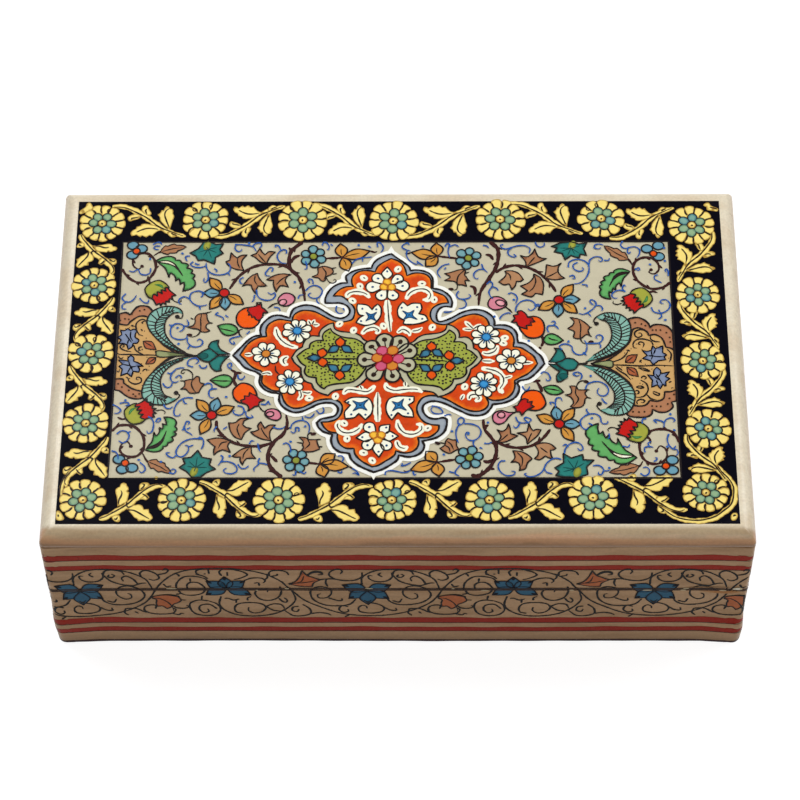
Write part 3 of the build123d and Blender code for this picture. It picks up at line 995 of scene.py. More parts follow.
# Ivy leaves: outline with sharp tips marked, then the rib
IVY = [
    ([(-40.4, 27.2, 1), (-42.6, 27.6), (-44.5, 28.8), (-45.2, 30, 1), (-44.2, 30.5, 1), (-43.9, 32.9, 1),
      (-43.1, 31.9), (-42.3, 31.2, 1), (-41.2, 32), (-39.7, 32.2, 1), (-40.9, 30.5), (-41, 28.8)],
     [(-42.2, 31), (-42.1, 29.5), (-41.5, 27.9)]),
    ([(-34.5, 29.3, 1), (-36.1, 29.9), (-37.5, 31.3), (-38.7, 32, 1), (-37.3, 32.6, 1), (-36.4, 34.3, 1),
      (-35.8, 33.1), (-35, 32.2, 1), (-34, 33.2), (-32.3, 33.1, 1), (-33.6, 31.6), (-34.2, 30.4)],
     [(-36.8, 32.4), (-35.6, 30.7), (-34.6, 29.5)]),
    ([(-36.8, 26.3, 1), (-38.6, 25.2), (-40.7, 22.1, 1), (-39.5, 22.6), (-38.4, 22.5, 1), (-37.9, 21),
      (-37.1, 19.8, 1), (-36.9, 21.2), (-36.5, 22.2, 1), (-35.4, 22.1), (-34.3, 22.3, 1), (-35.9, 24),
      (-36.6, 25.3)], [(-37.4, 25.5), (-37.5, 23.9), (-36.7, 22.4)]),
    ([(-28, 25.8, 1), (-30.3, 26.1), (-32.5, 25.5), (-34.4, 24.2, 1), (-33.4, 24), (-32.6, 24.1, 1),
      (-32.5, 22.3), (-31.8, 20.3, 1), (-31.3, 21.5), (-30.8, 22.3, 1), (-29.7, 22.2), (-28.6, 21.8, 1),
      (-29.5, 24), (-28.8, 25.4)], [(-29, 25.4), (-30.6, 24.2), (-31.8, 22.6)]),
    ([(33.4, 28.1, 1), (33.2, 30), (31.9, 31.9, 1), (33, 31.5), (34, 31.5, 1), (35.1, 32.6), (35.8, 34.1, 1),
      (36.1, 32.7), (36.6, 31.5, 1), (37.7, 31), (38.8, 30.9, 1), (36.4, 29.6), (34.9, 28.9)],
     [(35.7, 31.3), (34.6, 29.8), (33.7, 28.5)]),
    ([(38.1, 24.7, 1), (38.5, 26.6), (38.7, 28.9, 1), (39.7, 28.6), (40.4, 28.4, 1), (41.6, 28.7),
      (42.6, 29.5, 1), (41.8, 28), (41.7, 26.6, 1), (42.3, 25.5), (43.4, 24.6, 1), (41.1, 24.1),
      (39.5, 24.3)], [(41.5, 26.6), (40, 25.6), (38.5, 24.8)]),
    ([(27.8, 26.9, 1), (29.5, 27), (31.4, 26.1), (32.6, 24.2, 1), (31.8, 23.6), (30.8, 23.6, 1), (30.4, 22.1),
      (29.5, 20.9, 1), (29.2, 22), (28.8, 22.8, 1), (27.6, 22.5), (26.1, 23.4, 1), (27.5, 24.7),
      (28.1, 25.8)], [(28.1, 26.5), (29.1, 25.5), (29.3, 23.9)]),
    ([(35.3, 26, 1), (37, 24.8), (37.8, 22.6), (37.5, 19.4, 1), (35.7, 19.8, 1), (34.6, 18.7), (32, 19.5, 1),
      (33.6, 20.6, 1), (32.8, 21.3), (31.8, 22.1, 1), (34, 23.2), (35.2, 24.8)],
     [(35.5, 25.5), (35.8, 23.6), (35.1, 21.5), (33.9, 20.2)]),
    ([(-39.4, -25.1, 1), (-41.1, -24.3), (-42.3, -22.4), (-42.8, -20, 1), (-41.7, -20.1), (-41, -19.9, 1),
      (-39.8, -18.8), (-37.5, -18.6, 1), (-38.9, -19.5), (-39.2, -20.6, 1), (-38.4, -21.4), (-37, -21.7, 1),
      (-38.5, -22.9), (-39, -23.9)], [(-40.1, -20.3), (-40.6, -21.9), (-39.6, -24.8)]),
    ([(-32, -25.4, 1), (-34.2, -24.9), (-36.1, -23.9), (-37.2, -22.8, 1), (-36.1, -22.6), (-35.1, -22.1, 1),
      (-35.4, -20.9), (-34.7, -19.7, 1), (-34.1, -20.8), (-33.6, -21.7, 1), (-32.6, -20.8), (-30.9, -20.7, 1),
      (-32.2, -22.5), (-32.3, -24)], [(-34.6, -21.5), (-33.9, -23), (-32.6, -24.9)]),
    ([(-48.1, -25.1, 1), (-45.8, -24.6), (-43.8, -24.8), (-42.1, -25.6, 1), (-42.8, -26.9), (-42.1, -28.9, 1),
      (-43.2, -28.4), (-44.1, -28.1, 1), (-45.3, -28.7), (-46.2, -29.7, 1), (-46.3, -28.3), (-46, -27.2, 1),
      (-47, -26.3)], [(-42.9, -25.7), (-44.4, -26.1), (-45.2, -27.7)]),
    ([(-36.9, -27.2, 1), (-39.2, -27.9), (-41.6, -30, 1), (-40.6, -30.3), (-39.6, -30.2, 1), (-39.5, -31.4),
      (-38.9, -32.6, 1), (-38.6, -31.6), (-38, -30.7, 1), (-36.9, -30.6), (-35.6, -30.7, 1), (-36.7, -29.2),
      (-36.8, -28.2)], [(-37.5, -27.7), (-38.6, -29.2), (-38.9, -30.8)]),
    ([(25.1, -25.9, 1), (26, -24.4), (25.7, -23.2), (25, -22.1, 1), (26, -22.6), (26.8, -22.5, 1),
      (27.5, -21.8), (28, -20.4, 1), (28.4, -21.8), (28.5, -23.4, 1), (29.3, -23.6), (30.3, -24, 1),
      (28.2, -25.3), (26.8, -25.9)], [(27.8, -23.6), (26.5, -24.9), (25.5, -25.8)]),
    ([(32.6, -26.5, 1), (32.3, -24.6), (31.3, -23.7), (30, -23.2, 1), (31.5, -23), (32.6, -22.8, 1),
      (32.9, -21.6), (33.2, -20.3, 1), (33.6, -21.6), (34.2, -22.5, 1), (35, -22.1), (36.2, -22.2, 1),
      (35.2, -24), (33.8, -25.4)], [(33.8, -23.2), (33.2, -24.6), (32.7, -26.1)]),
    ([(28.9, -28.4, 1), (31, -28.7), (32.6, -29.6), (33.8, -30.8, 1), (32.6, -32), (32, -33.7),
      (30.5, -34.3, 1), (30.7, -33.2), (30.4, -32.1, 1), (29.5, -31.7), (28.4, -31.9, 1), (29.4, -30.6),
      (29.3, -29.4)], [(30, -28.9), (31.3, -30.7), (31.1, -33.2)]),
    ([(34.5, -26.7, 1), (36.5, -26.1), (38.4, -26.4), (39.8, -27.7, 1), (39.1, -28.2), (38.4, -28.3, 1),
      (38.5, -29.5), (38.9, -30.8, 1), (37.9, -30.5), (37.1, -30, 1), (35.6, -31.1), (34.3, -30.8, 1),
      (35.2, -29.7), (35.3, -28.4)], [(35.9, -27.5), (37.7, -29.1)]),
]


# Where a list has a row for each corner of the field, they are back left, back right, front left, front right
def make_field():
    """The pale field inside the border."""
    ground = Coat("field_ground", on_top, "lid", first=0.055, seed=5)
    line = frame_line(-72.5, 70.9, 36.4)
    ground.patch(line, "field", grain=5)
    ground.loop(line, 0.35, "ink", 1)
    ground.finish()


def make_field_vines():
    """Thorny stems with their leaves."""
    coat = Coat("field_vines", on_top, "lid", first=0.10, seed=21)
    # Tendrils that end in a knob
    spirals = [
        [(-72.4, 27.8), (-70.5, 25), (-67.8, 23.4), (-65.5, 24.2), (-63.6, 27.5), (-63.9, 30.5),
         (-65.5, 32.5), (-67.5, 32.7), (-69.5, 31), (-69.4, 28.8), (-68, 27.7), (-67.1, 28.6)],
        [(70.9, 23.3), (69, 21.8), (66, 21.2), (63, 23), (61.4, 26), (61.6, 29.2), (63.5, 31), (66, 31.1),
         (67.8, 29.5), (68, 27.3), (66.8, 26), (65.4, 26.5), (66, 27.3)],
        [(-72.3, -22.5), (-70.5, -20.8), (-67, -21), (-65, -22.8), (-64, -25), (-64.1, -28), (-65.6, -29.9),
         (-68, -30), (-69.8, -28.5), (-69.6, -26.5), (-68.2, -25.6), (-67.2, -27)],
        [(70.9, -26), (69.5, -23), (66.5, -22), (63.5, -22.8), (61, -26), (61.3, -30), (63, -32),
         (65.5, -32.2), (67.5, -30.5), (67.4, -28), (66, -27), (65, -28.5)],
    ]
    for line in spirals:
        thorny(coat, line, 0.75, spacing=3.6, spur=1.0)
        coat.dot(*line[-1], 0.5, "stem", 1)

    # The main stem of each corner, and the arc that goes with it
    stems = [
        ([(-25.3, 36.4), (-28.3, 33), (-28.3, 28), (-26, 25), (-24.8, 21.5), (-24.2, 17.2)],
         [(-28, 27.3), (-30, 28.8), (-34, 29.2), (-38, 28.3), (-41.5, 25.5), (-44, 21.3)]),
        ([(24, 36.4), (26, 34), (26, 30), (25, 27), (23, 23.5), (21.3, 20), (20.8, 16)],
         [(25.3, 26.5), (28, 28.2), (31, 28.7), (35, 27.5), (38, 25), (40, 22.3), (41, 20.3)]),
        ([(-29, -36.2), (-32, -33), (-32.5, -29), (-31, -25.5), (-29, -23.5), (-28, -20.5), (-28.3, -17.5)],
         [(-31.5, -26), (-35, -27), (-40, -26.5), (-43.5, -24.5), (-45.7, -21.5), (-45.9, -19.3)]),
        ([(18.4, -35.5), (19.9, -35.9), (21.6, -34.9), (23.5, -32.7), (24.7, -29.6), (24.7, -26.8),
          (23.4, -24.2), (21.9, -21.9), (21.6, -18.5)],
         [(24.5, -25.6), (27.1, -26.9), (30, -27.5), (33.2, -27.1), (35.5, -25.8), (37.4, -23.7),
          (38.5, -22)]),
    ]
    for main, arc in stems:
        thorny(coat, main, 1.0, taper=(1.2, 0.6))
        thorny(coat, arc, 0.85, taper=(1.1, 0.9))

    for outline, rib in IVY:
        ribbed_leaf(coat, outline, [rib], coat.hand.choice(("leaf_brown", "leaf_tan")))
    # Short side twigs
    knots = [
        [(-28.2, 29.6), (-27.3, 31.3), (-25.8, 32.1)], [(-28, 33.4), (-28.8, 34.6)],
        [(-31.8, -29.8), (-30.2, -31.7)], [(21.5, -31.4), (22.8, -31.7), (24, -30.8)],
        [(22.9, -33.4), (24.3, -33.9)], [(21.6, -21.3), (23, -20.8)],
    ]
    for line in knots:
        coat.stroke(smooth(line), 0.95, "stem", 1, (0.8, 0.6))

    # Root and neck of each stalk, and the tip of its toothed leaf
    clubs = [
        ((-64.2, 32), (-62.5, 33.2), (-55.8, 34.8)), ((61.3, 28.5), (60.2, 30.6), (54, 35)),
        ((-64.2, -29), (-62.8, -31.5), (-56.7, -35)), ((61.5, -31.5), (60.5, -33), (53, -34.8)),
    ]
    for root, neck, tip in clubs:
        coat.stroke(smooth([root, neck, ((neck[0] + tip[0]) / 2, (neck[1] + tip[1]) / 2)]), 0.6, "stem", 1)
        length, turn = heading(neck, tip)
        coat.inked(moved(leaf(length, 3.0, 0.2, 3), *neck, turn), "leaf_brown", layer=2, width=0.24)
        pen(coat, moved([(0.5, 0), (length * 0.5, 0.2), (length * 0.85, 0)], *neck, turn), width=0.2, layer=4)
    coat.finish()


def make_field_leaves():
    """Green, teal and brown single leaves."""
    coat = Coat("field_leaves", on_top, "lid", first=0.11, seed=31)
    base, tip = (-63.5, 30.2), (-56.1, 20.6)
    outline = [
        (-63.5, 30.4, 1), (-61.6, 31.5), (-59.7, 31.7), (-58.5, 31.1), (-58.4, 30.5, 1), (-57.3, 30.5),
        (-56.7, 29.6, 1), (-55.8, 29.5), (-55, 29), (-55.3, 27.9, 1), (-54.4, 27.7), (-53.8, 27.2),
        (-54.2, 26.3, 1), (-53.4, 26), (-53.2, 25.5), (-53.6, 24.6, 1), (-53, 23.6), (-53.1, 22.3),
        (-54.3, 21.2), (-56.1, 20.6, 1), (-55.8, 22), (-55.9, 23.4, 1), (-56.4, 23.2), (-56.9, 22.7, 1),
        (-57, 23.8), (-57.3, 24.6, 1), (-57.7, 24.2), (-58.1, 23.8, 1), (-58.2, 24.9), (-58.6, 25.7, 1),
        (-59.4, 26.4, 1), (-59.8, 25.8), (-59.9, 24.9, 1), (-60.4, 26.4), (-61.2, 28.1), (-62.5, 29.3),
    ]
    fold = [
        (-63.1, 29.9, 1), (-61.5, 30.3), (-59.9, 30.1), (-58.4, 29), (-57.3, 27.2, 1), (-58.8, 28.6),
        (-60.3, 29.3), (-61.8, 29.6),
    ]
    for to_base, to_tip, flip, fold_paint in (
        (base, tip, 1, "white"), ((60.5, 26.6), (55.2, 17.9), -1, "stem"),
        ((-63.5, -28), (-59.3, -18.3), -1, "stem"), ((60, -30.3), (50.7, -20.3), 1, "white"),
    ):
        ends = base, tip, to_base, to_tip, flip
        edge = carried([(-58.6, 28.7), (-57.3, 27.1), (-56.3, 25.4)], *ends)
        coat.inked(smooth(carried(outline, *ends), True), "leaf_green", layer=2)
        coat.inked(smooth(carried(fold, *ends), True), fold_paint, layer=4, width=0.26)
        pen(coat, edge, layer=5)

    # Starry leaves: a rib runs to each point with a third value
    stars = [
        [(-51.3, 36.3, 1), (-52.6, 34.2), (-54.8, 32.8, 1), (-53.2, 31.8), (-52.5, 30.3, 1), (-51, 30.6),
         (-48.2, 29.2, 1), (-47.9, 31.4), (-46, 32.7, 1), (-46.9, 33.9), (-46, 35.8, 1), (-48, 35.6),
         (-49.6, 36.4)],
        [(45.2, 36.3, 1), (42.4, 35.9), (40, 34.8, 1), (41.6, 34.3), (40.8, 33, 1), (42.9, 32.5),
         (43.6, 30.4, 1), (45.2, 31.8), (47.3, 31, 1), (47.7, 32.3), (49.3, 31.8, 1), (48.6, 34),
         (49.5, 36, 1), (47.4, 35.6)],
        [(-51.5, -36.2, 1), (-52.9, -34.5), (-54.8, -33.3, 1), (-53.4, -32.2), (-54, -30.6, 1),
         (-51.9, -30.3), (-50.3, -28.2, 1), (-49.1, -30.3), (-46.8, -30.8, 1), (-47.2, -32.6),
         (-45.6, -33.8, 1), (-47.8, -34.8), (-49.4, -36.2)],
        [(43.2, -36.2, 1), (41.2, -36.1), (39.5, -35.8, 1), (40.4, -34.5), (39.3, -33.5, 1), (41.6, -32),
         (41.6, -29.2, 1), (43.6, -30.6), (46.5, -29.5, 1), (46.6, -31.1), (49.3, -31.2, 1), (47.4, -33.2),
         (47.6, -35.4), (45.5, -36.2)],
    ]
    for line, eye in zip(stars, ((-50.3, 35.2), (45.6, 35.2), (-51, -34.5), (45, -34.8))):
        coat.inked(smooth([(*p[:2], 1) for p in line], True), "teal", layer=2, width=0.28)
        middle = np.mean([p[:2] for p in line], axis=0)
        for p in line:
            if len(p) > 2:
                root = middle * 0.6 + np.array(eye) * 0.4
                rib = smooth([root, middle * 0.45 + np.array(p[:2]) * 0.55])
                coat.stroke(rib, 0.22, "teal_dark", 4, (1.0, 0.3))
        coat.patch(oval(*eye, 1.5, 0.95, 70), "bud_olive", 3)

    # Broad leaves: outline and rib
    greens = [
        ([(-46.7, 9.7, 1), (-45, 10.2), (-43, 10.1), (-41.6, 9), (-41.3, 7.8, 1), (-42.3, 7), (-44, 6.6),
          (-45.4, 7.4), (-46.2, 8.7)], [(-46.1, 8.8), (-44, 8.3), (-42.1, 7.7)]),
        ([(37.4, 5.1, 1), (38, 6.4), (39.4, 7.1), (41.1, 6.4), (42.5, 5, 1), (40.7, 3.9), (39, 3.7),
          (37.9, 4.2)], [(38.6, 5.9), (39.6, 5.3), (41.2, 5)]),
        ([(-48, -7.1, 1), (-46.3, -6), (-44.3, -5.5), (-42.8, -6.1), (-42.2, -7.3, 1), (-43, -8.7),
          (-44.3, -9.3), (-46.1, -8.6)], [(-47.4, -7.2), (-45, -7.4), (-42.7, -7.4)]),
        ([(37, -9.4, 1), (38.8, -8.8), (40.6, -9.1), (42.2, -10.8, 1), (40.7, -11.6), (38.8, -11.5),
          (37.6, -10.6)], [(37.8, -9.8), (39.6, -10.1), (41.2, -10.5)]),
    ]
    for outline, rib in greens:
        coat.inked(smooth(outline, True), "leaf_green", layer=2, width=0.3)
        pen(coat, rib, width=0.27, layer=4)
    twigs = [
        [(18.6, 22.2), (19.7, 21.7), (20, 20.4), (19.9, 19.4)], [(22.8, 32.2), (24, 31.9), (24.8, 30.5)],
        [(37, 6.6), (37.4, 4.9), (36.8, 3.2)], [(36.3, 3.1), (36.6, 2.3)],
        [(-42.8, -3.9), (-41.5, -4.9), (-41.9, -7.1), (-41.2, -8.9)], [(-41.6, -4.9), (-40, -4.9)],
        [(34.2, -7.5), (36.4, -7.3)], [(35.4, -7.6), (36.4, -9.6), (36.6, -10.9)],
    ]
    for line in twigs:
        coat.stroke(smooth(line), 0.85, "stem", 1, (0.7, 0.9))
    pen(coat, [(-40.1, 8.6), (-40.9, 8.4), (-41.0, 7.2), (-40.1, 5.9)], width=0.28)

    # Bell-shaped leaves: outline, lines in pen of which the last is the tail, and the knot at its end
    bells = [
        ([(-52.6, 12.1), (-51.9, 13.2), (-50.9, 13.5), (-49.7, 13.4), (-49.4, 11.8), (-48.8, 10.6, 1),
          (-49.5, 10), (-49.6, 9.1), (-48.6, 8.1, 1), (-49.6, 7.7), (-50.9, 7.9), (-51.7, 8.6), (-53, 8.8),
          (-54.4, 9.2, 1), (-53, 9.8), (-52.5, 10.8)],
         [[(-50.9, 13.5), (-49.6, 13.7), (-48.3, 14.2)], [(-49, 10.6), (-47.8, 10.5)],
          [(-53.7, 12.2), (-53, 11.6)],
          [(-50.9, 13.5), (-51.1, 11.6), (-51, 8.4), (-51.7, 6.8), (-53.2, 6.2), (-54.1, 6.6)]],
         (-53.8, 6.8)),
        ([(44.4, 12.2, 1), (46.8, 11.6), (48.7, 10.1), (49.6, 9, 1), (49, 8.1), (49.4, 6.5, 1), (48.5, 6.8),
          (46.9, 5.6), (45.2, 5.9), (45.4, 7.7), (43.7, 8.7, 1), (45, 9.7), (45.4, 10.9)],
         [[(49.2, 9), (50.1, 9.1)], [(49, 6.8), (49.9, 6.1)],
          [(46.7, 11.4), (47.1, 9.4), (46.9, 5.9), (47.5, 4.3), (49.3, 3.9)]], (49.6, 4.5)),
        ([(-54.5, -7.3, 1), (-53, -6.9), (-52.4, -7.1, 1), (-51.5, -6), (-50.8, -6.2), (-50.5, -7.8),
          (-49.3, -8.3, 1), (-50.1, -9.4), (-50.7, -10.9, 1), (-52, -11.1), (-53.1, -11), (-54.1, -9.9),
          (-55.4, -9.9, 1), (-54.4, -8.8)],
         [[(-54.4, -7.4), (-55.8, -7.3)], [(-52.5, -7.1), (-52.7, -8.4), (-52.1, -10), (-51.2, -11.1)],
          [(-52.5, -7.1), (-52.6, -5.1), (-53.8, -4), (-55, -4), (-55.5, -4.8), (-54.9, -5.1),
           (-54.5, -4.5)]], None),
        ([(43.7, -9, 1), (45.2, -9.1), (46, -10.2, 1), (48.3, -10.2, 1), (47.6, -11.2), (48.2, -12.4, 1),
          (47.6, -13), (47.3, -14.4), (46.6, -15.3), (44.9, -15.6), (43.8, -15.2, 1), (44.6, -14.1),
          (44, -12.5), (42.5, -11.7, 1), (44, -11.3), (44.2, -10.1)],
         [[(47.6, -10.1), (48.9, -10.2)], [(47.9, -12.4), (49.2, -12.8)],
          [(45.4, -9.3), (45.2, -11.3), (45.9, -13), (44.6, -15.2)],
          [(45.4, -9.3), (46.2, -7.8), (47.4, -7.4), (48.4, -8)]], (48, -7.7)),
        ([(-22.6, 25.1, 1), (-21.1, 26), (-21.1, 27.9, 1), (-19.5, 28.5), (-17.4, 27.8, 1), (-17, 26.7),
          (-17.6, 25.8), (-18.8, 25.1), (-19.2, 23.8), (-20.1, 23.8), (-20.8, 24.7), (-21.7, 24.9)],
         [[(-17.6, 27.7), (-16.2, 28.1)], [(-17.2, 25.9), (-16, 26.2)],
          [(-20, 28.2), (-18.9, 26.3), (-19.5, 24)],
          [(-18.8, 24.8), (-17.9, 23.3), (-16.9, 23.1), (-16.2, 23.8), (-16.6, 24.4), (-17, 23.9)]], None),
        ([(12, 26.1, 1), (13.7, 26.5), (16.3, 27.4), (17.5, 27), (17.3, 25.7), (17.6, 25.2), (18.4, 23.8, 1),
          (17.4, 23.9), (17.8, 22, 1), (16.6, 22.5), (15.4, 22.6), (14.8, 23.5), (12, 23.9, 1), (13.5, 25)],
         [[(17.2, 26.1), (18.6, 26.6)], [(17.9, 24), (18.8, 23.7)],
          [(17.2, 27.1), (15.7, 25.4), (15.3, 23.7), (15.4, 22.3), (15.2, 21.2), (14.4, 20.7)]],
         (13.7, 21.1)),
        ([(-24.9, -24.3, 1), (-23.2, -24.5), (-22.5, -25.1, 1), (-20.4, -25.1, 1), (-20.2, -26.3),
          (-19.6, -27.9, 1), (-21.3, -28.6), (-23, -28.7), (-24.2, -28.3, 1), (-23.7, -27.4), (-24, -26.7),
          (-23.8, -25.7)],
         [[(-20.6, -25.1), (-19.3, -25)], [(-20, -27.2), (-18.8, -27.2)], [(-23.8, -26.2), (-25.5, -25.9)],
          [(-22.7, -25.1), (-22.2, -26.4), (-23.4, -27.9)],
          [(-22.5, -25.1), (-22.7, -23.7), (-21.9, -23), (-21.2, -23.4)]], (-21.3, -23.4)),
        ([(12.7, -24.7, 1), (13.7, -25.2), (14.7, -25.3), (14.8, -26.7), (15.3, -27.9, 1), (14.3, -28.5),
          (13.1, -29.2), (11.8, -28.7), (10.6, -27.7, 1), (11.8, -26.8), (12.1, -25.6)],
         [[(14.6, -25.4), (14.9, -24.8)], [(12.4, -25.6), (13.4, -26.5), (14.1, -28.2)],
          [(11.9, -26.8), (12.9, -27.6), (13.2, -28.9)], [(12, -26.3), (10.8, -26.1), (9.9, -26.2)]],
         (10, -26.2)),
    ]
    for outline, lines, knot in bells:
        ribbed_leaf(coat, outline, lines, "leaf_brown", 0.26)
        if knot:
            coat.patch(oval(*knot, 0.75, 0.45, coat.hand.uniform(-25, 10)), "stem", 5)
    coat.finish()


def make_field_flowers():
    """Blue, ochre and pink flowers of the field."""
    coat = Coat("field_flowers", on_top, "lid", first=0.12, seed=41)
    # The eye of each, and the middles of its petals
    corners = [
        ((-68.8, 33.4), [(-69.8, 35.3), (-67.5, 34.2), (-69.8, 32.2)]),
        ((66.8, 32.4), [(65.2, 34), (68.2, 35), (68.2, 31.5)]),
        ((-68.4, -32), [(-70, -30.9), (-69, -33.8), (-66.6, -33.4)]),
        ((67.2, -33), [(68.9, -31.2), (65.6, -34.3), (68.8, -34.2)]),
    ]
    for middle, petals in corners:
        for spot in petals:
            coat.inked(oval(*spot, 1.5, 1.3), "blue_petal", layer=2)
        coat.inked(oval(*middle, 0.95), "orange", layer=4)

    # The eye of each, and the direction and paint of its petals
    stars = [
        ((-45.3, 20),
         ((130, "ochre"), (180, "blue_petal"), (235, "ochre"), (275, "blue_petal"), (325, "ochre"))),
        ((41.7, 17.7),
         ((52, "ochre"), (2, "blue_petal"), (-42, "ochre"), (-95, "blue_petal"), (-150, "ochre"))),
        ((-47.2, -17.8),
         ((130, "ochre"), (75, "blue_petal"), (25, "ochre"), (180, "blue_petal"), (245, "ochre"))),
        ((40.8, -20.5),
         ((155, "ochre"), (100, "blue_petal"), (50, "ochre"), (0, "blue_petal"), (-55, "ochre"))),
    ]
    for (x, y), petals in stars:
        for turn, paint in petals:
            long = 5.4 if paint == "ochre" else 4.6
            pointed_petal(coat, *around(x, y, turn, 0.9), turn, long, 2.7, paint)
        coat.inked(oval(x, y, 1.3), "red", layer=5)

    for (x, y), turn in (((-22.3, 31.6), 35), ((18.3, 31), 20), ((-25.5, -31.3), 50), ((18, -30.5), 10)):
        flower_six(coat, x, y, turn)
    # Where the petals of each meet, the tips of its petals, the foot of its stem, and its tail
    sprays = [
        ((-14.7, 31.3), ((-15.3, 35.8), (-7.4, 33.4), (-13, 26.9)), (-19.3, 31),
         ((-7.4, 33.4), (-6.2, 33), (-5.6, 33.3))),
        ((10.3, 31.7), ((3.3, 32.9), (9.9, 36), (7.1, 28.4)), (15.4, 31),
         ((3.3, 32.9), (2.3, 32.5), (1.7, 32.8))),
        ((-19.5, -32.3), ((-15.7, -29.3), (-12.2, -33.1), (-18.2, -36.2)), (-22.5, -31.9),
         ((-12.2, -33.1), (-11, -33.6), (-10.4, -33.1))),
        ((9.8, -31.8), ((3.1, -34.2), (7.1, -28.6), (10.4, -36)), (15, -30.9),
         ((3.1, -34.2), (2.2, -34.6), (1.5, -34.2))),
    ]
    for (x, y), tips, stem, tail in sprays:
        pen(coat, [stem, (x, y)], "stem", 0.5, 1)
        pen(coat, tail, "stem", 0.4, 1)
        for tip in tips:
            length, turn = heading((x, y), tip)
            pointed_petal(coat, x, y, turn, length, 3.1, "ochre")
        coat.dot(x, y, 0.45, "stem", 5)

    # The outline of each, the pale oval in it (middle, radii, direction), and its stem
    buds = [
        ([(-31.2, 17.2), (-31, 18.6), (-29.6, 19.9), (-28, 19.7), (-26.9, 18.6), (-27.1, 17.2), (-28.3, 16.1),
          (-30, 15.9)], (-30, 17, 1.05, 0.85, 30), [(-31.1, 16.8), (-32.4, 16.4), (-33.9, 15.1)]),
        ([(23.3, 16.9), (24.2, 18.4), (26, 18.7), (27.7, 17.6), (28.1, 16.1), (26.7, 14.9), (24.8, 14.6),
          (23.5, 15.5)], (26.5, 16.7, 1.25, 0.9, -20), [(27.5, 15.7), (28.6, 14.8), (29.6, 13.6)]),
        ([(-33.7, -17), (-33.1, -16.1), (-31.4, -15.9), (-30, -16.7), (-29.6, -18.4), (-30.6, -19.3),
          (-32.1, -19), (-33.4, -18.1)], (-32.4, -17.5, 1, 0.75, 10),
         [(-33.4, -17), (-34.6, -16.1), (-35.3, -14.9)]),
        ([(29.6, -16.9, 1), (28.1, -17), (26.1, -16.4), (24.3, -17.4), (24.1, -19.4), (25.3, -20.5),
          (26.9, -20), (28.2, -18.2)], (26.2, -17.8, 0.95, 0.9, 0),
         [(28.9, -17.4), (29.8, -16.9), (30.5, -16.2)]),
    ]
    for outline, (x, y, rx, ry, turn), stem in buds:
        coat.inked(smooth(outline, True), "pink", layer=2, width=0.3)
        coat.inked(oval(x, y, rx, ry, turn), "pink_pale", layer=4, width=0.28)
        pen(coat, stem, width=0.3)
    coat.finish()


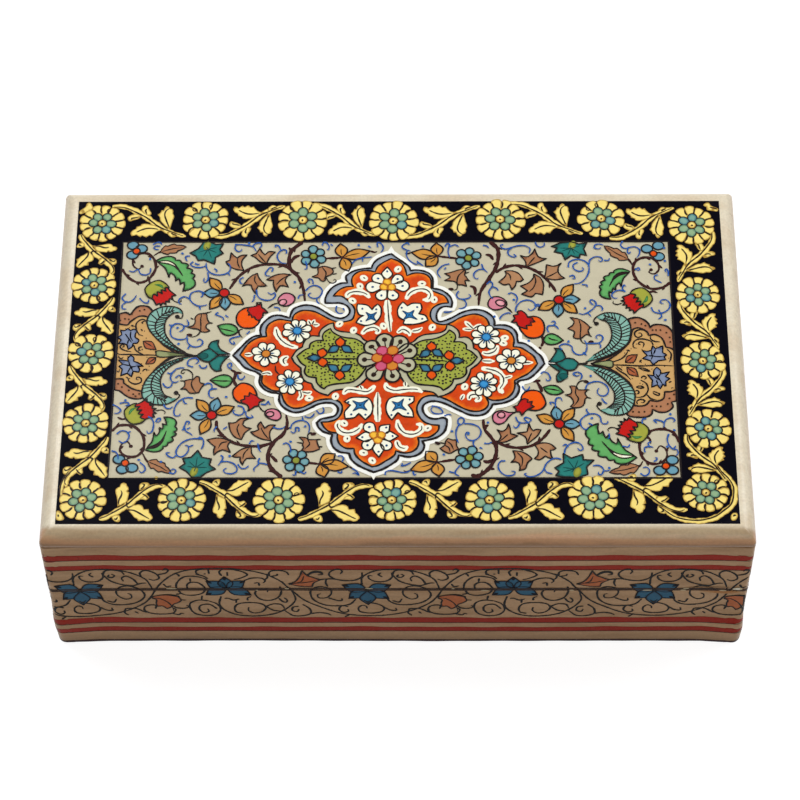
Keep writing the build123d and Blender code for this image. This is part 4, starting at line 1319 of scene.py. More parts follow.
def make_field_fruit():
    """Pomegranates and two-coloured buds."""
    coat = Coat("field_fruit", on_top, "lid", first=0.13, seed=51)
    # The fruit and its crown
    pomegranates = [
        ([(-41.9, 12), (-41.4, 13.8), (-40.1, 15), (-38.6, 15.4), (-36.4, 14.6), (-35.7, 12.6), (-36.1, 10.4),
          (-37.4, 9.1), (-38.7, 8.9), (-40.2, 9.1), (-41.4, 10.1)],
         [(-38.8, 15.4, 1), (-37.7, 15.6), (-36.7, 15.9, 1), (-36.8, 16.8, 1), (-36.1, 16.2, 1),
          (-35.6, 16.8, 1), (-35.4, 15.4, 1), (-34.5, 14.7, 1), (-33.7, 13.7, 1), (-35, 13.7, 1),
          (-35.2, 12.2), (-36.1, 11.2, 1), (-36.9, 11.7, 1), (-37.2, 12.4, 1), (-37.9, 12.2, 1),
          (-38.1, 13.1, 1), (-38.8, 12.9, 1), (-38.6, 13.7, 1), (-39.1, 14.3, 1)]),
        ([(34.5, 12.5), (36.4, 12.1), (37.5, 10.6), (37.7, 8.3), (37.1, 6.6), (35.6, 5.8), (33.6, 5.9),
          (32.3, 7.1), (31.3, 9), (32, 11.6)],
         [(34.8, 12, 1), (33.5, 12.1, 1), (33, 13.3), (31.9, 14.3, 1), (30.9, 14), (31, 13.1, 1),
          (29.7, 12.8, 1), (30.2, 11.8, 1), (29.2, 10.6, 1), (30.6, 10.6, 1), (30.9, 9.6), (31.8, 9),
          (33.3, 8.5, 1), (33.1, 9.7, 1), (34.5, 9.6, 1), (34.2, 10.6, 1), (35.4, 10.8, 1), (34.8, 11.5)]),
        ([(-41.3, -9.2), (-40, -8.1), (-38.6, -8.2), (-37.2, -9), (-36.3, -10.4), (-36, -12), (-37.5, -14.2),
          (-39.8, -14.1), (-41.2, -13.3), (-41.9, -12), (-42, -10.4)],
         [(-36, -11.9, 1), (-37.1, -11.4, 1), (-37.8, -10.9, 1), (-37.9, -12.1, 1), (-39.1, -11.9, 1),
          (-38.9, -13, 1), (-40, -13.3, 1), (-39.6, -14.1, 1), (-38.2, -14.8), (-37.8, -15.9, 1),
          (-38.1, -16.6, 1), (-37, -15.8, 1), (-36.4, -15.2, 1), (-35.4, -15, 1), (-35.2, -13.8, 1),
          (-33.8, -13.2, 1), (-35.2, -12.8, 1)]),
        ([(32.5, -10.8), (34.2, -10.3), (36.1, -10.8), (37.2, -12.7), (37.5, -14.6), (36.2, -16.1),
          (34.3, -16.4), (32.4, -15.6), (31.4, -13.6), (31.5, -12)],
         [(31.4, -13.2, 1), (32.3, -12.8, 1), (33.1, -13.2, 1), (32.9, -14, 1), (34.2, -13.7, 1),
          (33.8, -14.7, 1), (34.6, -15.3, 1), (33.2, -16, 1), (32.4, -16.6, 1), (31.4, -18, 1),
          (30.9, -16.8, 1), (29.9, -16.9, 1), (30, -16, 1), (29.2, -15.3, 1), (30.4, -14.9, 1),
          (30.8, -14, 1)]),
    ]
    for body, crown in pomegranates:
        coat.inked(smooth(body, True), "orange", layer=2, width=0.34)
        coat.inked(smooth(crown, True, 0.4), "red", layer=4, width=0.28)
    coat.inked(smooth([
        (-36.9, 16.9, 1), (-36.2, 16.3, 1), (-35.5, 16.9, 1),
    ], True), "field", layer=6, width=0.24)

    cup = [
        (-2.6, 0.9), (-1.9, 2.4), (0.2, 3.1), (1.6, 3, 1), (0.9, 2.1), (2, 1.7, 1), (0.8, 1), (2, 0.5, 1),
        (0.7, -0.2), (1.8, -0.9, 1), (0.7, -1.4), (1.6, -2.6, 1), (0.2, -3), (-1.9, -2.3), (-2.6, -0.9),
    ]
    skirt = [
        (0.2, 2.6), (2.4, 2.6), (4.6, 3, 1), (4.2, 1.9), (5.1, 1.6, 1), (4.4, 0.9), (5.3, 0.4, 1),
        (4.5, -0.2), (5.4, -0.8, 1), (4.4, -1.2), (4.9, -2.2, 1), (4, -1.9), (3.9, -2.9, 1), (2, -2.5),
        (0.2, -2.6),
    ]
    # Each bud: the middle of its cup, the middle of its skirt, and where the tail curls to
    for (x, y), skirt_middle, tail_tip in (
        ((-63, 21), (-61, 18.5), (-57.8, 18.9)), ((63, 18.5), (60.5, 16.7), (55.6, 16.7)),
        ((-66.5, -17.5), (-64, -16.2), (-60.7, -16.9)), ((60.5, -23), (57.2, -21.2), (53.2, -20.9)),
    ):
        turn = heading((x, y), skirt_middle)[1]
        side = 1 if math.sin(math.radians(heading(skirt_middle, tail_tip)[1] - turn)) > 0 else -1
        coat.inked(smooth(moved_points(skirt, x, y, turn), True), "red", layer=2, width=0.3)
        coat.inked(smooth(moved_points(cup, x, y, turn), True), "bud_olive", layer=4, width=0.3)
        tail = [(5, side * 1.4), (6.4, side * 1.8), (7, side * 2.8), (6.4, side * 3.3)]
        for line, width, paint, layer, taper in (
            ([(-1.6, 0.6), (-0.4, 1.6), (0.8, 1.7)], 0.7, "leaf_green", 6, (0.3, 0.3)),
            (tail, 0.3, "ink", 3, (1, 0.5)),
            ([(-2.5, 0), (-3.6, 0.3), (-4.4, 1.4)], 0.6, "stem", 1, (1, 0.5)),
        ):
            coat.stroke(moved(smooth(line), x, y, turn), width, paint, layer, taper)
    coat.finish()


def make_feathers():
    """The four curled plumes and the teal tulips between them."""
    coat = Coat("field_feathers", on_top, "lid", first=0.14, seed=61)
    # Outer edge, inner edge and rib
    plumes = [
        ([(-52.5, 0.5), (-57, 2), (-61, 4.5), (-64, 8), (-65, 11), (-64, 13.8), (-61.5, 15.5), (-58.5, 15.7),
          (-56.5, 14.8), (-55.8, 13.3), (-56.2, 12), (-57.2, 12.5)],
         [(-54.5, 1.3), (-57.5, 3.5), (-59.8, 6.5), (-60.4, 9.5), (-59.8, 12), (-58, 13.7), (-56.8, 13.8)],
         [(-55, 1.5), (-59.5, 4.5), (-62.5, 8), (-62.5, 11), (-60.5, 13.5), (-58, 14.5)]),
        ([(48, -1.7), (52, -0.5), (56, 1.5), (59, 4), (60, 8), (59.5, 11), (57.5, 13), (54, 13.6),
          (51.5, 12.5), (50.5, 11), (51.2, 10.2)],
         [(50, 0.3), (53, 2.5), (54.7, 5), (55, 8), (54, 10.6), (52, 11.6)],
         [(50, -0.6), (54.5, 2.1), (57.2, 5.4), (57.3, 9.2), (55.6, 11.8), (53, 12.7)]),
        ([(-52.5, 0.2), (-57, -0.8), (-61, -3), (-64, -6.5), (-65.2, -10), (-64.8, -12.7), (-62.5, -14.3),
          (-59.5, -14.6), (-57, -13.5), (-55.5, -11.8), (-56.5, -11)],
         [(-55, -0.8), (-58.5, -3), (-60.5, -6), (-60.5, -9), (-59.5, -11.5), (-57.5, -12.6)],
         [(-55, -0.6), (-59.4, -2.7), (-62.4, -6), (-62.9, -9.4), (-61.6, -12.2), (-58.8, -13.5)]),
        ([(47, -2.5), (52, -3.5), (56, -5.5), (59, -8.5), (60.3, -11.5), (59.5, -15.5), (57.5, -17.5),
          (54, -17.8), (51.5, -16.5), (50.5, -15), (51.2, -14.4)],
         [(50, -4.5), (53, -7.5), (55, -11), (54.8, -14), (53, -15.8)],
         [(50, -3.9), (54.6, -6.5), (57.4, -10.6), (57.3, -14.4), (54.8, -16.8)]),
    ]
    barbs = 20
    for outer, inner, rib in plumes:
        edge, lining, spine = smooth(outer), smooth(inner), smooth(rib)
        coat.patch(np.vstack([edge[: int(len(edge) * 0.93)], lining[::-1]]), "feather", 2)
        for line, width in ((edge, 0.42), (lining, 0.42), (spine, 0.4)):
            coat.stroke(line, width, "ink", 4, (0.8, 0.8))
        for k in range(1, barbs + 1):
            t = k / (barbs + 1)
            foot, ahead = point_on(spine, t), point_on(spine, t + 0.03) - point_on(spine, t)
            for line in (edge, lining):
                out = line[np.argmin(np.linalg.norm(line - foot, axis=1))] - foot
                aim = foot + out + 0.55 * np.linalg.norm(out) * ahead / np.linalg.norm(ahead)
                end = line[np.argmin(np.linalg.norm(line - aim, axis=1))]
                barb = smooth([foot, foot * 0.5 + end * 0.5, foot * 0.02 + end * 0.98])
                coat.stroke(barb, 0.32, "ink", 3, (1.0, 0.8))
        coat.dot(*outer[-1], 0.62, "ink", 4)

    # Tulips: the middle petal, the two beside it, and the middle of the eye
    cups = [
        ([(-46.2, 0.5, 1), (-47.3, 1.6), (-48.3, 2.5), (-49.5, 2.1), (-50.7, 1.3), (-51.7, 0.3, 1),
          (-50.7, -0.8), (-49.4, -1.5), (-48.3, -1.5), (-47.2, -0.6)],
         [(-48.4, -1.3), (-47.9, -3.2), (-46.7, -4.4), (-45.2, -4.2, 1), (-45.4, -2.9), (-44.4, -0.9),
          (-43.1, 0.3, 1), (-46.2, 0.3, 1), (-47.4, -0.7)],
         [(-48.5, 2.4), (-48.7, 3.5), (-47.9, 4.7), (-46.2, 5.2, 1), (-46.3, 3.7), (-45.4, 2.1),
          (-43, 0.8, 1), (-46.2, 0.7, 1), (-47.5, 1.7)], (-49.9, 0.25)),
        ([(40.4, -2, 1), (42.1, -1.3), (43.1, -0.6), (44.9, -0.8), (46.3, -2.2, 1), (45.2, -4), (43.5, -4.3),
          (42.5, -3.9), (41.1, -2.8)],
         [(38.5, -2.2, 1), (39.2, -2.9), (40.4, -4), (41.2, -4.6), (40.5, -5.9), (40.6, -7.8, 1),
          (41.9, -7.5), (43.1, -6.1), (43.3, -4.6), (42.1, -3.8), (40.6, -2.5, 1)],
         [(38.5, -1.7, 1), (39.2, -0.9), (40.2, 0.8), (40.6, 1.7), (40.1, 2.6, 1), (41.8, 2.2), (42.8, 0.4),
          (42.9, -0.7), (41.8, -1.4), (40.6, -1.9, 1)], (42.2, -6.1)),
    ]
    for middle, low, high, eye in cups:
        for line in (low, high, middle):
            coat.inked(smooth(line, True), "teal", layer=5 if line is middle else 3, width=0.26)
        coat.patch(oval(*eye, 1.25, 1.0), "teal_dark", 7)
    for line in ([(46.2, -2.3), (47.6, -2.2), (48.6, -2.0)], [(-51.5, 0.3), (-53.2, 0.3), (-55.2, 0.7)]):
        coat.stroke(smooth(line), 0.7, "ink", 3, (1.0, 0.5))
    coat.finish()


def make_palmettes():
    """Half palmettes against the two ends of the field."""
    coat = Coat("field_palmettes", on_top, "lid", first=0.085, seed=71)
    left_outer = [
        (-72.3, -10, 1), (-72.3, 13.5, 1), (-70.5, 13.9), (-69.5, 13.2, 1), (-67.5, 15.8), (-65, 15.8),
        (-63.6, 14.3, 1), (-63, 8), (-60.5, 4), (-56.5, 1.2), (-60.5, -2), (-63, -6.5), (-64.4, -12.2, 1),
        (-66, -12.8), (-68.5, -12.3), (-71, -10.3, 1),
    ]
    left_inner = [
        (-72.3, -6.7, 1), (-72.3, 10.3, 1), (-70, 10), (-69.3, 11, 1), (-67, 12.7), (-64.6, 12.2),
        (-63.4, 8.2), (-61, 4.4), (-57, 1, 1), (-60.8, -2.2), (-63.4, -6), (-64.6, -10.2), (-67.5, -9.8),
        (-70, -8, 1), (-70.3, -6.8),
    ]
    right_outer = [
        (70.8, -13.5, 1), (70.8, 7.2, 1), (70.3, 8.4), (69.2, 9.5), (67.2, 10), (65.6, 9.7), (65, 9, 1),
        (64.6, 10.3), (63.3, 11.6), (61.7, 12.2), (59.6, 11.8, 1), (59.2, 6), (56.8, 1.8), (49.5, -2.2, 1),
        (56.6, -5.8), (59.8, -10), (57.9, -16.6, 1), (58.3, -17.9), (60.1, -18.4), (62.7, -18.4),
        (64.2, -17.6), (64.6, -16.1, 1), (66.2, -16.9), (68.2, -16.8), (69.8, -15.3), (69.5, -13.9, 1),
    ]
    right_inner = [
        (70.8, -10.1, 1), (70.8, 2, 1), (70, 2.6), (68.8, 2.9, 1), (67.9, 5.6), (66.2, 6.8), (64.6, 6.5, 1),
        (64.2, 7.5), (63, 8.5), (61.7, 8.9), (60.4, 8.2), (59.5, 4.6), (56.2, 0.8), (52, -2.3, 1),
        (56.4, -5.4), (59.6, -9.2), (60, -14.9, 1), (61.5, -15.1), (63, -14.7), (64, -13.4, 1), (65.9, -13.6),
        (67.5, -12.8), (67.9, -10.8, 1), (69.6, -10.7),
    ]
    for outer, inner in ((left_outer, left_inner), (right_outer, right_inner)):
        coat.inked(smooth(outer, True), "palm_brown", layer=0, width=0.38)
        coat.inked(smooth(inner, True), "palm_tan", layer=2, width=0.36)
    for tip in (
        [(-62, 1.8), (-59.5, 1.6), (-56.5, 1.1), (-53.5, 0.4, 1), (-57, 0.2), (-60.5, -0.1), (-62, 0.3)],
        [(54.8, -1.4), (52, -1.6), (49.3, -2.2, 1), (52, -2.9), (54.8, -3.3)],
    ):
        coat.inked(smooth(tip, True), "tip_olive", layer=6, width=0.26)
    # The outline of each, and the lines in it
    mauve_flowers = [
        ([(-71.7, 8.4, 1), (-70.6, 8.2), (-69.8, 8.9, 1), (-69.1, 8.2, 1), (-68.3, 8.6), (-67.5, 8.2),
          (-67.8, 6.9), (-67.7, 6), (-66.8, 5.3), (-67.2, 4.3), (-68.2, 4.2, 1), (-68.4, 3.2),
          (-69.4, 2.3, 1), (-69.8, 3.8, 1), (-71, 4.2), (-72, 4, 1), (-71.4, 5.3, 1), (-72.3, 6.1, 1),
          (-71.3, 6.9, 1)],
         [[(-70.4, 7.2), (-69.5, 5.8), (-68.6, 4.4)], [(-69, 7.9), (-69, 6.2), (-68.3, 4.8)],
          [(-69.7, 4), (-69.5, 5), (-69.3, 5.6)]]),
        ([(-71.8, -0.9, 1), (-70.4, -1), (-69.2, -1.3, 1), (-69.3, -0.3), (-68.6, 0.5, 1), (-67.8, -0.2),
          (-67.8, -1.3, 1), (-66.5, -1.9), (-65.2, -2.9, 1), (-66.7, -2.8, 1), (-66.2, -3.7),
          (-66.3, -4.7, 1), (-67.8, -4.4, 1), (-68.1, -6.1, 1), (-69.3, -5, 1), (-70.9, -5.8, 1),
          (-70.6, -3.8, 1), (-71.5, -2.9, 1), (-70.6, -2.2, 1)],
         [[(-69.1, -1.3), (-68.4, -3), (-66.8, -2.8)], [(-68.4, -3), (-67.9, -4.3)],
          [(-68.4, -3), (-69.2, -4.9)], [(-70.5, -2.3), (-68.8, -2.7)]]),
        ([(62.6, 1.9, 1), (63.9, 1.6), (65, 1.9, 1), (65.4, 3.3, 1), (66.1, 2.4, 1), (68, 3.3, 1),
          (67.9, 1.2, 1), (68.9, 0.5, 1), (68.2, -0.1, 1), (68.6, -1, 1), (66.7, -1.3, 1), (65.3, -2.4),
          (64.6, -1.3, 1), (62.6, -0.6, 1), (63.9, 0.3, 1)],
         [[(65, 1.8), (65.3, 0.2), (68, -0.1)], [(65.3, 0.2), (64.1, 0.2)], [(66.1, 2.2), (65.5, 0.6)],
          [(65.3, 0.2), (64.8, -1.1)]]),
        ([(66.2, -3.3, 1), (67.1, -4.3), (67, -5.4, 1), (69.4, -4.7, 1), (68.3, -6.2, 1), (69.4, -6.8, 1),
          (68.3, -7.7, 1), (68.3, -9, 1), (67.5, -8.6, 1), (66.8, -9.9, 1), (66.1, -8.7, 1), (64.6, -9.4, 1),
          (64.9, -7.3, 1), (63.7, -5.6, 1), (65.3, -5.9, 1), (65.4, -4.3)],
         [[(65.9, -5.4), (66.9, -7.4), (67.5, -8.7)], [(65.3, -5.9), (66.5, -7.2)],
          [(67, -5.5), (66.3, -6.4)], [(66.2, -8.5), (65.9, -7.2)]]),
    ]
    for outline, lines in mauve_flowers:
        coat.inked(smooth(outline, True), "mauve", "navy", 4, 0.26)
        for line in lines:
            pen(coat, line, "navy", 0.25, 6)
    for base, tip, width in (
        ((-65.7, 4.9), (-62.2, 2.2), 2.4), ((-62.1, -0.2), (-64.7, -2.2), 2),
        ((58.2, -1.9), (61.4, 0.6), 2.4), ((58.5, -3.3), (61.4, -6.2), 2.3),
    ):
        length, turn = heading(base, tip)
        coat.inked(moved(petal(length, width, 0.5), *base, turn), "rust", layer=4, width=0.22)
        pen(coat, moved([(0.2, 0), (length * 0.7, 0.2)], *base, turn), width=0.2, layer=6)
    for x, y in (
        (-70.7, 11.9), (-69.7, 11.7), (-67, 14.4), (-65.8, 14.8), (-71.9, 11.4), (-70.4, -9.2),
        (-67.4, -11.4), (-65.9, -11.3), (-71.4, -8.2), (-69, 13.4), (-68.6, -10.2), (-66.8, -12),
        (61.2, 10.5), (62.8, 10.1), (63.8, 9.6), (65.6, 8.2), (66.5, 8.2), (67.6, 8.2), (69.1, 7.4),
        (69.9, 5.9), (70, 4.5), (70.2, -11.6), (69, -12.8), (68.5, -14.5), (66.7, -15.2), (65.6, -15.2),
        (64.5, -15.1), (62.5, -16.8), (61.1, -16.9), (59.6, -16.8),
    ):
        coat.dot(x, y, 0.27, "umber", 5)

    scrolls = [
        [(-72.2, 1.2), (-71.4, 0.8), (-68.7, 0.8), (-65.4, 0.6), (-63.2, 0.6), (-61.1, 0.4)],
        [(-65.2, 10.9), (-65.8, 11.7), (-66.9, 11.4), (-67.7, 10.3), (-67.7, 9), (-66.9, 7.1), (-65.7, 6.5)],
        [(-65.5, 11.2), (-66.3, 10.7), (-65.9, 10.3)], [(-66.3, 8.6), (-66, 8)],
        [(-69.1, 9.6), (-68.6, 9.8), (-68.5, 9.2)],
        [(-71, 3), (-70.5, 3.3), (-70.7, 3.8), (-71.4, 3.6), (-71.4, 2.8), (-70.2, 2), (-68.5, 1.6)],
        [(-68, 3.7), (-67.5, 2.2), (-66.5, 1.3), (-65.4, 0.8)],
        [(-65.8, 3.1), (-66.6, 3), (-66.6, 2.2), (-66, 2)],
        [(-71.7, 0.5), (-71.6, -0.3), (-70.8, -0.4), (-70.5, 0)],
        [(-65.4, -4.5), (-65, -3.9), (-64.3, -3.8), (-64.3, -4.4)],
        [(-69.6, -6.1), (-69, -6.5), (-68.7, -7.4), (-67.8, -8.1), (-66.8, -8.3), (-65.7, -7.8),
         (-65.5, -6.9), (-66, -6.3), (-66.7, -6.2), (-66.8, -6.9), (-66.2, -7)], [(-72, -4.2), (-71.4, -4.8)],
        [(-71.3, -4.1), (-71.6, -4.8)], [(-62.4, 1.9), (-61.9, 0.7)],
        [(52.6, -2.7), (55.2, -2.6), (58.5, -2.7), (62.4, -2.9), (66.2, -2.7), (70.6, -2.9)],
        [(64.3, 6.6), (64.3, 7.6), (63.2, 8.2), (61.9, 8.2), (61, 7.5), (61, 6.4), (61.8, 5.9), (62.8, 6.5),
         (62.5, 7.3), (61.8, 7.2)],
        [(65.6, 3.4), (65, 4.7), (63, 5.4), (61.2, 5.1), (60.4, 3.9), (60.6, 2.7), (61.4, 2.6)],
        [(63, 3.1), (63.2, 4.1), (62.3, 4.5), (61.7, 3.9), (62.4, 3.6)],
        [(65, 6.3), (65, 5.4), (65.9, 4.7), (67.4, 4.5)],
        [(54.9, -1.7), (57.2, -0.7), (58.5, 0.7), (59.2, 2.2)], [(58.6, 2), (59.6, 1.7)],
        [(61.8, -1.8), (62.4, -0.9)], [(69, 2.3), (70, 1), (69.9, -0.6), (69.4, -1.8)],
        [(55.6, -3.4), (56.6, -4.4), (58.2, -5.6), (59.4, -7.2)], [(55.9, -3), (57.4, -4.3)],
        [(61.4, -3.5), (62.8, -3.6), (64.3, -4.5), (62.8, -4.2), (61.4, -3.5)],
        [(62, -6.5), (62.8, -6), (63.4, -6.6), (62.7, -7)],
        [(61.9, -7.2), (63.3, -8.3), (63.7, -10.2), (62.7, -12), (61.2, -12.5), (60.2, -12.3)],
        [(60.3, -10.6), (61.1, -10.4), (61.3, -11.2), (60.6, -11.5)],
        [(60.6, -9.4), (61.7, -9), (62.6, -9.5), (61.6, -9.7), (60.6, -9.4)],
        [(63.3, -11.6), (64.3, -12.9), (65.7, -13.2)],
        [(65, -10.6), (66.6, -11.5), (66.2, -11.9), (65, -11.3), (65, -10.6)],
        [(60.8, -14.6), (60.7, -13.7), (61.6, -13.1), (62.6, -13.4), (62.4, -14.1), (61.6, -14)],
        [(69, -8), (69.8, -7.6)],
    ]
    for line in scrolls:
        pen(coat, line, width=0.3, layer=5)
    hand = coat.hand
    for inner in (left_inner, right_inner):
        outline = smooth(inner, True)
        low, high = outline.min(axis=0), outline.max(axis=0)
        spots = np.array([(hand.uniform(low[0], high[0]), hand.uniform(low[1], high[1])) for _ in range(150)])
        kept = inside(spots, outline) & (distance_to(spots, outline) > 0.8)
        for x, y in spots[kept][:44]:
            coat.dot(x, y, 0.16, "ink", 3)
    coat.finish()


BACK_LEFT_CURLS = [
    [(-64.4, 35.6), (-63.4, 36.2), (-62.6, 36.1), (-62.2, 35.4)],
    [(-62.9, 35), (-63.9, 35), (-64.3, 34.4), (-63.7, 33.9), (-62.9, 33.9)],
    [(-64.8, 27.6), (-65, 26.3), (-66.2, 25.7), (-67.5, 26.2), (-68.1, 27.5), (-69.3, 26.7), (-70.5, 27.1)],
    [(-71, 19.6), (-71.8, 18.4), (-71, 17.3), (-69.6, 17.2), (-68.6, 18.2), (-68.1, 19.3)],
    [(-70.5, 17.2), (-71.6, 16.2), (-71.5, 15), (-70.5, 14.9)],
    [(-67.1, 18.2), (-66.3, 17.2), (-65.1, 16.8), (-64.8, 17.9)],
    [(-54.9, 31.8), (-55.8, 31.6), (-55.6, 30.5), (-55.2, 30.1)],
    [(-53.9, 29.8), (-54.5, 29.1), (-53.5, 28.3), (-51.8, 28.1), (-50.5, 28.6), (-50.3, 29.6)],
    [(-53.1, 29.3), (-52.5, 29), (-52, 29.2)],
    [(-50.3, 28.6), (-49.9, 27.2), (-48.2, 25.9), (-45.8, 25.8), (-44.2, 26.8), (-44, 28.5), (-44.7, 29.5)],
    [(-44.5, 26.4), (-44, 25.4)], [(-48, 27.6), (-47.4, 27.1), (-47.8, 26.5)],
    [(-49.8, 26.3), (-49.6, 24.5), (-50.3, 23.3), (-50.8, 23.8), (-50.6, 24.8)],
    [(-42.8, 35.5), (-40.5, 35.3), (-38.2, 34.7), (-37.3, 33.2)],
    [(-42.8, 35.3), (-42.9, 34), (-42, 33.2), (-41.2, 33.6), (-41.1, 34.1)],
    [(-38.4, 34.9), (-37.5, 35.8), (-36.2, 35.9), (-36, 34.9), (-36.7, 34.4)],
    [(-40.6, 24.8), (-41.3, 24.3), (-41.2, 23.1), (-40.5, 22.9)],
    [(-50.6, 20), (-52, 20.6), (-53.8, 19.9), (-54.2, 18.2), (-53.3, 16.7), (-51.7, 15.8), (-49.5, 16.2)],
    [(-51.2, 20.3), (-50.8, 19.2), (-51.4, 18.6)],
    [(-54.2, 18), (-55.5, 18.8), (-56.8, 18.1), (-57, 16.8), (-56.2, 16.4)], [(-51.6, 15.8), (-51.3, 14.6)],
    [(-46.8, 13.7), (-47.3, 13.2), (-46.3, 12.7), (-45.4, 12.2), (-45.1, 11.2)],
    [(-44.6, 12.8), (-43.9, 12.2)],
    [(-59, 9.9), (-58.4, 9.3), (-57.7, 10.2), (-56, 10.1), (-55.3, 9.2), (-55.8, 8.1), (-56.6, 7.8)],
    [(-58.4, 9.8), (-58.8, 8), (-58.4, 6.3), (-56.8, 5.4), (-54.8, 5.6), (-54.3, 6.6)],
    [(-55.4, 9.6), (-54.3, 9.6), (-54.2, 10.5), (-54.7, 11.6)],
    [(-54.3, 5.6), (-54.2, 4.4), (-52.7, 3.1), (-50.8, 3.4), (-50.3, 4.7), (-51.2, 5.5), (-51.8, 4.8)],
    [(-54, 2.6), (-53.5, 3.6)],
    [(-41, 6.3), (-42.5, 5.9), (-43.4, 5.3), (-43, 4.2), (-42.1, 3.9), (-42.4, 4.8)],
    [(-38.9, 7.2), (-38.2, 8)], [(-32.3, 34.8), (-32.4, 35.3), (-31.6, 35.1), (-31.1, 34.2), (-31, 33.4)],
    [(-32, 15.4), (-31, 15.2), (-30.6, 14.2)],
    [(-29.4, 32.7), (-29.4, 33.5), (-30.2, 33.8), (-31.3, 33), (-31.8, 31.8), (-31.5, 30.5), (-30.5, 29.5),
     (-29.3, 29.4)],
    [(-33, 26.9), (-32.8, 27.8), (-33.5, 28.1), (-34.2, 27.2), (-34.8, 26), (-34.3, 25.4), (-33.4, 25.4)],
    [(-24.3, 29.8), (-24, 28.8), (-24, 27.6), (-24.7, 27.5)],
    [(-23.2, 23.3), (-23.6, 23.9), (-23.1, 24.4), (-22.4, 24), (-22.2, 22.6)],
    [(-24, 20.8), (-22.9, 22), (-21.5, 22.3), (-20.2, 21.5), (-19.8, 20.2), (-20.5, 18.7), (-21.6, 18.2),
     (-22.9, 18.6), (-23.4, 19.4), (-22.6, 20)], [(-21.2, 18.3), (-21.1, 17.2), (-20.4, 16.4)],
    [(-26, 18.3), (-25.6, 19.2), (-24.6, 19.3)], [(-17.7, 35.4), (-17.2, 34.9)],
    [(-20, 35.3), (-19.6, 36.2), (-18.8, 35.9), (-18.2, 34.6), (-18.5, 33.7), (-18.9, 33.9)],
    [(-12, 29.5), (-11, 30.6), (-9.5, 31.1), (-7.8, 31.3), (-6.9, 31.4)], [(-9.4, 31), (-9.4, 29.8)],
    [(-7.8, 34.8), (-7.2, 34.4)],
    [(-5.5, 34.8), (-5.6, 36), (-4.9, 36), (-4.1, 34.9), (-4.1, 33.7), (-4.7, 32.7)],
    [(-36.9, 20.7), (-36.7, 19.3), (-35.9, 18.2), (-34.3, 17.6), (-32.8, 17.9), (-32, 18.9), (-32.2, 20),
     (-33, 19.5), (-34, 20.1)], [(-37.4, 19.1), (-37.5, 18), (-38, 17)],
    [(-16, 15.6), (-16.1, 14.3), (-15.3, 13.4), (-14.2, 13.6)], [(-14.2, 14.9), (-13.9, 14.3)],
]
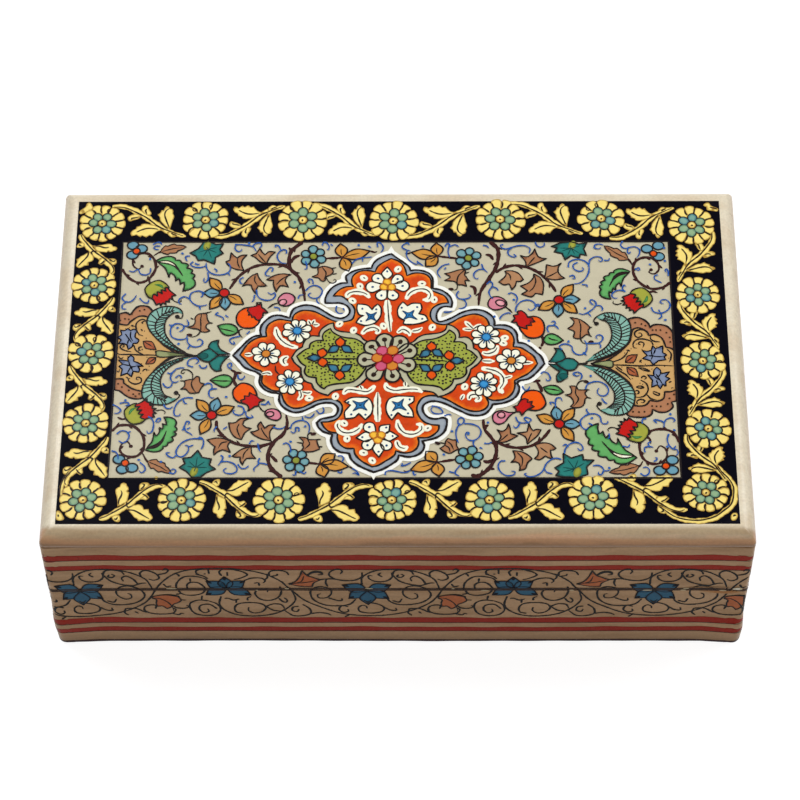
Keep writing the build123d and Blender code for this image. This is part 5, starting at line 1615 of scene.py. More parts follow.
FRONT_LEFT_CURLS = [
    [(-52.7, -3.1), (-53.9, -2.5), (-53.6, -1), (-52, -0.4), (-51.1, -1.4), (-52, -2.3)],
    [(-50.8, -2.7), (-50.4, -3.4), (-49.3, -3.4), (-48.9, -2.5)],
    [(-58.8, -5), (-58.2, -5.2), (-57.5, -4.7), (-56.8, -3.8), (-55.6, -3.4), (-54.6, -3.5)],
    [(-57.7, -4.9), (-58.1, -6.1), (-57.9, -7.3), (-57, -7.9), (-56, -7.5)],
    [(-56.7, -6.3), (-56, -5.7), (-55.4, -6), (-55.5, -6.8)],
    [(-59.9, -8.3), (-59.4, -9.1), (-58.5, -9.4), (-57.8, -8.9), (-57.6, -7.8)],
    [(-52.3, -12.6), (-53.6, -12.5), (-55, -13), (-56.2, -14.4), (-56.8, -16.4), (-56.5, -17.9),
     (-55.3, -17.9), (-55.2, -17.2)], [(-54.6, -13.2), (-54.2, -14.1), (-53.5, -14.4)],
    [(-59.4, -14.8), (-58.9, -15.6), (-57.9, -15.8), (-57.1, -15.2)],
    [(-70.5, -14.2), (-69.8, -14), (-68.6, -14), (-68.3, -14.7), (-69.3, -14.9)],
    [(-72.2, -14.7), (-71.3, -15.2), (-70.3, -16.3), (-71, -17.2), (-72, -17.2)],
    [(-63.1, -18.3), (-62.3, -18.9), (-61.8, -20.3), (-61.9, -22), (-62.3, -23), (-63.1, -23.2),
     (-63.4, -22.4)], [(-61.2, -19.7), (-60.8, -18.8), (-60.1, -18.7), (-60.3, -19.6), (-60.9, -20)],
    [(-70.8, -23.3), (-69.9, -22.5), (-68.5, -22.7), (-67.8, -23.9), (-68.2, -25.3), (-69.3, -26.1),
     (-70.4, -25.4)], [(-68.2, -23.1), (-67.4, -22.6)],
    [(-71.8, -28.5), (-70.9, -28.8), (-70.3, -29.9), (-70.2, -31)],
    [(-64.5, -32), (-63.5, -33), (-63.3, -34.2), (-64.2, -34.9), (-64.8, -34.2)],
    [(-54.3, -22.2), (-53.9, -21), (-53.4, -19.6), (-52.7, -19.9), (-53.1, -20.7)],
    [(-54, -21.3), (-53.5, -22.6), (-52.4, -23.3), (-51.8, -23.9)], [(-53.1, -21.9), (-52.4, -21.4)],
    [(-50, -24.4), (-49.3, -24.7), (-48.9, -25.9), (-49.1, -27.2), (-49.5, -28)],
    [(-49.6, -24.9), (-51.2, -24.8), (-53, -25.2), (-54.6, -26.3), (-55.6, -28), (-55.7, -29.3), (-55.2, -30),
     (-54.2, -30.2), (-53.2, -29.4), (-52.6, -28), (-52.9, -26.9), (-53.6, -26.8)],
    [(-52.7, -27.3), (-51.4, -26.7)],
    [(-55.8, -29.9), (-56.4, -30.5), (-57.6, -30), (-58.2, -29.1), (-57.2, -28.9)],
    [(-57, -34.9), (-56.1, -35.2), (-55.5, -34.3), (-56.2, -33.8), (-56.8, -34.2)],
    [(-49.2, -8.5), (-48.4, -8.1), (-47.6, -8.5), (-47.4, -9.5), (-48.1, -10.6), (-48, -12), (-47.3, -12.6),
     (-46.7, -12.4)], [(-47.8, -10.1), (-46.7, -9.8), (-46, -9.9)],
    [(-42.7, -3.7), (-43.5, -3.2), (-43.6, -2.4), (-42.9, -1.9), (-42.6, -2.4), (-42.9, -3.3)],
    [(-40.9, -5.8), (-40.8, -6.6), (-40, -7), (-39.3, -6.4), (-39.2, -5.8)],
    [(-38.6, -16.8), (-38.4, -18), (-37.6, -18.6), (-36.7, -18.4), (-37.2, -17.7)],
    [(-40.5, -15), (-39.5, -15.3), (-39, -16.4), (-39.4, -17.5), (-40.5, -17.8), (-41.5, -17.3),
     (-41.8, -16.6), (-41.2, -16.2)],
    [(-34.6, -14.5), (-33.6, -14.6), (-32.9, -13.6), (-32.6, -14.6), (-32.2, -14.4)],
    [(-45.9, -21.4), (-46.4, -22.2), (-46.3, -22.9)], [(-43.9, -21.9), (-43.1, -21.2)],
    [(-44.3, -29.9), (-43.9, -30.3), (-44.2, -31.5), (-45.1, -32.8)],
    [(-44.3, -31.7), (-42.8, -31.6), (-41.2, -32.2), (-40.3, -33.5), (-40.4, -34.6), (-41.6, -35.2),
     (-43.2, -34.9), (-43.6, -34.1), (-42.8, -33.5)],
    [(-40, -32.6), (-39.2, -33.6), (-38.1, -33.6), (-37.3, -32.8)],
    [(-34.7, -30.8), (-35, -31.6), (-34.9, -32.4), (-36, -33.7), (-35.9, -34.6)],
    [(-34.8, -32.1), (-33.6, -32.2), (-32.6, -32.6)], [(-37.3, -26.3), (-36.9, -25.5), (-36.1, -25.6)],
    [(-35.2, -26.5), (-34.9, -28), (-34.4, -28.8)],
    [(-31.3, -21.5), (-30.2, -21.9), (-29, -21.7), (-28.5, -21.1)],
    [(-27.1, -21.7), (-26.7, -20.5), (-25.5, -19.6), (-24.1, -19.4), (-22.8, -20.1), (-22.3, -21.5),
     (-22.5, -23.2)], [(-24, -19.3), (-24.2, -18.2)],
    [(-25, -22.5), (-25, -21.6), (-25.8, -21.6), (-25.8, -22.5), (-26.3, -23.2), (-27.1, -22.6)],
    [(-23.4, -18.3), (-22.3, -18.6), (-21.4, -17.9), (-21.2, -17.2)],
    [(-20.5, -16.6), (-19.8, -17.4), (-18.9, -17), (-18.8, -15.9), (-19.1, -15.4)],
    [(-28.7, -26.4), (-28.2, -26.1), (-27.3, -26.7), (-26.9, -28), (-26.9, -29)],
    [(-14.8, -30), (-14, -30), (-13.6, -30.8), (-14, -31.8)],
    [(-25.5, -34.7), (-25.6, -35.6), (-26.4, -35.5)], [(-24.4, -34.6), (-23.3, -35.2), (-22.9, -34.5)],
    [(-14.8, -34.8), (-14.1, -35), (-13.9, -34.3)],
    [(-11.2, -33.8), (-10.2, -34.6), (-9.7, -35.7), (-10.6, -35), (-11.4, -35.3)],
    [(-3.1, -35.4), (-3, -34.7), (-1.7, -34.3), (0, -34.6), (1.4, -34.9), (2.6, -34.7), (3.2, -34.2)],
    [(1.2, -32.4), (0.9, -33), (2, -32.7), (3.4, -31.9)],
]
BACK_RIGHT_CURLS = [
    [(2.7, 35.5), (2.3, 35.9), (1.4, 35.4), (0.9, 34.6), (1.6, 33.9), (3.2, 33.3)],
    [(5, 29.8), (5.8, 29.1), (6.5, 28.5)],
    [(2.2, 33.1), (2.1, 31.9), (2.8, 30.3), (4.2, 29.2), (5, 29.1), (5, 30.2)],
    [(13.6, 34.8), (14.9, 35.3), (15.9, 34.6)],
    [(12.3, 34.9), (12.7, 35.7), (13.4, 35.5), (13.2, 34.5), (13, 33), (13.4, 31.2)],
    [(12.3, 27.8), (12, 27.3)], [(22.4, 35.1), (23.2, 34.9), (23.7, 34.2)],
    [(13.1, 29.1), (12, 28.8), (10.8, 27.8), (10.2, 26.3), (11, 24.7)],
    [(21.8, 28.9), (22.2, 27.6), (23.3, 26.3)],
    [(27.3, 35.3), (26.8, 35.2), (27, 34.4), (28.2, 33.9), (29.6, 34.4), (31.5, 35), (33.4, 34.9), (34.5, 34),
     (34.2, 32.4)], [(29.6, 34.2), (28.7, 33.1), (29, 31.9), (30.3, 31.3), (30.8, 31.6), (30.1, 32.3)],
    [(24.4, 21.9), (25.5, 21.4), (26, 20.6)],
    [(22.3, 27.4), (21, 27.3), (19.8, 26.2), (19.8, 24.8), (20.6, 24.3), (20.9, 24.7)],
    [(28.7, 19.6), (29.3, 19.9), (30.4, 19.3), (30.9, 18.2), (30.4, 16.4)],
    [(23.2, 22.8), (23.9, 23.5), (24.5, 22.9), (24.4, 21.8), (23.6, 20.5), (23.8, 19), (24.6, 18)],
    [(26.3, 11.9), (27, 12.9), (28.6, 13.6), (29.2, 13.2)],
    [(30.4, 14.2), (30.6, 15.5), (31.6, 16.9), (33.2, 17.6), (34.8, 17.2), (35.6, 16), (35.2, 14.8),
     (34.1, 14.3), (33.6, 15)], [(35.5, 16), (36.4, 16.3), (36.7, 15.9), (35.7, 15.6)],
    [(15.6, 20.3), (15.1, 19.3), (15.6, 18.2), (16.9, 17.9), (18.4, 18.3), (18.8, 19), (18.2, 19.5)],
    [(16.8, 17.9), (17.6, 16.8), (17.4, 15.5), (16.3, 14.9), (15.6, 15)],
    [(12, 13.8), (13, 13.8), (14, 14.2)], [(36, 35.9), (36.4, 34.9), (37.3, 34.5), (38.2, 35), (38.3, 36)],
    [(44.4, 28.2), (44.6, 29.5), (45.8, 30.4), (47.5, 30.5), (49, 29.8), (49.8, 28.2), (49.6, 26.2),
     (48.6, 24.2), (47.2, 23), (45.6, 22.7)],
    [(46.7, 29.5), (45.8, 28.9), (45.7, 27.8), (46.6, 26.9), (47.8, 26.8), (48.4, 27.5), (47.9, 28)],
    [(54, 30.2), (55, 30.2), (55.2, 31)],
    [(49.8, 28.8), (50.1, 30.3), (51.3, 31.3), (52.8, 31.3), (53.4, 30.5), (52.9, 29.8), (52.3, 30.4)],
    [(51.4, 34.3), (51.6, 35.2), (52.8, 35.5), (53.8, 35.1)], [(51.5, 34.2), (52.5, 33.9), (53.2, 34.4)],
    [(58.8, 36.2), (58.3, 35.2), (59, 34.2), (60.3, 34.1)],
    [(60.3, 34.2), (60, 33), (60.4, 32.4), (60.9, 33)],
    [(60.3, 34.3), (62, 34.6), (63.2, 33.7), (63.1, 32.2), (62.4, 31)],
    [(44.8, 25.2), (45.7, 25.4), (46, 24.4), (45.2, 24.5)], [(48, 22.5), (49.1, 22.3), (49.1, 21.6)],
    [(58.8, 20.4), (57.5, 20.7), (56.2, 20.2), (55.4, 19), (56, 18.2), (57, 18.2)],
    [(58.9, 20.3), (58.3, 21.2), (58.8, 22.4), (59.2, 21.8)],
    [(50.4, 16.2), (49.7, 17), (50, 17.7), (50.9, 17.3), (51.3, 16.3), (50.6, 15), (49, 13.6), (47.8, 13.1),
     (46.7, 13.4)], [(49.2, 13.4), (49.9, 12.3)], [(51.2, 15.9), (52.3, 15.8), (52.9, 15), (52.7, 14.1)],
    [(38.7, 7.7), (38.4, 8.5), (38.8, 9.5), (39.9, 9.6), (40.6, 10.3), (40.2, 11), (39.5, 10.6)],
    [(40.2, 9.7), (41, 9.1), (41.4, 8.4)],
    [(42, 2.2), (41.4, 3), (42.1, 3.7), (43.4, 3.8), (44.6, 3.1), (44.8, 1.8), (45.6, 0.8), (46.8, 0.5),
     (48, 1.2), (48.5, 2.6), (48.4, 4), (47.9, 5)], [(47.6, 1.1), (48.4, 0.3)],
    [(48.4, 4), (50, 4), (51.7, 4.2), (52.6, 5.2), (52.6, 6.2), (51.7, 6.7), (50.9, 6.1), (51.3, 5.4)],
    [(51.6, 4.1), (52.1, 3.2), (51.8, 2.5)],
    [(65.6, 15.1), (66, 14), (67.5, 13.4), (69, 13.8), (70.2, 15), (70.4, 16.4), (69.6, 17.6), (68.4, 17.6),
     (67.9, 16.8), (68.8, 16.4)], [(67.5, 14.3), (67.9, 13.3), (68.1, 12.4), (67.2, 11.5)],
    [(62, 27.3), (62.8, 27.9), (63, 27.2), (62.3, 26.9)],
    [(67.5, 25.5), (66.8, 25.2), (66.8, 24.2), (68.6, 23)],
    [(70.4, 25.4), (70.4, 26.8), (70, 27.5), (69.6, 26.9), (70, 26.3)],
]
FRONT_RIGHT_CURLS = [
    [(36.6, -5.2), (37.2, -4.7), (38.2, -5.1), (38.8, -6.2), (38.8, -7.2), (38.1, -7.5), (37.7, -6.8)],
    [(44.8, -5.5), (45.6, -6), (46.4, -5.8)],
    [(44.9, -5.1), (45.8, -4.8), (46.8, -5.4), (46.9, -6.5), (46.3, -7.3)],
    [(51.9, -13), (52.4, -13.9), (53.2, -14.5)],
    [(47.8, -9.8), (48.3, -8.6), (49.8, -7.8), (51.5, -7.8), (53, -8.8), (53.6, -10.3), (53.1, -11.7),
     (52, -12.1), (50.9, -11.5), (50.8, -10.3), (51.3, -9.7)],
    [(40, -15.2), (40, -13.8), (40.4, -12.7), (41.4, -12.7), (41.7, -13.7)],
    [(39.9, -14.2), (38.6, -14), (39, -14.9)], [(3.9, -34.8), (4.2, -35.7), (4.7, -35.3)],
    [(47.6, -18), (46.5, -19), (46.1, -20.3), (46.7, -21.7), (47.6, -22.2), (48.1, -21.5)],
    [(48.6, -17.5), (48, -16.9), (47.8, -16.1), (48.2, -16)],
    [(47.6, -17.9), (48.9, -17.5), (50.3, -17.6), (51.3, -18.6), (51.4, -19.8), (52, -20.5), (53, -20.3),
     (53.1, -19.6)], [(48.4, -20.4), (49.3, -20.9)],
    [(41.9, -29.1), (42.2, -27.9), (43.2, -26.6), (44.8, -26), (46.1, -26.6), (46.6, -28), (45.8, -28.4),
     (45.2, -27.7)], [(42.8, -27.2), (42.3, -26.6), (41.5, -27.1)],
    [(40.9, -31), (39.8, -30.7), (38.4, -31.2), (37.2, -32.5), (36.6, -33.9), (35.8, -35.1), (34.2, -36),
     (32.7, -36.1), (31.7, -35.4), (32.4, -35.1)], [(36.7, -33.7), (37.3, -34.8), (38.8, -35.3)],
    [(49.2, -32.9), (50.3, -32.8), (51.3, -33.5), (51.8, -34.4), (53.2, -34.3)],
    [(51.6, -34.3), (51, -35.5), (50.2, -35.4), (50.4, -34.7)], [(53.3, -23.6), (53.4, -24.5), (52.9, -25)],
    [(61.8, -20.2), (61.9, -19.2), (63, -18.9)],
    [(65.3, -20.1), (64.7, -19.4), (65.5, -19.3), (67.2, -20.1), (67.2, -21.6)],
    [(67.3, -20.2), (68, -19.1), (69.4, -18.7), (70.1, -19.5), (69.6, -20)],
    [(62.1, -28.8), (62.1, -27.6), (63.3, -27.3), (64.3, -27.5)], [(63.3, -27.2), (63, -26.3), (63.8, -25.8)],
    [(69.4, -28), (70, -27)],
    [(68.3, -23.7), (67.9, -25), (68.2, -26.8), (69.2, -28), (70.2, -28.2), (70.4, -29.4), (69.8, -30)],
    [(56.8, -27.2), (58, -27.4), (58.4, -26.6)],
    [(60.9, -35.3), (61.7, -35.9), (62.8, -35.3), (63, -34.1), (62.2, -33.3), (61.4, -33.6)],
    [(64.4, -31.6), (64.9, -31.3), (65.1, -30.6), (64.5, -30.6)],
    [(15.2, -20.3), (15.3, -19.1), (16.2, -18.6), (16.8, -19.4), (16.3, -20.5), (15.1, -20.9)],
    [(15.6, -20.5), (14.8, -22.3), (14.7, -24.2), (15.3, -26.2)],
    [(17, -20.4), (18.5, -20.5), (20.2, -21.2), (21, -22.6), (20.6, -24.3), (19.2, -25.4), (17.8, -25.2),
     (17.1, -24), (17.4, -23), (18.2, -23.1)], [(19.2, -25.5), (19, -26.6), (19.6, -27.4)],
    [(22, -26.3), (22.8, -26.4), (23.7, -25.9)], [(20.8, -27.6), (21.4, -27.9)], [(13.1, -34.7), (14.2, -35)],
    [(26.8, -31.5), (25.8, -31.6), (25.2, -33), (25.7, -34.6), (27.2, -35.8), (29, -35.6), (29.4, -34.7),
     (28.4, -34.5)], [(29.9, -18.6), (30.3, -19.7), (31.3, -20.2), (32.9, -20.1)],
    [(30.8, -20.3), (30.4, -21.3), (29.6, -21.7), (29.2, -21)],
    [(33, -20.1), (32, -19), (32.4, -18.5), (33.4, -18.9), (33.8, -19.3), (33, -20.1)],
    [(15.5, -33), (14.6, -34.3), (14.4, -35.2), (15.5, -36)],
    [(8.8, -15.1), (9.8, -15.3), (11, -16.1), (11.4, -17.2), (10.4, -17.5), (9, -17.2), (8.4, -16.2),
     (8.8, -15.4)], [(12, -18), (13, -17.6), (13.6, -17.9)],
    [(31.8, -9.3), (32.2, -10.2), (33.1, -10.2), (33.6, -9.2)],
]
CURL_DOTS = [
    (-65.1, 30.8), (-57, 9), (-56.7, 32.6), (-56.5, 4), (-39.3, 35.9), (-27, 23.4), (-10.5, 35.2),
    (-69.3, -13.3), (-65, -31.1), (-59.4, -31.7), (-42.2, -30), (-43.7, -12.3), (-23.4, -21.2), (-27, -25.7),
    (6.4, 34.8), (24.9, 12.4), (30, 17.7), (48.4, 15), (65.8, 28.9), (69.7, 34.2), (69.7, 30), (69, 11.3),
    (33.6, 4.8), (43.8, 4.6), (49.1, -18.8), (53, -33.6), (69, -17.6), (67.8, -27.3), (49.2, -6),
    (13.7, -22.7), (22.8, -20.1), (11.6, -29.6), (17.8, -23.5), (69.8, -22.4),
]


def make_field_scrolls():
    """Blue pen curls that fill the gaps of the field."""
    coat = Coat("field_pen_scrolls", on_top, "lid", first=0.27, seed=81)
    for line in BACK_LEFT_CURLS + FRONT_LEFT_CURLS + BACK_RIGHT_CURLS + FRONT_RIGHT_CURLS:
        pen(coat, line, "pen_blue", 0.27, 1, (1.0, 0.75))
        coat.dot(*line[0], 0.26, "pen_blue", 1)
    for spot in CURL_DOTS:
        coat.dot(*spot, 0.36, "pen_blue", 1)
    coat.finish()


# ------------------------------------------------------------------ medallion
MEDALLION_OUTER = [
    (-1.9, 32.4, 1), (-3.5, 31.8), (-5.5, 30.6), (-6.7, 29), (-7, 27.8, 1), (-9.3, 27.6), (-11.4, 27),
    (-13, 26), (-13.7, 25.1), (-13.3, 23.1, 1), (-14.9, 23), (-16.9, 21.9), (-18.3, 20), (-19, 18),
    (-18.9, 16.7, 1), (-17.1, 16.7), (-15.1, 16.7), (-13.4, 15.9), (-12.6, 14.6), (-12.7, 13.4),
    (-13.7, 12.3), (-15.1, 11.9), (-17.1, 12.6), (-18.9, 13.9), (-20.6, 15.1), (-22.3, 15.9), (-24, 16.1),
    (-25.7, 15.7), (-27.1, 14.9), (-27.7, 13.7), (-28.1, 12, 1), (-29.1, 12.4), (-30.9, 12.9), (-32.6, 12.6),
    (-34.1, 11.4), (-35.3, 9.7), (-35.6, 7.7), (-35.3, 6.6, 1), (-37.1, 6.3), (-38.6, 5.1), (-40, 3.4),
    (-42.4, 0.4, 1), (-40.7, -1.5), (-39.4, -3.2), (-37.8, -4.1), (-36.5, -4.6), (-35.1, -5.6, 1),
    (-35.4, -7.4), (-35.1, -8.6), (-33.9, -10.1), (-32.3, -10.9), (-30.9, -11.1), (-30.1, -11.5, 1),
    (-30.2, -13.2), (-29.6, -14.8), (-28.1, -16.2), (-26.2, -17), (-24.3, -16.7), (-22.3, -15.7),
    (-20.4, -14.6), (-18.5, -14.1), (-16.5, -14.3), (-15.4, -15.3), (-15.2, -16.5), (-16, -18),
    (-17.8, -18.6), (-19.4, -19), (-20.5, -20.1, 1), (-20.1, -21.4), (-18.9, -22.7), (-17.5, -23.3),
    (-16.5, -23.6, 1), (-16.8, -25.4), (-16.2, -27.4), (-14.6, -28.8), (-13, -29.1), (-12.2, -29.3, 1),
    (-11.7, -30.9), (-10.4, -32.4), (-8.5, -33.6), (-6, -34.8, 1), (-3.9, -34), (-2, -32.8), (-0.1, -31.2),
    (0.3, -29.8, 1), (2.8, -30.3), (4.8, -29.8), (6.2, -28.6), (6.7, -27), (6.2, -25.6, 1), (8.3, -25.1),
    (9.9, -24.5), (11.2, -23.5), (11.9, -22.5), (12.4, -20.6), (12.4, -19.1, 1), (11.5, -18.6), (9.6, -19),
    (7.7, -18.5), (6.4, -16.7), (6.5, -14.9), (8, -13.8), (9.9, -13.7), (12.2, -14.5), (14.1, -15.6),
    (16.1, -16.7), (18, -17.7), (20.3, -18), (22.2, -17.4), (23.5, -15.9), (24.1, -14.6, 1), (26.4, -14.3),
    (28.3, -13.6), (29.8, -12.5), (30.7, -10.9), (30.9, -9.3), (30.4, -8.3, 1), (30.9, -7.5), (33.2, -6.9),
    (35.1, -5.3), (36.7, -3.3), (37.5, -2.2, 1), (36.7, 0), (35.4, 1.4), (34.1, 2.8), (32.5, 4),
    (30.9, 4.3, 1), (30.7, 5.4), (30.6, 7), (29.8, 8.5), (28.3, 9.5), (26.4, 9.8), (24.8, 9.6, 1),
    (24.9, 10.6), (24.5, 12.2), (23.5, 13.3), (21.9, 14.3), (19.9, 14.6), (18, 14.3), (16.1, 13.5),
    (14.1, 12.2), (11.9, 11.1), (10.4, 10.9), (9.9, 12.2), (10.1, 13.8), (10.9, 15.1), (12.2, 15.6),
    (13.8, 15.4, 1), (14, 17), (13.5, 18.6), (12.4, 19.9), (10.9, 20.9), (9, 21.3, 1), (9, 23.8), (8.8, 24.9),
    (8, 26.1), (6.4, 26.9), (4.5, 27.2), (3.2, 27, 1), (2.7, 28.3), (1.5, 29.5), (-0.4, 31.1),
]
MEDALLION_INNER = [
    (-1.9, 30.9, 1), (-4, 29.6), (-5.4, 28.3), (-6.1, 26.6, 1), (-7.7, 27), (-9.7, 26.9), (-11.3, 26),
    (-12.1, 24.6), (-12.1, 22.9), (-11.7, 21.9, 1), (-13.4, 21.9), (-15.1, 21.1), (-16.4, 19.7),
    (-16.9, 18.9, 1), (-14.9, 18.9), (-13.7, 18.1), (-12.6, 16.9), (-11.4, 15.1), (-11.3, 13.4),
    (-11.9, 11.6), (-13.6, 10.9), (-15.1, 10.7), (-17.1, 11.3), (-19.4, 12.7), (-21.4, 13.9), (-23.4, 14.4),
    (-25.1, 14.3), (-26.7, 13.3), (-27.3, 12.1), (-27.3, 11, 1), (-28.9, 11.3), (-30.6, 11.6), (-32.3, 11),
    (-33.7, 9.7), (-34.1, 8), (-33.9, 6.3, 1), (-35.7, 6), (-37.7, 4.9), (-39.1, 3.3), (-40.6, 0.5, 1),
    (-39.3, -0.9), (-38.1, -2.5), (-36.5, -3.8), (-34.9, -4.5), (-34.7, -5.6, 1), (-34.7, -8), (-33.6, -9.3),
    (-32, -10.3), (-30.2, -10.6, 1), (-29.6, -11.5), (-29.1, -13.2), (-28.1, -14.8), (-26.5, -15.7),
    (-24.6, -15.6), (-22.6, -14.6), (-20.7, -13.5), (-18.5, -13), (-16.2, -13.1), (-14.7, -14),
    (-14.1, -15.4), (-14.4, -17.4), (-15.5, -19), (-17.5, -19.8), (-19.4, -19.9, 1), (-18.6, -21.5),
    (-17.2, -22.8), (-15.2, -23.2, 1), (-15.2, -24.8), (-14.6, -26.5), (-13, -27.7), (-11, -27.8, 1),
    (-10.7, -29.5), (-9.4, -31.2), (-7.8, -32.4), (-6.4, -33.2, 1), (-4.9, -32.8), (-3, -31.5), (-1.7, -30.6),
    (-0.7, -29.6), (-0.5, -28.5, 1), (1.5, -29.1), (3.5, -28.8), (4.8, -27.7), (5.3, -26.1), (5.1, -24.6, 1),
    (7.7, -24.5), (9.3, -23.5), (10.3, -22.2), (10.4, -20.9, 1), (8.6, -20.7), (6.7, -19.9), (5.3, -18),
    (4.8, -16.1), (5.1, -14.5), (6.1, -12.8), (7.7, -12), (9.6, -12), (11.5, -12.7), (13.5, -13.8),
    (15.4, -15.1), (17.4, -16.2), (19.3, -16.7), (21.2, -16.5), (22.5, -15.6), (23, -14.1), (22.4, -12.5, 1),
    (23.8, -13.3), (26.1, -13.3), (28, -12.5), (29.3, -10.9), (29.8, -9), (29.8, -7.4, 1), (31.2, -6.5),
    (33.2, -5.3), (34.8, -3.6), (35.7, -2.2, 1), (34.8, 0), (33.2, 1.5), (31.5, 2.7), (29.6, 3, 1),
    (29.8, 5.4), (29.1, 7.2), (27.7, 8.3), (25.7, 8.6), (23.8, 8.8, 1), (23, 11.4), (21.9, 12.5),
    (19.9, 13.2), (17.7, 12.8), (15.7, 11.9), (13.8, 10.6), (11.9, 9.9), (9.9, 10.3), (8.8, 11.2),
    (8.3, 12.8), (8.6, 14.5), (9.6, 15.7), (11.2, 16.5), (13, 16.7, 1), (12.7, 17.8), (11.9, 19),
    (10.6, 19.7), (8.5, 20.7, 1), (8.6, 22.8), (8.3, 24.5), (7.4, 25.6), (5.7, 26.2), (3.8, 26.1),
    (2.2, 25.4, 1), (1.9, 27), (1.2, 28.8), (-0.1, 30.1),
]


def widened(line, amount):
    """A closed outline moved outwards all round, its cusps cut short so that it never crosses itself."""
    before, after = np.roll(line, 1, axis=0), np.roll(line, -1, axis=0)
    ahead = after - before
    ahead /= np.linalg.norm(ahead, axis=1)[:, None] + 1e-9
    way = 1 if area(line) < 0 else -1
    out = line + amount * way * np.column_stack([-ahead[:, 1], ahead[:, 0]])
    return out[distance_to(out, line) > amount * 0.97]


def make_medallion():
    """Lobed medallion: white halo, grey band and the orange ground."""
    coat = Coat("medallion_ground", on_top, "lid", first=0.20, seed=91)
    outer, inner = smooth(MEDALLION_OUTER, True, 0.4), smooth(MEDALLION_INNER, True, 0.4)
    coat.patch(widened(outer, 1.3), "halo", 0)
    for x, y, turn in ((-1.9, 31.4, 90), (-42.2, 0.5, 180), (-6.0, -33.4, -90), (36.6, -2.1, 0)):
        coat.patch(moved(petal(3.6, 2.2, 0.4), x, y, turn), "halo", 0)
    coat.patch(outer, "band", 1)
    coat.loop(outer, 0.42, "ink", 3)
    coat.patch(inner, "vermilion", 2, grain=0.7)
    coat.loop(inner, 0.36, "ink", 3)
    coat.finish()


def right_of(points):
    """A left-hand cartouche point carried to the right half of the medallion."""
    return [(-5.8 - p[0] + 0.16 * (p[1] + 0.7), p[1] - 0.012 * (p[0] + 17) - 0.5, *p[2:]) for p in points]


def make_cartouches():
    """The two green cartouches with their trefoils."""
    coat = Coat("medallion_cartouches", on_top, "lid", first=0.29, seed=101)
    outer = [
        (-16.7, 10.5, 1), (-18.2, 9.9), (-19.8, 8.5), (-20.4, 7), (-20.3, 6.3, 1), (-22.3, 6.4), (-23.7, 5.4),
        (-24.4, 4), (-24.6, 3, 1), (-26, 2), (-27.3, -0.3, 1), (-26.5, -1.9), (-24.9, -3.5, 1), (-24.7, -5.4),
        (-23.9, -7.4), (-22, -8.3, 1), (-21.4, -9.9), (-19.7, -11.2), (-17.8, -11.9, 1), (-16.5, -10.6),
        (-14.6, -10.1), (-12.3, -9.9), (-10.4, -9.1), (-8.8, -7.7), (-6.5, -4.5, 1), (-6.5, 4, 1),
        (-8.8, 5.2), (-9.8, 6.5), (-11.3, 7.3), (-13.4, 7.6), (-15.2, 7.9), (-16.4, 8.7),
    ]
    inner = [
        (-17.5, 8.7, 1), (-19, 7.5), (-19.5, 6.2), (-19.2, 4.9, 1), (-21, 4.9), (-22.5, 4), (-22.8, 2.6, 1),
        (-24, 2), (-26, 0.1, 1), (-24.9, -1.9), (-23.6, -3, 1), (-23.9, -4.8), (-23, -6.1), (-20.9, -6.5, 1),
        (-20.7, -8), (-19.7, -9.3), (-18.8, -9.9, 1), (-18, -9.1), (-16.2, -8.5), (-13.6, -8.2),
        (-11.4, -7.7), (-9.7, -6.1), (-8.2, -3.6, 1), (-8.2, 3, 1), (-9.8, 4.7), (-11.3, 5.5), (-13.4, 5.8),
        (-15.2, 6.4), (-16.9, 7.6),
    ]
    for line in (outer, right_of(outer)):
        coat.inked(smooth(line, True), "cream", layer=0, width=0.34)
    for line in (inner, right_of(inner)):
        outline = smooth(line, True)
        coat.inked(outline, "cartouche", layer=2, width=0.34)
        low, high = outline.min(axis=0), outline.max(axis=0)
        spots = np.array([
            (u + coat.hand.uniform(-0.3, 0.3), v + coat.hand.uniform(-0.3, 0.3))
            for u in np.arange(low[0], high[0], 1.05) for v in np.arange(low[1], high[1], 1.0)
        ])
        kept = inside(spots, outline) & (distance_to(spots, outline) > 0.55)
        for x, y in spots[kept]:
            coat.dot(x, y, coat.hand.uniform(0.2, 0.32), "ink", 4)

    # The middle of each trefoil, and the place, direction and colour (orange or blue) of its lobes
    sprigs = [
        ((-14.9, 2.9), [((-14.9, 4.4), 90, "o"), ((-16.4, 2.3), 215, "b"), ((-13.3, 2.3), -35, "b")]),
        ((-14.9, -4.5), [((-14.9, -5.9), -90, "o"), ((-16.4, -3.7), 145, "b"), ((-13.4, -3.7), 35, "b")]),
        ((-19.6, -0.4), [((-19.5, 1.1), 80, "o"), ((-19.3, -1.9), -80, "o"), ((-21.4, -0.5), 180, "b")]),
        ((8.6, 1.6), [((8.6, 3), 90, "o"), ((7.1, 0.9), 215, "b"), ((10, 1.1), -35, "b")]),
        ((8.6, -4.5), [((8.6, -5.8), -90, "o"), ((7.1, -3.7), 145, "b"), ((9.9, -3.7), 35, "b")]),
        ((13.3, -1.4), [((13.1, 0.3), 100, "o"), ((13.3, -3.1), -80, "o"), ((15, -1.4), 0, "b")]),
    ]
    for (x, y), lobes in sprigs:
        for (lx, ly), turn, kind in lobes:
            paint = "trefoil_orange" if kind == "o" else "trefoil_blue"
            shape = petal(3.1, 2.4, 0.62) if kind == "o" else petal(3.7, 2.1, 0.5)
            coat.inked(moved(shape, *around(lx, ly, turn, -1.6), turn), paint, layer=5, width=0.28)
    for line in ([(-19.2, -0.6), (-15, -0.8), (-9.2, -0.7)], [(3.6, -0.9), (8.6, -1.2), (12.6, -1.5)]):
        pen(coat, line, "ink", 0.32, 5)
    coat.finish()


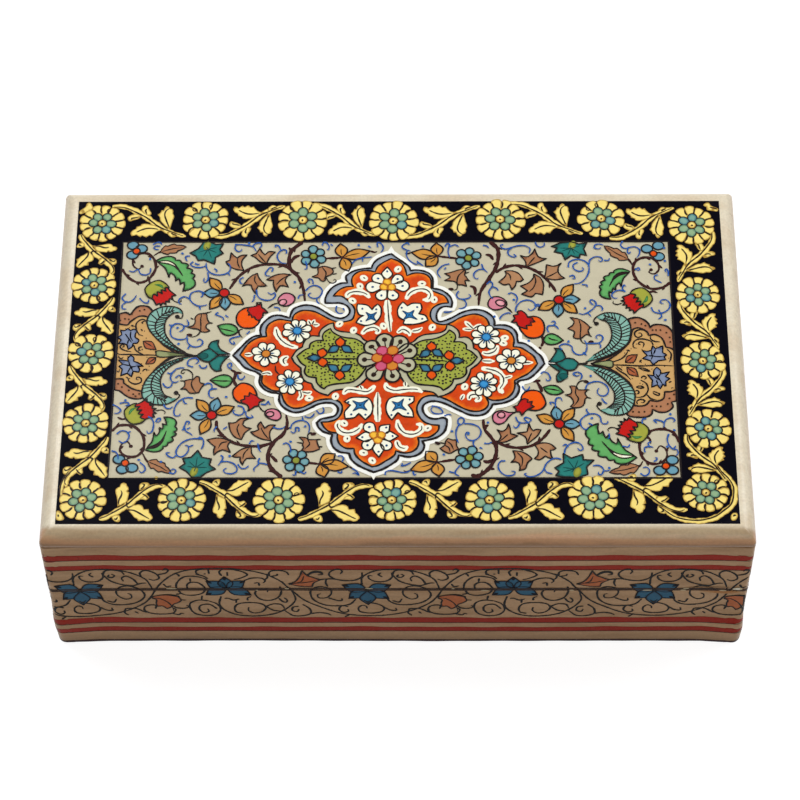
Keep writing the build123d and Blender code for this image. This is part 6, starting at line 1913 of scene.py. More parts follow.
# Butterflies of the medallion: the white outline, the tips of the star on it, and its dots
BUTTERFLIES = [
    ([(-10.6, 16.3, 1), (-8.9, 16.2), (-7.7, 15.7), (-6.8, 14.5, 1), (-6.2, 15.5), (-5.3, 16.3, 1),
      (-4.5, 15.2), (-4.4, 13.5), (-4.8, 12), (-5.9, 10.4, 1), (-7, 9.9), (-8.6, 9.6), (-10.9, 10.5, 1),
      (-10, 12), (-8.9, 12.7, 1), (-10.1, 13), (-10.7, 14.5)],
     [(-8.4, 13.7), (-5.6, 13.7), (-5.7, 11), (-8.4, 10.9)], [(-9.3, 14.8), (-5.7, 14.6), (-9.6, 10.9)]),
    ([(1.2, 17, 1), (2.4, 15.7, 1), (3.6, 16.5), (5.8, 16.5, 1), (6.1, 14.9), (5.3, 13.2, 1), (7, 12.7),
      (7.7, 11.2, 1), (5.8, 10.3), (3.4, 9.9), (1.4, 10.1), (1.6, 11.2, 1), (0.2, 12.2), (-0.2, 14),
      (0.2, 15.6)], [(1.1, 14.1), (4.1, 14.3), (4.9, 11.4), (1.4, 11.4)],
     [(0.9, 15.1), (4.9, 15.3), (6.2, 11.6)]),
    ([(-13.6, -13.8, 1), (-12, -12.7), (-9.7, -12.5), (-7.5, -12.8), (-6.4, -14.8), (-6.7, -17.4),
      (-8.2, -19.3, 1), (-9.1, -18.3), (-9.9, -17.4, 1), (-11, -18.6), (-13.3, -19, 1), (-13.5, -17),
      (-12.6, -15.6), (-12, -14.9, 1)], [(-11.5, -13.6), (-7.5, -13.2), (-7.8, -16.5), (-11.4, -16.7)],
     [(-12.6, -14), (-11.8, -17.7), (-8.2, -17.8)]),
    ([(4.1, -12.3, 1), (4, -13.8), (2.6, -14.8, 1), (3.7, -16.6), (4, -18.5, 1), (1.4, -18.2), (0, -17.1, 1),
      (-1.5, -19.4, 1), (-2.7, -17.5), (-3, -15), (-2.2, -13), (-0.2, -12.2), (2, -12.2)],
     [(-1.5, -13.8), (1.5, -13), (2.2, -16.5), (-1.4, -16.7)], [(3, -13.2), (2.6, -17.4), (-1.6, -17.9)]),
]
# Sprays: pointed petals as foot and tip, round petals as middle and two radii, then the yellow eye
SPRAYS = [
    ([((-3, 24), (-2.9, 28.1))],
     [(-5.3, 24.4, 1.8, 1.5), (-0.2, 24.2, 1.55, 1.5), (-6.7, 21.7, 2, 1.55), (1.1, 22, 2, 1.5),
      (-4.4, 19, 1.55, 1.45), (-1.4, 19, 1.5, 1.45)], [(-2.9, 23.2), (-3.7, 21.7), (-1.8, 21.6)]),
    ([((-4.6, -23.4), (-2, -20.7)), ((-6, -24.2), (-10.5, -24.7)), ((-4, -24.2), (0.2, -24.2)),
      ((-5, -25.8), (-4.7, -30.5))],
     [(-7.2, -21.5, 1.6, 1.35), (-7.6, -26.9, 1.5, 1.35), (-2.8, -27, 1.5, 1.3)],
     [(-6, -23.9), (-4.2, -23.9), (-5, -25.4)]),
]


def make_medallion_flowers():
    """White flowers of the medallion, and the full flower at its middle."""
    coat = Coat("medallion_flowers", on_top, "lid", first=0.32, seed=111)
    for outline, tips, dots in BUTTERFLIES:
        coat.inked(smooth(outline, True), "white", layer=2, width=0.3)
        middle = np.mean(tips, axis=0)
        star = []
        for k, tip in enumerate(tips):
            star += [(*tip, 1), tuple(0.5 * middle + 0.25 * (np.array(tip) + np.array(tips[(k + 1) % 4])))]
        coat.inked(smooth(star, True, 0.3), "sky", "star_blue", 5, 0.22)
        heart = [(*(middle + 0.28 * (np.array(p[:2]) - middle)), *p[2:]) for p in star]
        coat.patch(smooth(heart, True, 0.3), "star_blue", 7)
        for x, y in dots:
            coat.dot(x, y, 0.3, "blue_deep", 5)
    for pointed, round_ones, eye in SPRAYS:
        for (bx, by), (tx, ty) in pointed:
            length, turn = heading((bx, by), (tx, ty))
            coat.inked(moved(petal(length, 2.8, 0.5), bx, by, turn), "white", layer=2, width=0.28)
            coat.dot(0.35 * bx + 0.65 * tx, 0.35 * by + 0.65 * ty, 0.3, "blue_deep", 4)
        middle = np.mean(eye, axis=0)
        for x, y, rx, ry in round_ones:
            away, turn = heading(middle, (x, y))
            shape = round_petal(1.2, away + (rx + ry) / 2, 23)
            coat.inked(moved(shape, *middle, turn), "white", layer=2, width=0.26)
            coat.dot(x, y, 0.34, "blue_deep", 4)
        for x, y in eye:
            coat.inked(oval(x, y, 1.1, 1.0), "yellow", "amber", 5, 0.22)

    daisies = [
        ((-26, 7.9), "sky"), ((22.7, 5.9), "sky"), ((-27.6, -7.8), "sky"), ((21.9, -8.6), "sky"),
        ((-33.9, 0.8), "amber"), ((29, -1.4), "amber"),
    ]
    for (x, y), eye in daisies:
        start = coat.hand.uniform(0, 40)
        count = 7 if eye == "amber" else 8
        for k in range(count):
            turn = start + 360 / count * k + coat.hand.uniform(-3, 3)
            outline = moved(round_petal(0.7, 3.8 * coat.hand.uniform(0.93, 1.05), 168 / count), x, y, turn)
            coat.inked(outline, "white", layer=2, width=0.24)
            line = [around(x, y, turn, away) for away in (1.1, 1.6, 2.2)]
            coat.stroke(line, 0.42, "blue_deep", 4, (1.2, 0.5))
        coat.inked(oval(x, y, 1.15), eye, "star_blue" if eye == "sky" else "ink", 5, 0.22)
    pen(coat, [(-31.4, -2.8), (-31.2, -4.5), (-30.1, -5.7)], "ink", 0.26, 3)

    for line in ([(-2.1, 7.6), (-2.6, 12.6), (-2.9, 17.6)], [(-5.2, -10.9), (-5.2, -15), (-5.1, -19.9)]):
        coat.stroke(smooth(line), 1.9, "white", 1, (0.5, 1.0))
        pen(coat, [(x + 0.1, y) for x, y in line], "ink", 0.24, 2)

    centre = np.array((-2.8, -1.0))
    spots = [
        (-6.85, 2.9), (-3.5, 5.1), (0.6, 4.4), (3, 1.7), (2.7, -2.8), (-1.4, -6.1), (-6.2, -5.7),
        (-8.6, -1.1),
    ]
    for spot in spots:
        away, turn = heading(centre, spot)
        coat.inked(moved(round_petal(1.2, 1.85 + away, 21), *centre, turn), "cream", layer=6, width=0.36)
        coat.dot(*spot, 0.7, "umber", 8)
        coat.stroke(np.linspace(spot, 0.45 * centre + 0.55 * np.array(spot), 4), 0.34, "ink", 8, (1, 1))
    hearts = {"rose": (
        (-4.1, 1.6), (0.1, -0.85), (-4.3, -3.1),
    ), "amber": ((-1.4, 1.7), (-1.5, -3), (-5.3, -0.55))}
    for paint, places in hearts.items():
        for place in places:
            coat.inked(oval(*place, 1.5, 1.35, 30), paint, "crimson", 9, 0.16)
    coat.inked(oval(-2.75, -0.95, 1.4), "crimson", "crimson", 12, 0.16)
    coat.finish()


WHITE_CURLS = [
    [(-13.4, 18.3), (-12.9, 19.7), (-10.9, 20.3), (-8.6, 19.7), (-7.4, 18.3)],
    [(-9.4, 6.9), (-8.2, 8.4), (-6.4, 9), (-5, 8.1), (-5.8, 7)],
    [(-0.3, 7.3), (1.2, 8.4), (2.7, 7.5), (3, 6.3)], [(3.3, 7.8), (5.1, 8.1), (6.3, 9)],
    [(-9.7, -8.9), (-9, -10.4)], [(1.8, -7.7), (2, -9.4)],
    [(-14, -11.6), (-12.8, -10.2), (-10.3, -10.4), (-7.6, -10.7), (-5.8, -8.9)],
    [(-3.1, -8), (-2.8, -9.5), (-0.9, -10.4), (1.8, -10.1), (4.8, -10.1), (6.3, -11)],
    [(2, 17.8), (3, 19.8), (5, 21), (7.2, 20.9), (8.4, 19.4), (7.8, 17.8), (6.3, 17.7)],
    [(-31.6, 9.2), (-31, 6.5), (-29.5, 4.5), (-27.5, 3.2), (-25.7, 2.8)], [(-22.6, 9.9), (-23.3, 11.4)],
    [(-22.2, 10), (-21.6, 11.5)], [(-22, 9.8), (-20.3, 9.9)], [(19.4, 8.5), (17.2, 10.9)],
    [(19, 8.3), (16.6, 8.5)], [(19.4, 8.5), (21.4, 10)], [(21.5, 1.2), (23, 0.8), (24.8, 1.6), (25.7, 3.4)],
    [(21.5, -1.4), (24.8, -1.5)], [(31.6, -2), (34.6, -1.9)], [(-39.4, 0.6), (-37.2, 0.6)],
    [(27.2, -6.7), (29.2, -6)],
    [(21.3, -3.7), (23.5, -4), (25.6, -4.9), (26.9, -6.6), (26.8, -8.4), (26, -10), (26.8, -11.3)],
    [(18, -13.4), (18.4, -12), (19.8, -11.7), (20.7, -12.8), (19.6, -13.8)], [(16, -13.3), (16.8, -11.6)],
    [(-34.9, -5.4), (-33.4, -5), (-32.2, -5.6)],
    [(-0.1, -19.2), (0.3, -21.5), (1.9, -23.3), (4.3, -23.5), (6, -22.2), (5.8, -20.8), (4.6, -20.6)],
    [(-0.3, -25.4), (0.3, -27.2), (1.6, -27.8), (2.6, -27.2)],
    [(-14.4, -19.5), (-15.3, -21), (-14, -22.9), (-11.7, -23.1), (-9.8, -21.9), (-9, -20.4)],
    [(-28.1, 0.1), (-29.4, -0.9), (-29.1, -2.2), (-28.1, -2.5)],
    [(-24.9, -10.2), (-24.6, -12.2), (-25.5, -13.3)], [(-24.4, -10.8), (-22.9, -11.2), (-21.9, -10.7)],
]
WHITE_BLOBS = [
    (-11.9, 17.4), (-10, 22), (-9, 24.6), (-0.15, 27.4), (-3.8, 9.4), (-15.2, 10.1), (-11.5, 8.1), (8.8, 9),
    (9.3, 17.7), (6.1, 22.8), (-15.9, -12.2), (-12.8, -24.9), (-8.6, -29.1), (-6.4, -31.4), (7.5, -21.8),
    (17, -9.3), (-13.6, -20.3), (27.4, 5.7), (27, 4.1), (-22.6, -12.8),
]


def make_medallion_scrolls():
    """White commas and scrolls on the orange ground, each with a pen line along it."""
    coat = Coat("medallion_scrolls", on_top, "lid", first=0.30, seed=121)
    for points in WHITE_CURLS:
        line = smooth(points) if len(points) > 2 else np.linspace(*points, 6)
        coat.stroke(line, 1.85 if reach(line)[-1] > 4 else 1.35, "white", 1, (0.75, 0.65))
        inner = line[len(line) // 10: max(3, int(len(line) * 0.9))]
        coat.stroke(inner, 0.34, "ink", 2, (0.9, 0.7))
    for x, y in WHITE_BLOBS:
        turn = coat.hand.uniform(0, 180)
        coat.patch(oval(x, y, 1.15, 0.95, turn), "white", 1)
        coat.patch(oval(x + 0.1, y, 0.36, 0.2, turn), "ink", 2)
    coat.finish()


# ------------------------------------------------------------------ sides
def half_of(side):
    """Half the run of one side, to the middle of its rounded corners."""
    half = HALF_X if side in ("front", "back") else HALF_Y
    return half - (1 - math.pi / 4) * corner_at(SEAM)


def wavy_run(half, z, hand, sway=0.12):
    """A hand-drawn level line from corner to corner, with its points set closer round the corners."""
    turn = 4
    ends = np.linspace(half - turn, half, 13)
    us = np.concatenate([-ends[::-1], np.linspace(turn - half, half - turn, 60)[1:-1], ends])
    a, b = hand.uniform(0, 6), hand.uniform(0, 6)
    return np.column_stack([us, z + sway * np.sin(us / 13 + a) + 0.5 * sway * np.sin(us / 5 + b)])


def make_stripes():
    """Red-brown stripes above and below the side bands, and the dark line round the foot."""
    # Height and breadth of the two stripes of each part
    for name, body, levels in (
        ("lid_stripes", "lid", ((43.65, 2.5), (38.7, 2.2))),
        ("base_stripes", "base", ((11.5, 2.7), (6.75, 2.2))),
    ):
        coat = Coat(name, None, body, first=0.02, seed=131)
        for side, _ in SIDES:
            coat.place = on_side(side)
            half = half_of(side)
            for z, width in levels:
                coat.stroke(wavy_run(half, z, coat.hand), width, "stripe", 0, (1, 1))
                coat.stroke(wavy_run(half, z - width / 2, coat.hand, 0.06), 0.3, "grime", 1, (1, 1))
            if body == "base":
                coat.stroke(wavy_run(half, 0.7, coat.hand, 0.05), 1.0, "foot", 0, (1, 1))
        if body == "lid":
            coat.place = on_side("front")
            flare = [
                (-88.3, 45.8, 1), (-86.6, 45), (-84, 44.9), (-80, 44.6), (-80, 42.6), (-84.5, 42.5),
                (-86.8, 41.9), (-88.3, 42.1, 1),
            ]
            coat.patch(smooth(flare, True), "stripe", 0)
        coat.finish()


# The side band repeats along the sides.  Its lines are set down as they stand on the front, x from
# the middle and z up from the table: a lotus turned over at x = -8 and an upright one at x = 29.5.
REPEAT = 73.0
WAVE = [
    (-28.5, 29.5), (-27, 27), (-24, 22), (-20, 18.5), (-15, 15.3), (-10, 14), (-5, 13.9), (0, 15), (4, 17),
    (8, 20.5), (10, 24), (11.5, 28), (14, 32.5), (17, 35.8), (21, 37.7), (26, 38.3), (31, 38.2), (36, 37),
    (40, 35), (43.5, 31.5),
]
LOTUS_PETALS = [
    ((-7.8, 27), (-14.2, 30), 4.4), ((-7.8, 27), (-1.8, 30), 4.4), ((-7.9, 27.4), (-12.6, 22.9), 4.1),
    ((-7.7, 27.4), (-2.4, 22.8), 4.1), ((29.4, 28), (24.4, 31.9), 4.1), ((29.4, 28), (34.2, 32), 4.1),
    ((29.4, 28.8), (24, 24.7), 4.1), ((29.4, 28.8), (35.6, 24.6), 4.2), ((29.4, 27.6), (29.1, 34.2), 3.7),
]
LOTUS_BUD = [(-7.9, 27, 1), (-5.7, 23.4), (-7.7, 19.8, 1), (-9.8, 23.2)]
LOTUS_BUD_TIP = [(-6.7, 22.6), (-7.7, 20.2, 1), (-8.8, 22.4), (-7.7, 21.6)]
TULIPS = [
    [(10.5, 24), (13.5, 24.8), (16.8, 24, 1), (17.5, 22), (16.5, 20.7), (15.5, 20), (14.7, 18.5),
     (13.6, 17.5, 1), (12.5, 19), (11.2, 18.8, 1), (11, 20.5), (11.2, 22.3), (10.2, 23, 1)],
    [(45.2, 30.4, 1), (47, 31.7), (48.1, 34), (48.9, 37.2, 1), (50.2, 34.7), (51.5, 33.8), (53.4, 32.5, 1),
     (51.7, 31), (51.2, 29, 1), (48.2, 29.3)],
]
BAND_LINES = [
    [(-9.2, 30), (-8.9, 34), (-5.5, 37.2), (0, 37.9), (5, 36.5), (8.9, 33.2), (10.2, 29.5), (10.5, 27.5)],
    [(-10.8, 22.5), (-12.5, 19.8), (-16, 19), (-19, 19.6), (-21.5, 22), (-22.3, 25), (-22, 27.5), (-20, 28.9),
     (-17.5, 28), (-17, 25.5), (-18.3, 23.3), (-20.2, 23.2), (-20.5, 24.8), (-19.6, 25.4)],
    [(-17.8, 23.2), (-15.5, 21.8), (-14.4, 21.8), (-14.4, 23)],
    [(-17.3, 34.5), (-17.3, 36), (-16.2, 37.5), (-14.8, 38), (-14, 36.8), (-14.5, 35.5)],
    [(-17.3, 34.5), (-16, 33), (-13.5, 32.1), (-11, 32.3), (-9.2, 34), (-9, 36.3)],
    [(-22, 29.4), (-21.9, 30.5), (-20.5, 32.2), (-17, 33), (-14, 32.2)],
    [(-18, 33.2), (-18.3, 31), (-17.8, 29)], [(-23.5, 34), (-21.5, 36), (-20, 36.3), (-18.8, 35.3)],
    [(-3, 23.6), (-2, 21.2), (0, 19.8), (3, 19.7), (6, 20.8), (8, 23.2), (8.3, 25.5), (7, 28), (4.5, 29.4),
     (2.5, 28.9), (1.3, 27), (1.5, 24.5), (3.3, 22.6), (4.8, 23.2), (4.8, 25), (4, 25.6)],
    [(-1.5, 21.8), (0.2, 21), (1, 22.8)], [(-3.6, 18.3), (-2, 16.8), (-0.5, 16.7), (-0.7, 18)],
    [(-7.5, 20.8), (-5, 19.8), (-3.6, 18), (-4.3, 16), (-7, 15.2), (-9.8, 16), (-10.2, 18), (-9.2, 19.3),
     (-8.2, 18.8), (-8, 17.6)],
    [(-12.8, 18.6), (-14.5, 19), (-15.2, 17), (-14, 15.6), (-12.8, 16.2), (-13, 17.4)],
    [(-25.5, 18.8), (-27, 18.3), (-27.2, 16.5), (-26, 16), (-25.5, 17.3)],
    [(-24.5, 19.8), (-22.8, 17.5), (-22.6, 15), (-24.5, 13.8), (-27, 13.8), (-28.3, 15.2), (-29.2, 16.5)],
    [(-22.6, 14.9), (-20.3, 15.4), (-18.2, 14.9), (-17.3, 14)], [(-13.8, 13.2), (-12.6, 14.4)],
    [(3, 17.8), (2.5, 15.5), (3.5, 14)], [(3, 17.6), (5.5, 17.6), (7.5, 16), (8.3, 15.4)],
    [(5.2, 16), (6, 15)], [(-3.9, 34), (-4.9, 35.2), (-4.2, 36.2)],
    [(-1.5, 36.2), (-1.5, 33.8), (-3, 31.9), (-5.5, 31.6), (-7.2, 33), (-7.4, 34.7), (-6.4, 34.5)],
    [(-1.4, 35), (0.5, 31.8), (3.5, 30), (6, 29.6)],
    [(-1.4, 35), (-0.8, 37), (1, 37.6), (3.3, 36.8), (4, 35.2)],
    [(0.2, 35.3), (-0.2, 34.2), (0.8, 33.8), (1.5, 34.8), (0.7, 35.5)],
    [(7, 30.5), (6, 33), (4.3, 34.5), (3.2, 33.5), (3.5, 31.8)], [(5.5, 29.3), (8, 30.8), (9.3, 30.9)],
    [(16.6, 27.5), (17, 31), (19, 34), (21.5, 34.3), (24, 33.2), (25.2, 31.2)], [(23, 24.3), (22.7, 22.3)],
    [(31.5, 20.5), (31.6, 22.5)],
    [(19.5, 28), (19.5, 30), (20.5, 31.2), (22.3, 31), (23.7, 29), (24, 27.5), (23, 25.5), (20.5, 24.5),
     (18.3, 25), (17, 26.8)],
    [(24.5, 21.6), (22, 22), (19.8, 20.5), (19.6, 17.5), (20.8, 14.8), (23.5, 13.8), (26, 14.5), (27.3, 17),
     (26.5, 20), (24.5, 21.6)],
    [(26.4, 17.5), (24.5, 19.8), (22.3, 19.2), (21.9, 17), (23, 15.4), (24.2, 16), (24, 17.5)],
    [(39, 18.6), (41, 20), (43, 19.6), (43.8, 17.6)],
    [(27.8, 24), (27.2, 20), (28.2, 17), (31.5, 14.3), (36, 13.6), (41, 14.8), (44.5, 17.8), (46.7, 22),
     (46.3, 25.5), (45.5, 28.5)],
    [(33, 15), (31.3, 15.8), (31, 18), (32, 20), (35, 20.7), (38, 20), (39, 18), (37.8, 15.8), (35.8, 15.2),
     (34.5, 16.5), (34.6, 18.3)], [(39.2, 18.5), (41, 16.6), (43, 16.2)],
    [(28.6, 22.8), (29.4, 23), (31, 22), (32.4, 22.6)], [(34.5, 21.8), (34.6, 23.2), (35.5, 23.9)],
    [(34, 32), (36, 33.3), (38.5, 33.3), (39.4, 32), (38.8, 30.8)],
    [(36.5, 30.7), (37.6, 30.9), (37.8, 29.3)], [(30, 34.5), (30, 36.5)],
    [(43, 29), (43.3, 26.5), (42.3, 23.3), (40, 21.8), (37.8, 22.5), (36.6, 25), (37, 27), (38.4, 27.8),
     (39.8, 27.2), (39.7, 26.1)], [(42.5, 23), (43.4, 21.3), (44.3, 20.8), (44.6, 22), (43.8, 23.3)],
    [(28.5, 34.5), (28, 36.5), (29, 38)], [(40, 35.5), (40, 33.5), (39.3, 32.5)],
    [(31, 38), (34, 36.5), (35, 35), (33, 33.2), (31.5, 32.6)],
    [(40.5, 34.8), (40.7, 36.5), (42.3, 37.3), (44.8, 36.6), (45.5, 34.9)],
    [(41, 34.3), (42.5, 34.8), (42.6, 35.6)], [(15.3, 19), (16, 18), (18, 17.7), (19.3, 18.5), (18.6, 19.3)],
    [(16.3, 25), (17.5, 25.5), (17.3, 27)],
    [(10.6, 17.5), (10.8, 19.2), (9.5, 19.5), (8, 18.6), (7.8, 16.5), (9.5, 15), (12.5, 14.6), (15, 15.2),
     (15.8, 17), (15, 18)], [(14.6, 15), (16.5, 14.3), (17, 15), (17.8, 14.7)],
    [(8.2, 34), (8, 36), (9, 37.2), (10.5, 37), (12.2, 35.3), (12.6, 33.3), (11.2, 32.3), (10, 33)],
    [(12.5, 35.2), (14.5, 36), (15.2, 37.5), (14.5, 38.2), (13.8, 37.3)],
    [(16.5, 35.8), (17.5, 35.3), (17.8, 34.2)], [(13.5, 30.5), (14.3, 29), (15.5, 29.5)],
    [(23, 35), (22.2, 36), (22.4, 37.3), (24, 38)], [(25.3, 38), (25.4, 35.5)],
    [(22, 35.5), (24, 34.3), (25, 33)], [(20.5, 33.3), (20.4, 31.5)],
    [(50, 34.5), (51.5, 36.6), (53.5, 36.6), (54, 35.3), (52.8, 35)], [(49.8, 33.9), (51.5, 32.8)],
    [(11, 24), (14, 24.9), (16.9, 24), (17.2, 22.3), (18.8, 22)],
]
TULIP_LINES = [
    [(10.2, 23.2), (12, 23), (14, 21), (15, 18.5), (15.3, 16)], [(45.6, 30.4), (48.4, 31.6), (49.3, 34.6)],
    [(47.4, 30.8), (50.2, 31.4), (52.2, 32.2)],
]


def lotus_repeat(coat, shift):
    """One repeat of the side band: its two lotuses, its tulips and the scrolls round them."""
    def along(points):
        return [(p[0] + shift, *p[1:]) for p in points]

    for line in BAND_LINES:
        pen(coat, along(line), "side_pen", 0.38, 1, (1.0, 0.75))
    for line in TULIPS:
        coat.inked(smooth(along(line), True), "side_leaf", "side_pen", 2, 0.3)
    for line in TULIP_LINES:
        pen(coat, along(line), "side_pen", 0.26, 4)
    for root, tip, width in LOTUS_PETALS:
        root, tip = np.array(along([root, tip]))
        length, turn = heading(root, tip)
        coat.inked(moved(petal(length, width, 0.55), *root, turn), "side_blue", "navy", 2, 0.24)
        coat.stroke(np.linspace(tip, tip * 0.72 + root * 0.28, 5), 0.9, "navy", 4, (0.5, 0.3))
    coat.inked(smooth(along(LOTUS_BUD), True), "side_blue", "navy", 4, 0.24)
    coat.patch(smooth(along(LOTUS_BUD_TIP), True), "side_pen", 6)
    for spot in ((-7.9 + shift, 27.4), (29.4 + shift, 28.1)):
        coat.dot(*spot, 0.6, "side_pen", 6)
    coat.dot(24.3 + shift, 35.5, 0.3, "side_pen", 1)


def make_side_bands():
    """Lotus scroll round the four sides, drawn across the parting line and cut there."""
    coat = Coat("lid_band", None, "lid", first=0.03, seed=141)
    for side, shift in SIDES:
        coat.place = on_side(side)
        coat.limit = half_of(side)
        turns = range(-2, 3)
        wave = [(x + REPEAT * k + shift, z) for k in turns for x, z in WAVE]
        coat.stroke(smooth(wave), 0.52, "side_pen", 1, (1, 1))
        for k in turns:
            lotus_repeat(coat, REPEAT * k + shift)
    for name, body, low, high in (("lid_band", "lid", SEAM, None), ("base_band", "base", None, SEAM)):
        coat.name, coat.body = name, body
        coat.finish(low=low, high=high)


def make_wear_and_shade():
    """Grime in the parting line and under the lid's edge, and chips along the rims."""
    for name, body in (("lid_wear_and_shade", "lid"), ("base_wear_and_shade", "base")):
        coat = Coat(name, None, body, first=0.05, seed=151 if body == "lid" else 152)
        hand = coat.hand
        for side, _ in SIDES:
            coat.place = on_side(side)
            half = half_of(side)
            if body == "lid":
                # painted shade in the parting line, on the lid's side
                coat.stroke(wavy_run(half, SEAM + 0.36, hand, 0.03), 0.52, "grime", 3, (1, 1))
                # painted shade under the overhanging edge of the lid
                coat.stroke(wavy_run(half, ARRIS - 0.3, hand, 0.02), 0.5, "crease", 0, (1, 1))
            else:
                # painted shade in the parting line, on the base's side
                coat.stroke(wavy_run(half, SEAM - 0.36, hand, 0.03), 0.55, "grime", 3, (1, 1))
            edge = SEAM + 0.45 if body == "lid" else SEAM - 0.45
            for _ in range(6 if half > 60 else 4):
                u = hand.uniform(-half + 1, half - 1)
                z, rx, ry = edge + hand.uniform(-0.05, 0.1), hand.uniform(0.3, 1.3), hand.uniform(0.16, 0.3)
                coat.patch(oval(u, z, rx, ry), "chip", 4)
        coat.place = on_side("front")
        if body == "lid":
            # painted shadow of the wider gap under the lid at the front right end
            coat.stroke(smooth([(73, 28.6), (79, 28.9), (84.5, 28.8)]), 0.3, "crease", 3, (0.3, 0.8))
            coat.patch(smooth([(84.8, 28.1), (85.4, 28.9), (87.2, 29.0), (87.2, 28.0)], True), "chip", 5)
        else:
            coat.patch(smooth([
                (76, 27.3), (86.5, 27.4), (86.8, 26.3), (82, 25.7), (77.5, 26.5),
            ], True), "stain", 3)
        coat.finish()


# ------------------------------------------------------------------ boards inside, stage
def make_inside():
    """Black lacquer on the boards inside and bright steel on the brads."""
    looks = {"Colour": (*shade("15100F"), 1), "Stain": (*shade("2C211B"), 1), "Stain Amount": 0.5}
    inside_black = lacquered("inside_lacquer", aged_ground(), looks, 0.2, relief=0.3, relief_mm=0.15)
    steel = bpy.data.materials.new("brad_steel")
    steel.use_nodes = True
    n = Nodes(steel.node_tree)
    surface = steel.node_tree.nodes["Principled BSDF"]
    surface.inputs["Metallic"].default_value = 1.0
    surface.inputs["Base Color"].default_value = (*shade("8E8C88"), 1)
    where = n.add("ShaderNodeTexCoord").outputs["Object"]
    n.link(n.span(n.noise(where, 900), 0.3, 0.7, 0.25, 0.5), surface.inputs["Roughness"])
    for name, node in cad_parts.items():
        if name in ("lid_skin", "base_skin"):
            continue
        node.data.materials.clear()
        node.data.materials.append(steel if "brads" in name else inside_black)


def make_stage():
    """Pale floor, soft light and the camera."""
    scene = bpy.context.scene
    half_floor, floor_grey, floor_glow, lamp_size = 3, 0.36, 0.86, 0.8
    floor_mesh = bpy.data.meshes.new("floor")
    corners = [(x * half_floor, y * half_floor, 0) for x, y in ((-1, -1), (1, -1), (1, 1), (-1, 1))]
    floor_mesh.from_pydata(corners, [], [(0, 1, 2, 3)])
    floor = bpy.data.objects.new("floor", floor_mesh)
    scene.collection.objects.link(floor)
    material = bpy.data.materials.new("pale_floor")
    material.use_nodes = True
    n = Nodes(material.node_tree)
    material.node_tree.nodes.clear()
    out = n.add("ShaderNodeOutputMaterial")
    diffuse = n.add("ShaderNodeBsdfDiffuse")
    diffuse.inputs["Color"].default_value = (floor_grey, floor_grey, floor_grey, 1)
    glow = n.add("ShaderNodeEmission")
    n.link(n.math("MULTIPLY", n.seen(), floor_glow), glow.inputs["Strength"])
    both = n.add("ShaderNodeAddShader")
    n.link(diffuse.outputs[0], both.inputs[0])
    n.link(glow.outputs[0], both.inputs[1])
    n.link(both.outputs[0], out.inputs["Surface"])
    floor_mesh.materials.append(material)

    world = bpy.data.worlds.new("soft_room")
    scene.world = world
    world.use_nodes = True
    n = Nodes(world.node_tree)
    back = world.node_tree.nodes["Background"]
    back.inputs["Color"].default_value = (1, 1, 1, 1)
    n.link(n.span(n.seen(), 0.0, 1.0, colours().room_light, 1.0, soft=False), back.inputs["Strength"])

    middle_of_box = Vector((0, 0, 0.03))
    for name, place, power in (
        ("key_light", (-0.6, 0.55, 1.2), colours().key_power),
        ("side_light", (1.0, 0.45, 1.1), 0.96 * colours().key_power),
        ("fill_light", (0.35, -1.1, 0.8), 2.5),
    ):
        light = bpy.data.lights.new(name, "AREA")
        light.shape, light.size, light.energy = "DISK", lamp_size, power
        lamp = bpy.data.objects.new(name, light)
        lamp.location = place
        lamp.rotation_euler = (Vector(place) - middle_of_box).to_track_quat("Z", "Y").to_euler()
        scene.collection.objects.link(lamp)

    lens = bpy.data.cameras.new("camera")
    lens.lens, lens.sensor_width = 136.9, 36.0
    camera = bpy.data.objects.new("camera", lens)
    camera.location = (0.00605, -0.4334, 0.7027)
    camera.rotation_euler = [math.radians(a) for a in (32.92, 0.37, 0.18)]
    scene.collection.objects.link(camera)
    scene.camera = camera
    scene.view_settings.view_transform = "Standard"


# ------------------------------------------------------------------ add-on
def number_prop(name, description, default, **kind):
    """A length, a strength or a breadth that a user may change."""
    return bpy.props.FloatProperty(name=name, description=description, default=default, **kind)


def colour_prop(name, description, code):
    """A colour that a user may change."""
    return bpy.props.FloatVectorProperty(
        name=name, description=description, default=shade(code), min=0, max=1, subtype="COLOR", size=3
    )


class PapierBoxSettings(bpy.types.PropertyGroup):
    """Sizes and colours of the box's decoration"""

    ground_top: colour_prop("Top ground", "Ground on the rounded top edge", "EADFC6")
    # Side ground: the sides' colour with painted shade of the upright sides in it
    side_ground_and_shade: colour_prop("Side ground", "Ground on the upright sides", "C39C74")
    navy: colour_prop("Border", "Ground of the border", "090812")
    gold: colour_prop("Gold", "Petals and leaves of the border", "FFE582")
    field: colour_prop("Field", "Ground of the field", "CDC5AA")
    stripe: colour_prop("Stripes", "Stripes round the sides", "A0240F")
    side_blue: colour_prop("Lotus", "Lotus flowers of the side band", "30637F")
    border_length: number_prop("Border length", "Length of the border's outer edge", 0.1698, unit="LENGTH")
    border_depth: number_prop("Border depth", "Depth of the border's outer edge", 0.0994, unit="LENGTH")
    pen_weight: number_prop("Pen weight", "Breadth of the pen lines against the usual one", 1.45, min=0.2)
    room_light: number_prop("Room light", "Strength of the light from all round", 0.32, min=0)
    key_power: number_prop("Key light", "Power of the main lamp", 8.5, min=0, unit="POWER")


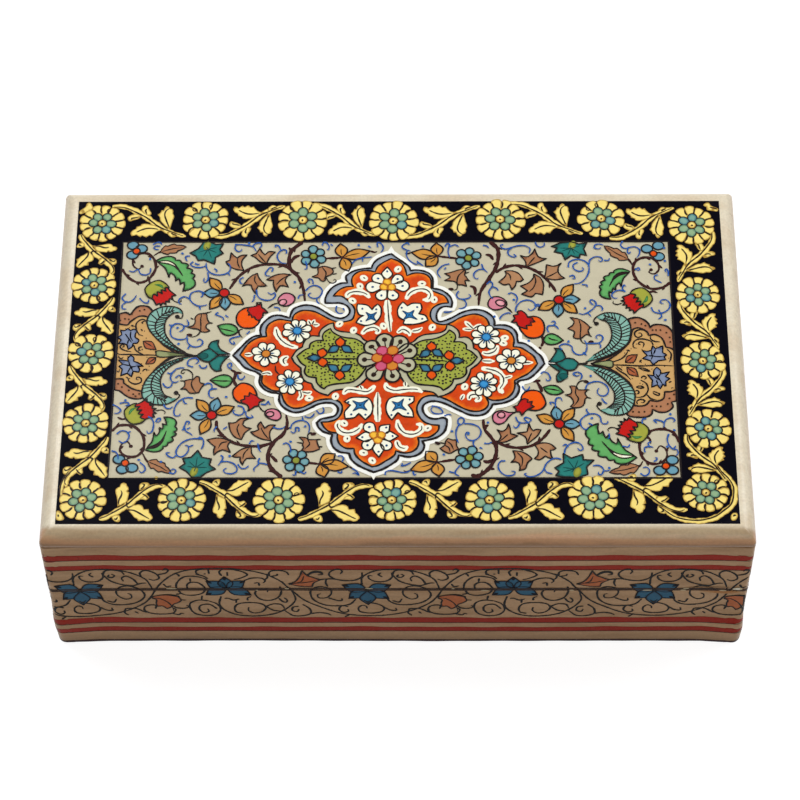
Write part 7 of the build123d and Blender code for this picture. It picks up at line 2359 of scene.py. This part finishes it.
# The steps in order: name, what the panel says, and what makes it
STEPS = (
    ("stage", "Stage", make_stage),
    ("skins", "Skins", make_skins),
    ("inside", "Inside", make_inside),
    ("border", "Border", make_border),
    ("field", "Field", make_field),
    ("field_vines", "Field vines", make_field_vines),
    ("field_leaves", "Field leaves", make_field_leaves),
    ("field_flowers", "Field flowers", make_field_flowers),
    ("field_fruit", "Field fruit", make_field_fruit),
    ("feathers", "Plumes", make_feathers),
    ("palmettes", "Palmettes", make_palmettes),
    ("field_scrolls", "Field scrolls", make_field_scrolls),
    ("medallion", "Medallion", make_medallion),
    ("cartouches", "Cartouches", make_cartouches),
    ("medallion_flowers", "Medallion flowers", make_medallion_flowers),
    ("medallion_scrolls", "Medallion scrolls", make_medallion_scrolls),
    ("stripes", "Stripes", make_stripes),
    ("side_bands", "Side bands", make_side_bands),
    ("wear", "Wear", make_wear_and_shade),
)


def operator_for(key, label, maker):
    """An operator class that makes one piece or group of pieces."""

    def execute(self, context):
        maker()
        return {"FINISHED"}

    return type(
        "PAPIERBOX_OT_" + key, (bpy.types.Operator,),
        {"bl_idname": "papier_box." + key, "bl_label": label, "__doc__": maker.__doc__, "execute": execute},
    )


OPERATORS = [operator_for(*step) for step in STEPS]


class PAPIERBOX_PT_panel(bpy.types.Panel):
    """Lists the settings and the steps"""

    bl_label = "Papier mache box"
    bl_space_type = "VIEW_3D"
    bl_region_type = "UI"
    bl_category = "Papier Box"

    def draw(self, context):
        for key in PapierBoxSettings.__annotations__:
            self.layout.prop(context.scene.papier_box, key)
        for operator in OPERATORS:
            self.layout.operator(operator.bl_idname)


def register():
    for cls in (PapierBoxSettings, *OPERATORS, PAPIERBOX_PT_panel):
        bpy.utils.register_class(cls)
    bpy.types.Scene.papier_box = bpy.props.PointerProperty(type=PapierBoxSettings)


def unregister():
    del bpy.types.Scene.papier_box
    for cls in (PAPIERBOX_PT_panel, *reversed(OPERATORS), PapierBoxSettings):
        bpy.utils.unregister_class(cls)


def main():
    """Makes the whole box and the stage, one step after another."""
    register()
    for key, _, _ in STEPS:
        getattr(bpy.ops.papier_box, key)()
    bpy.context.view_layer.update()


if __name__ == "__main__":
    main()
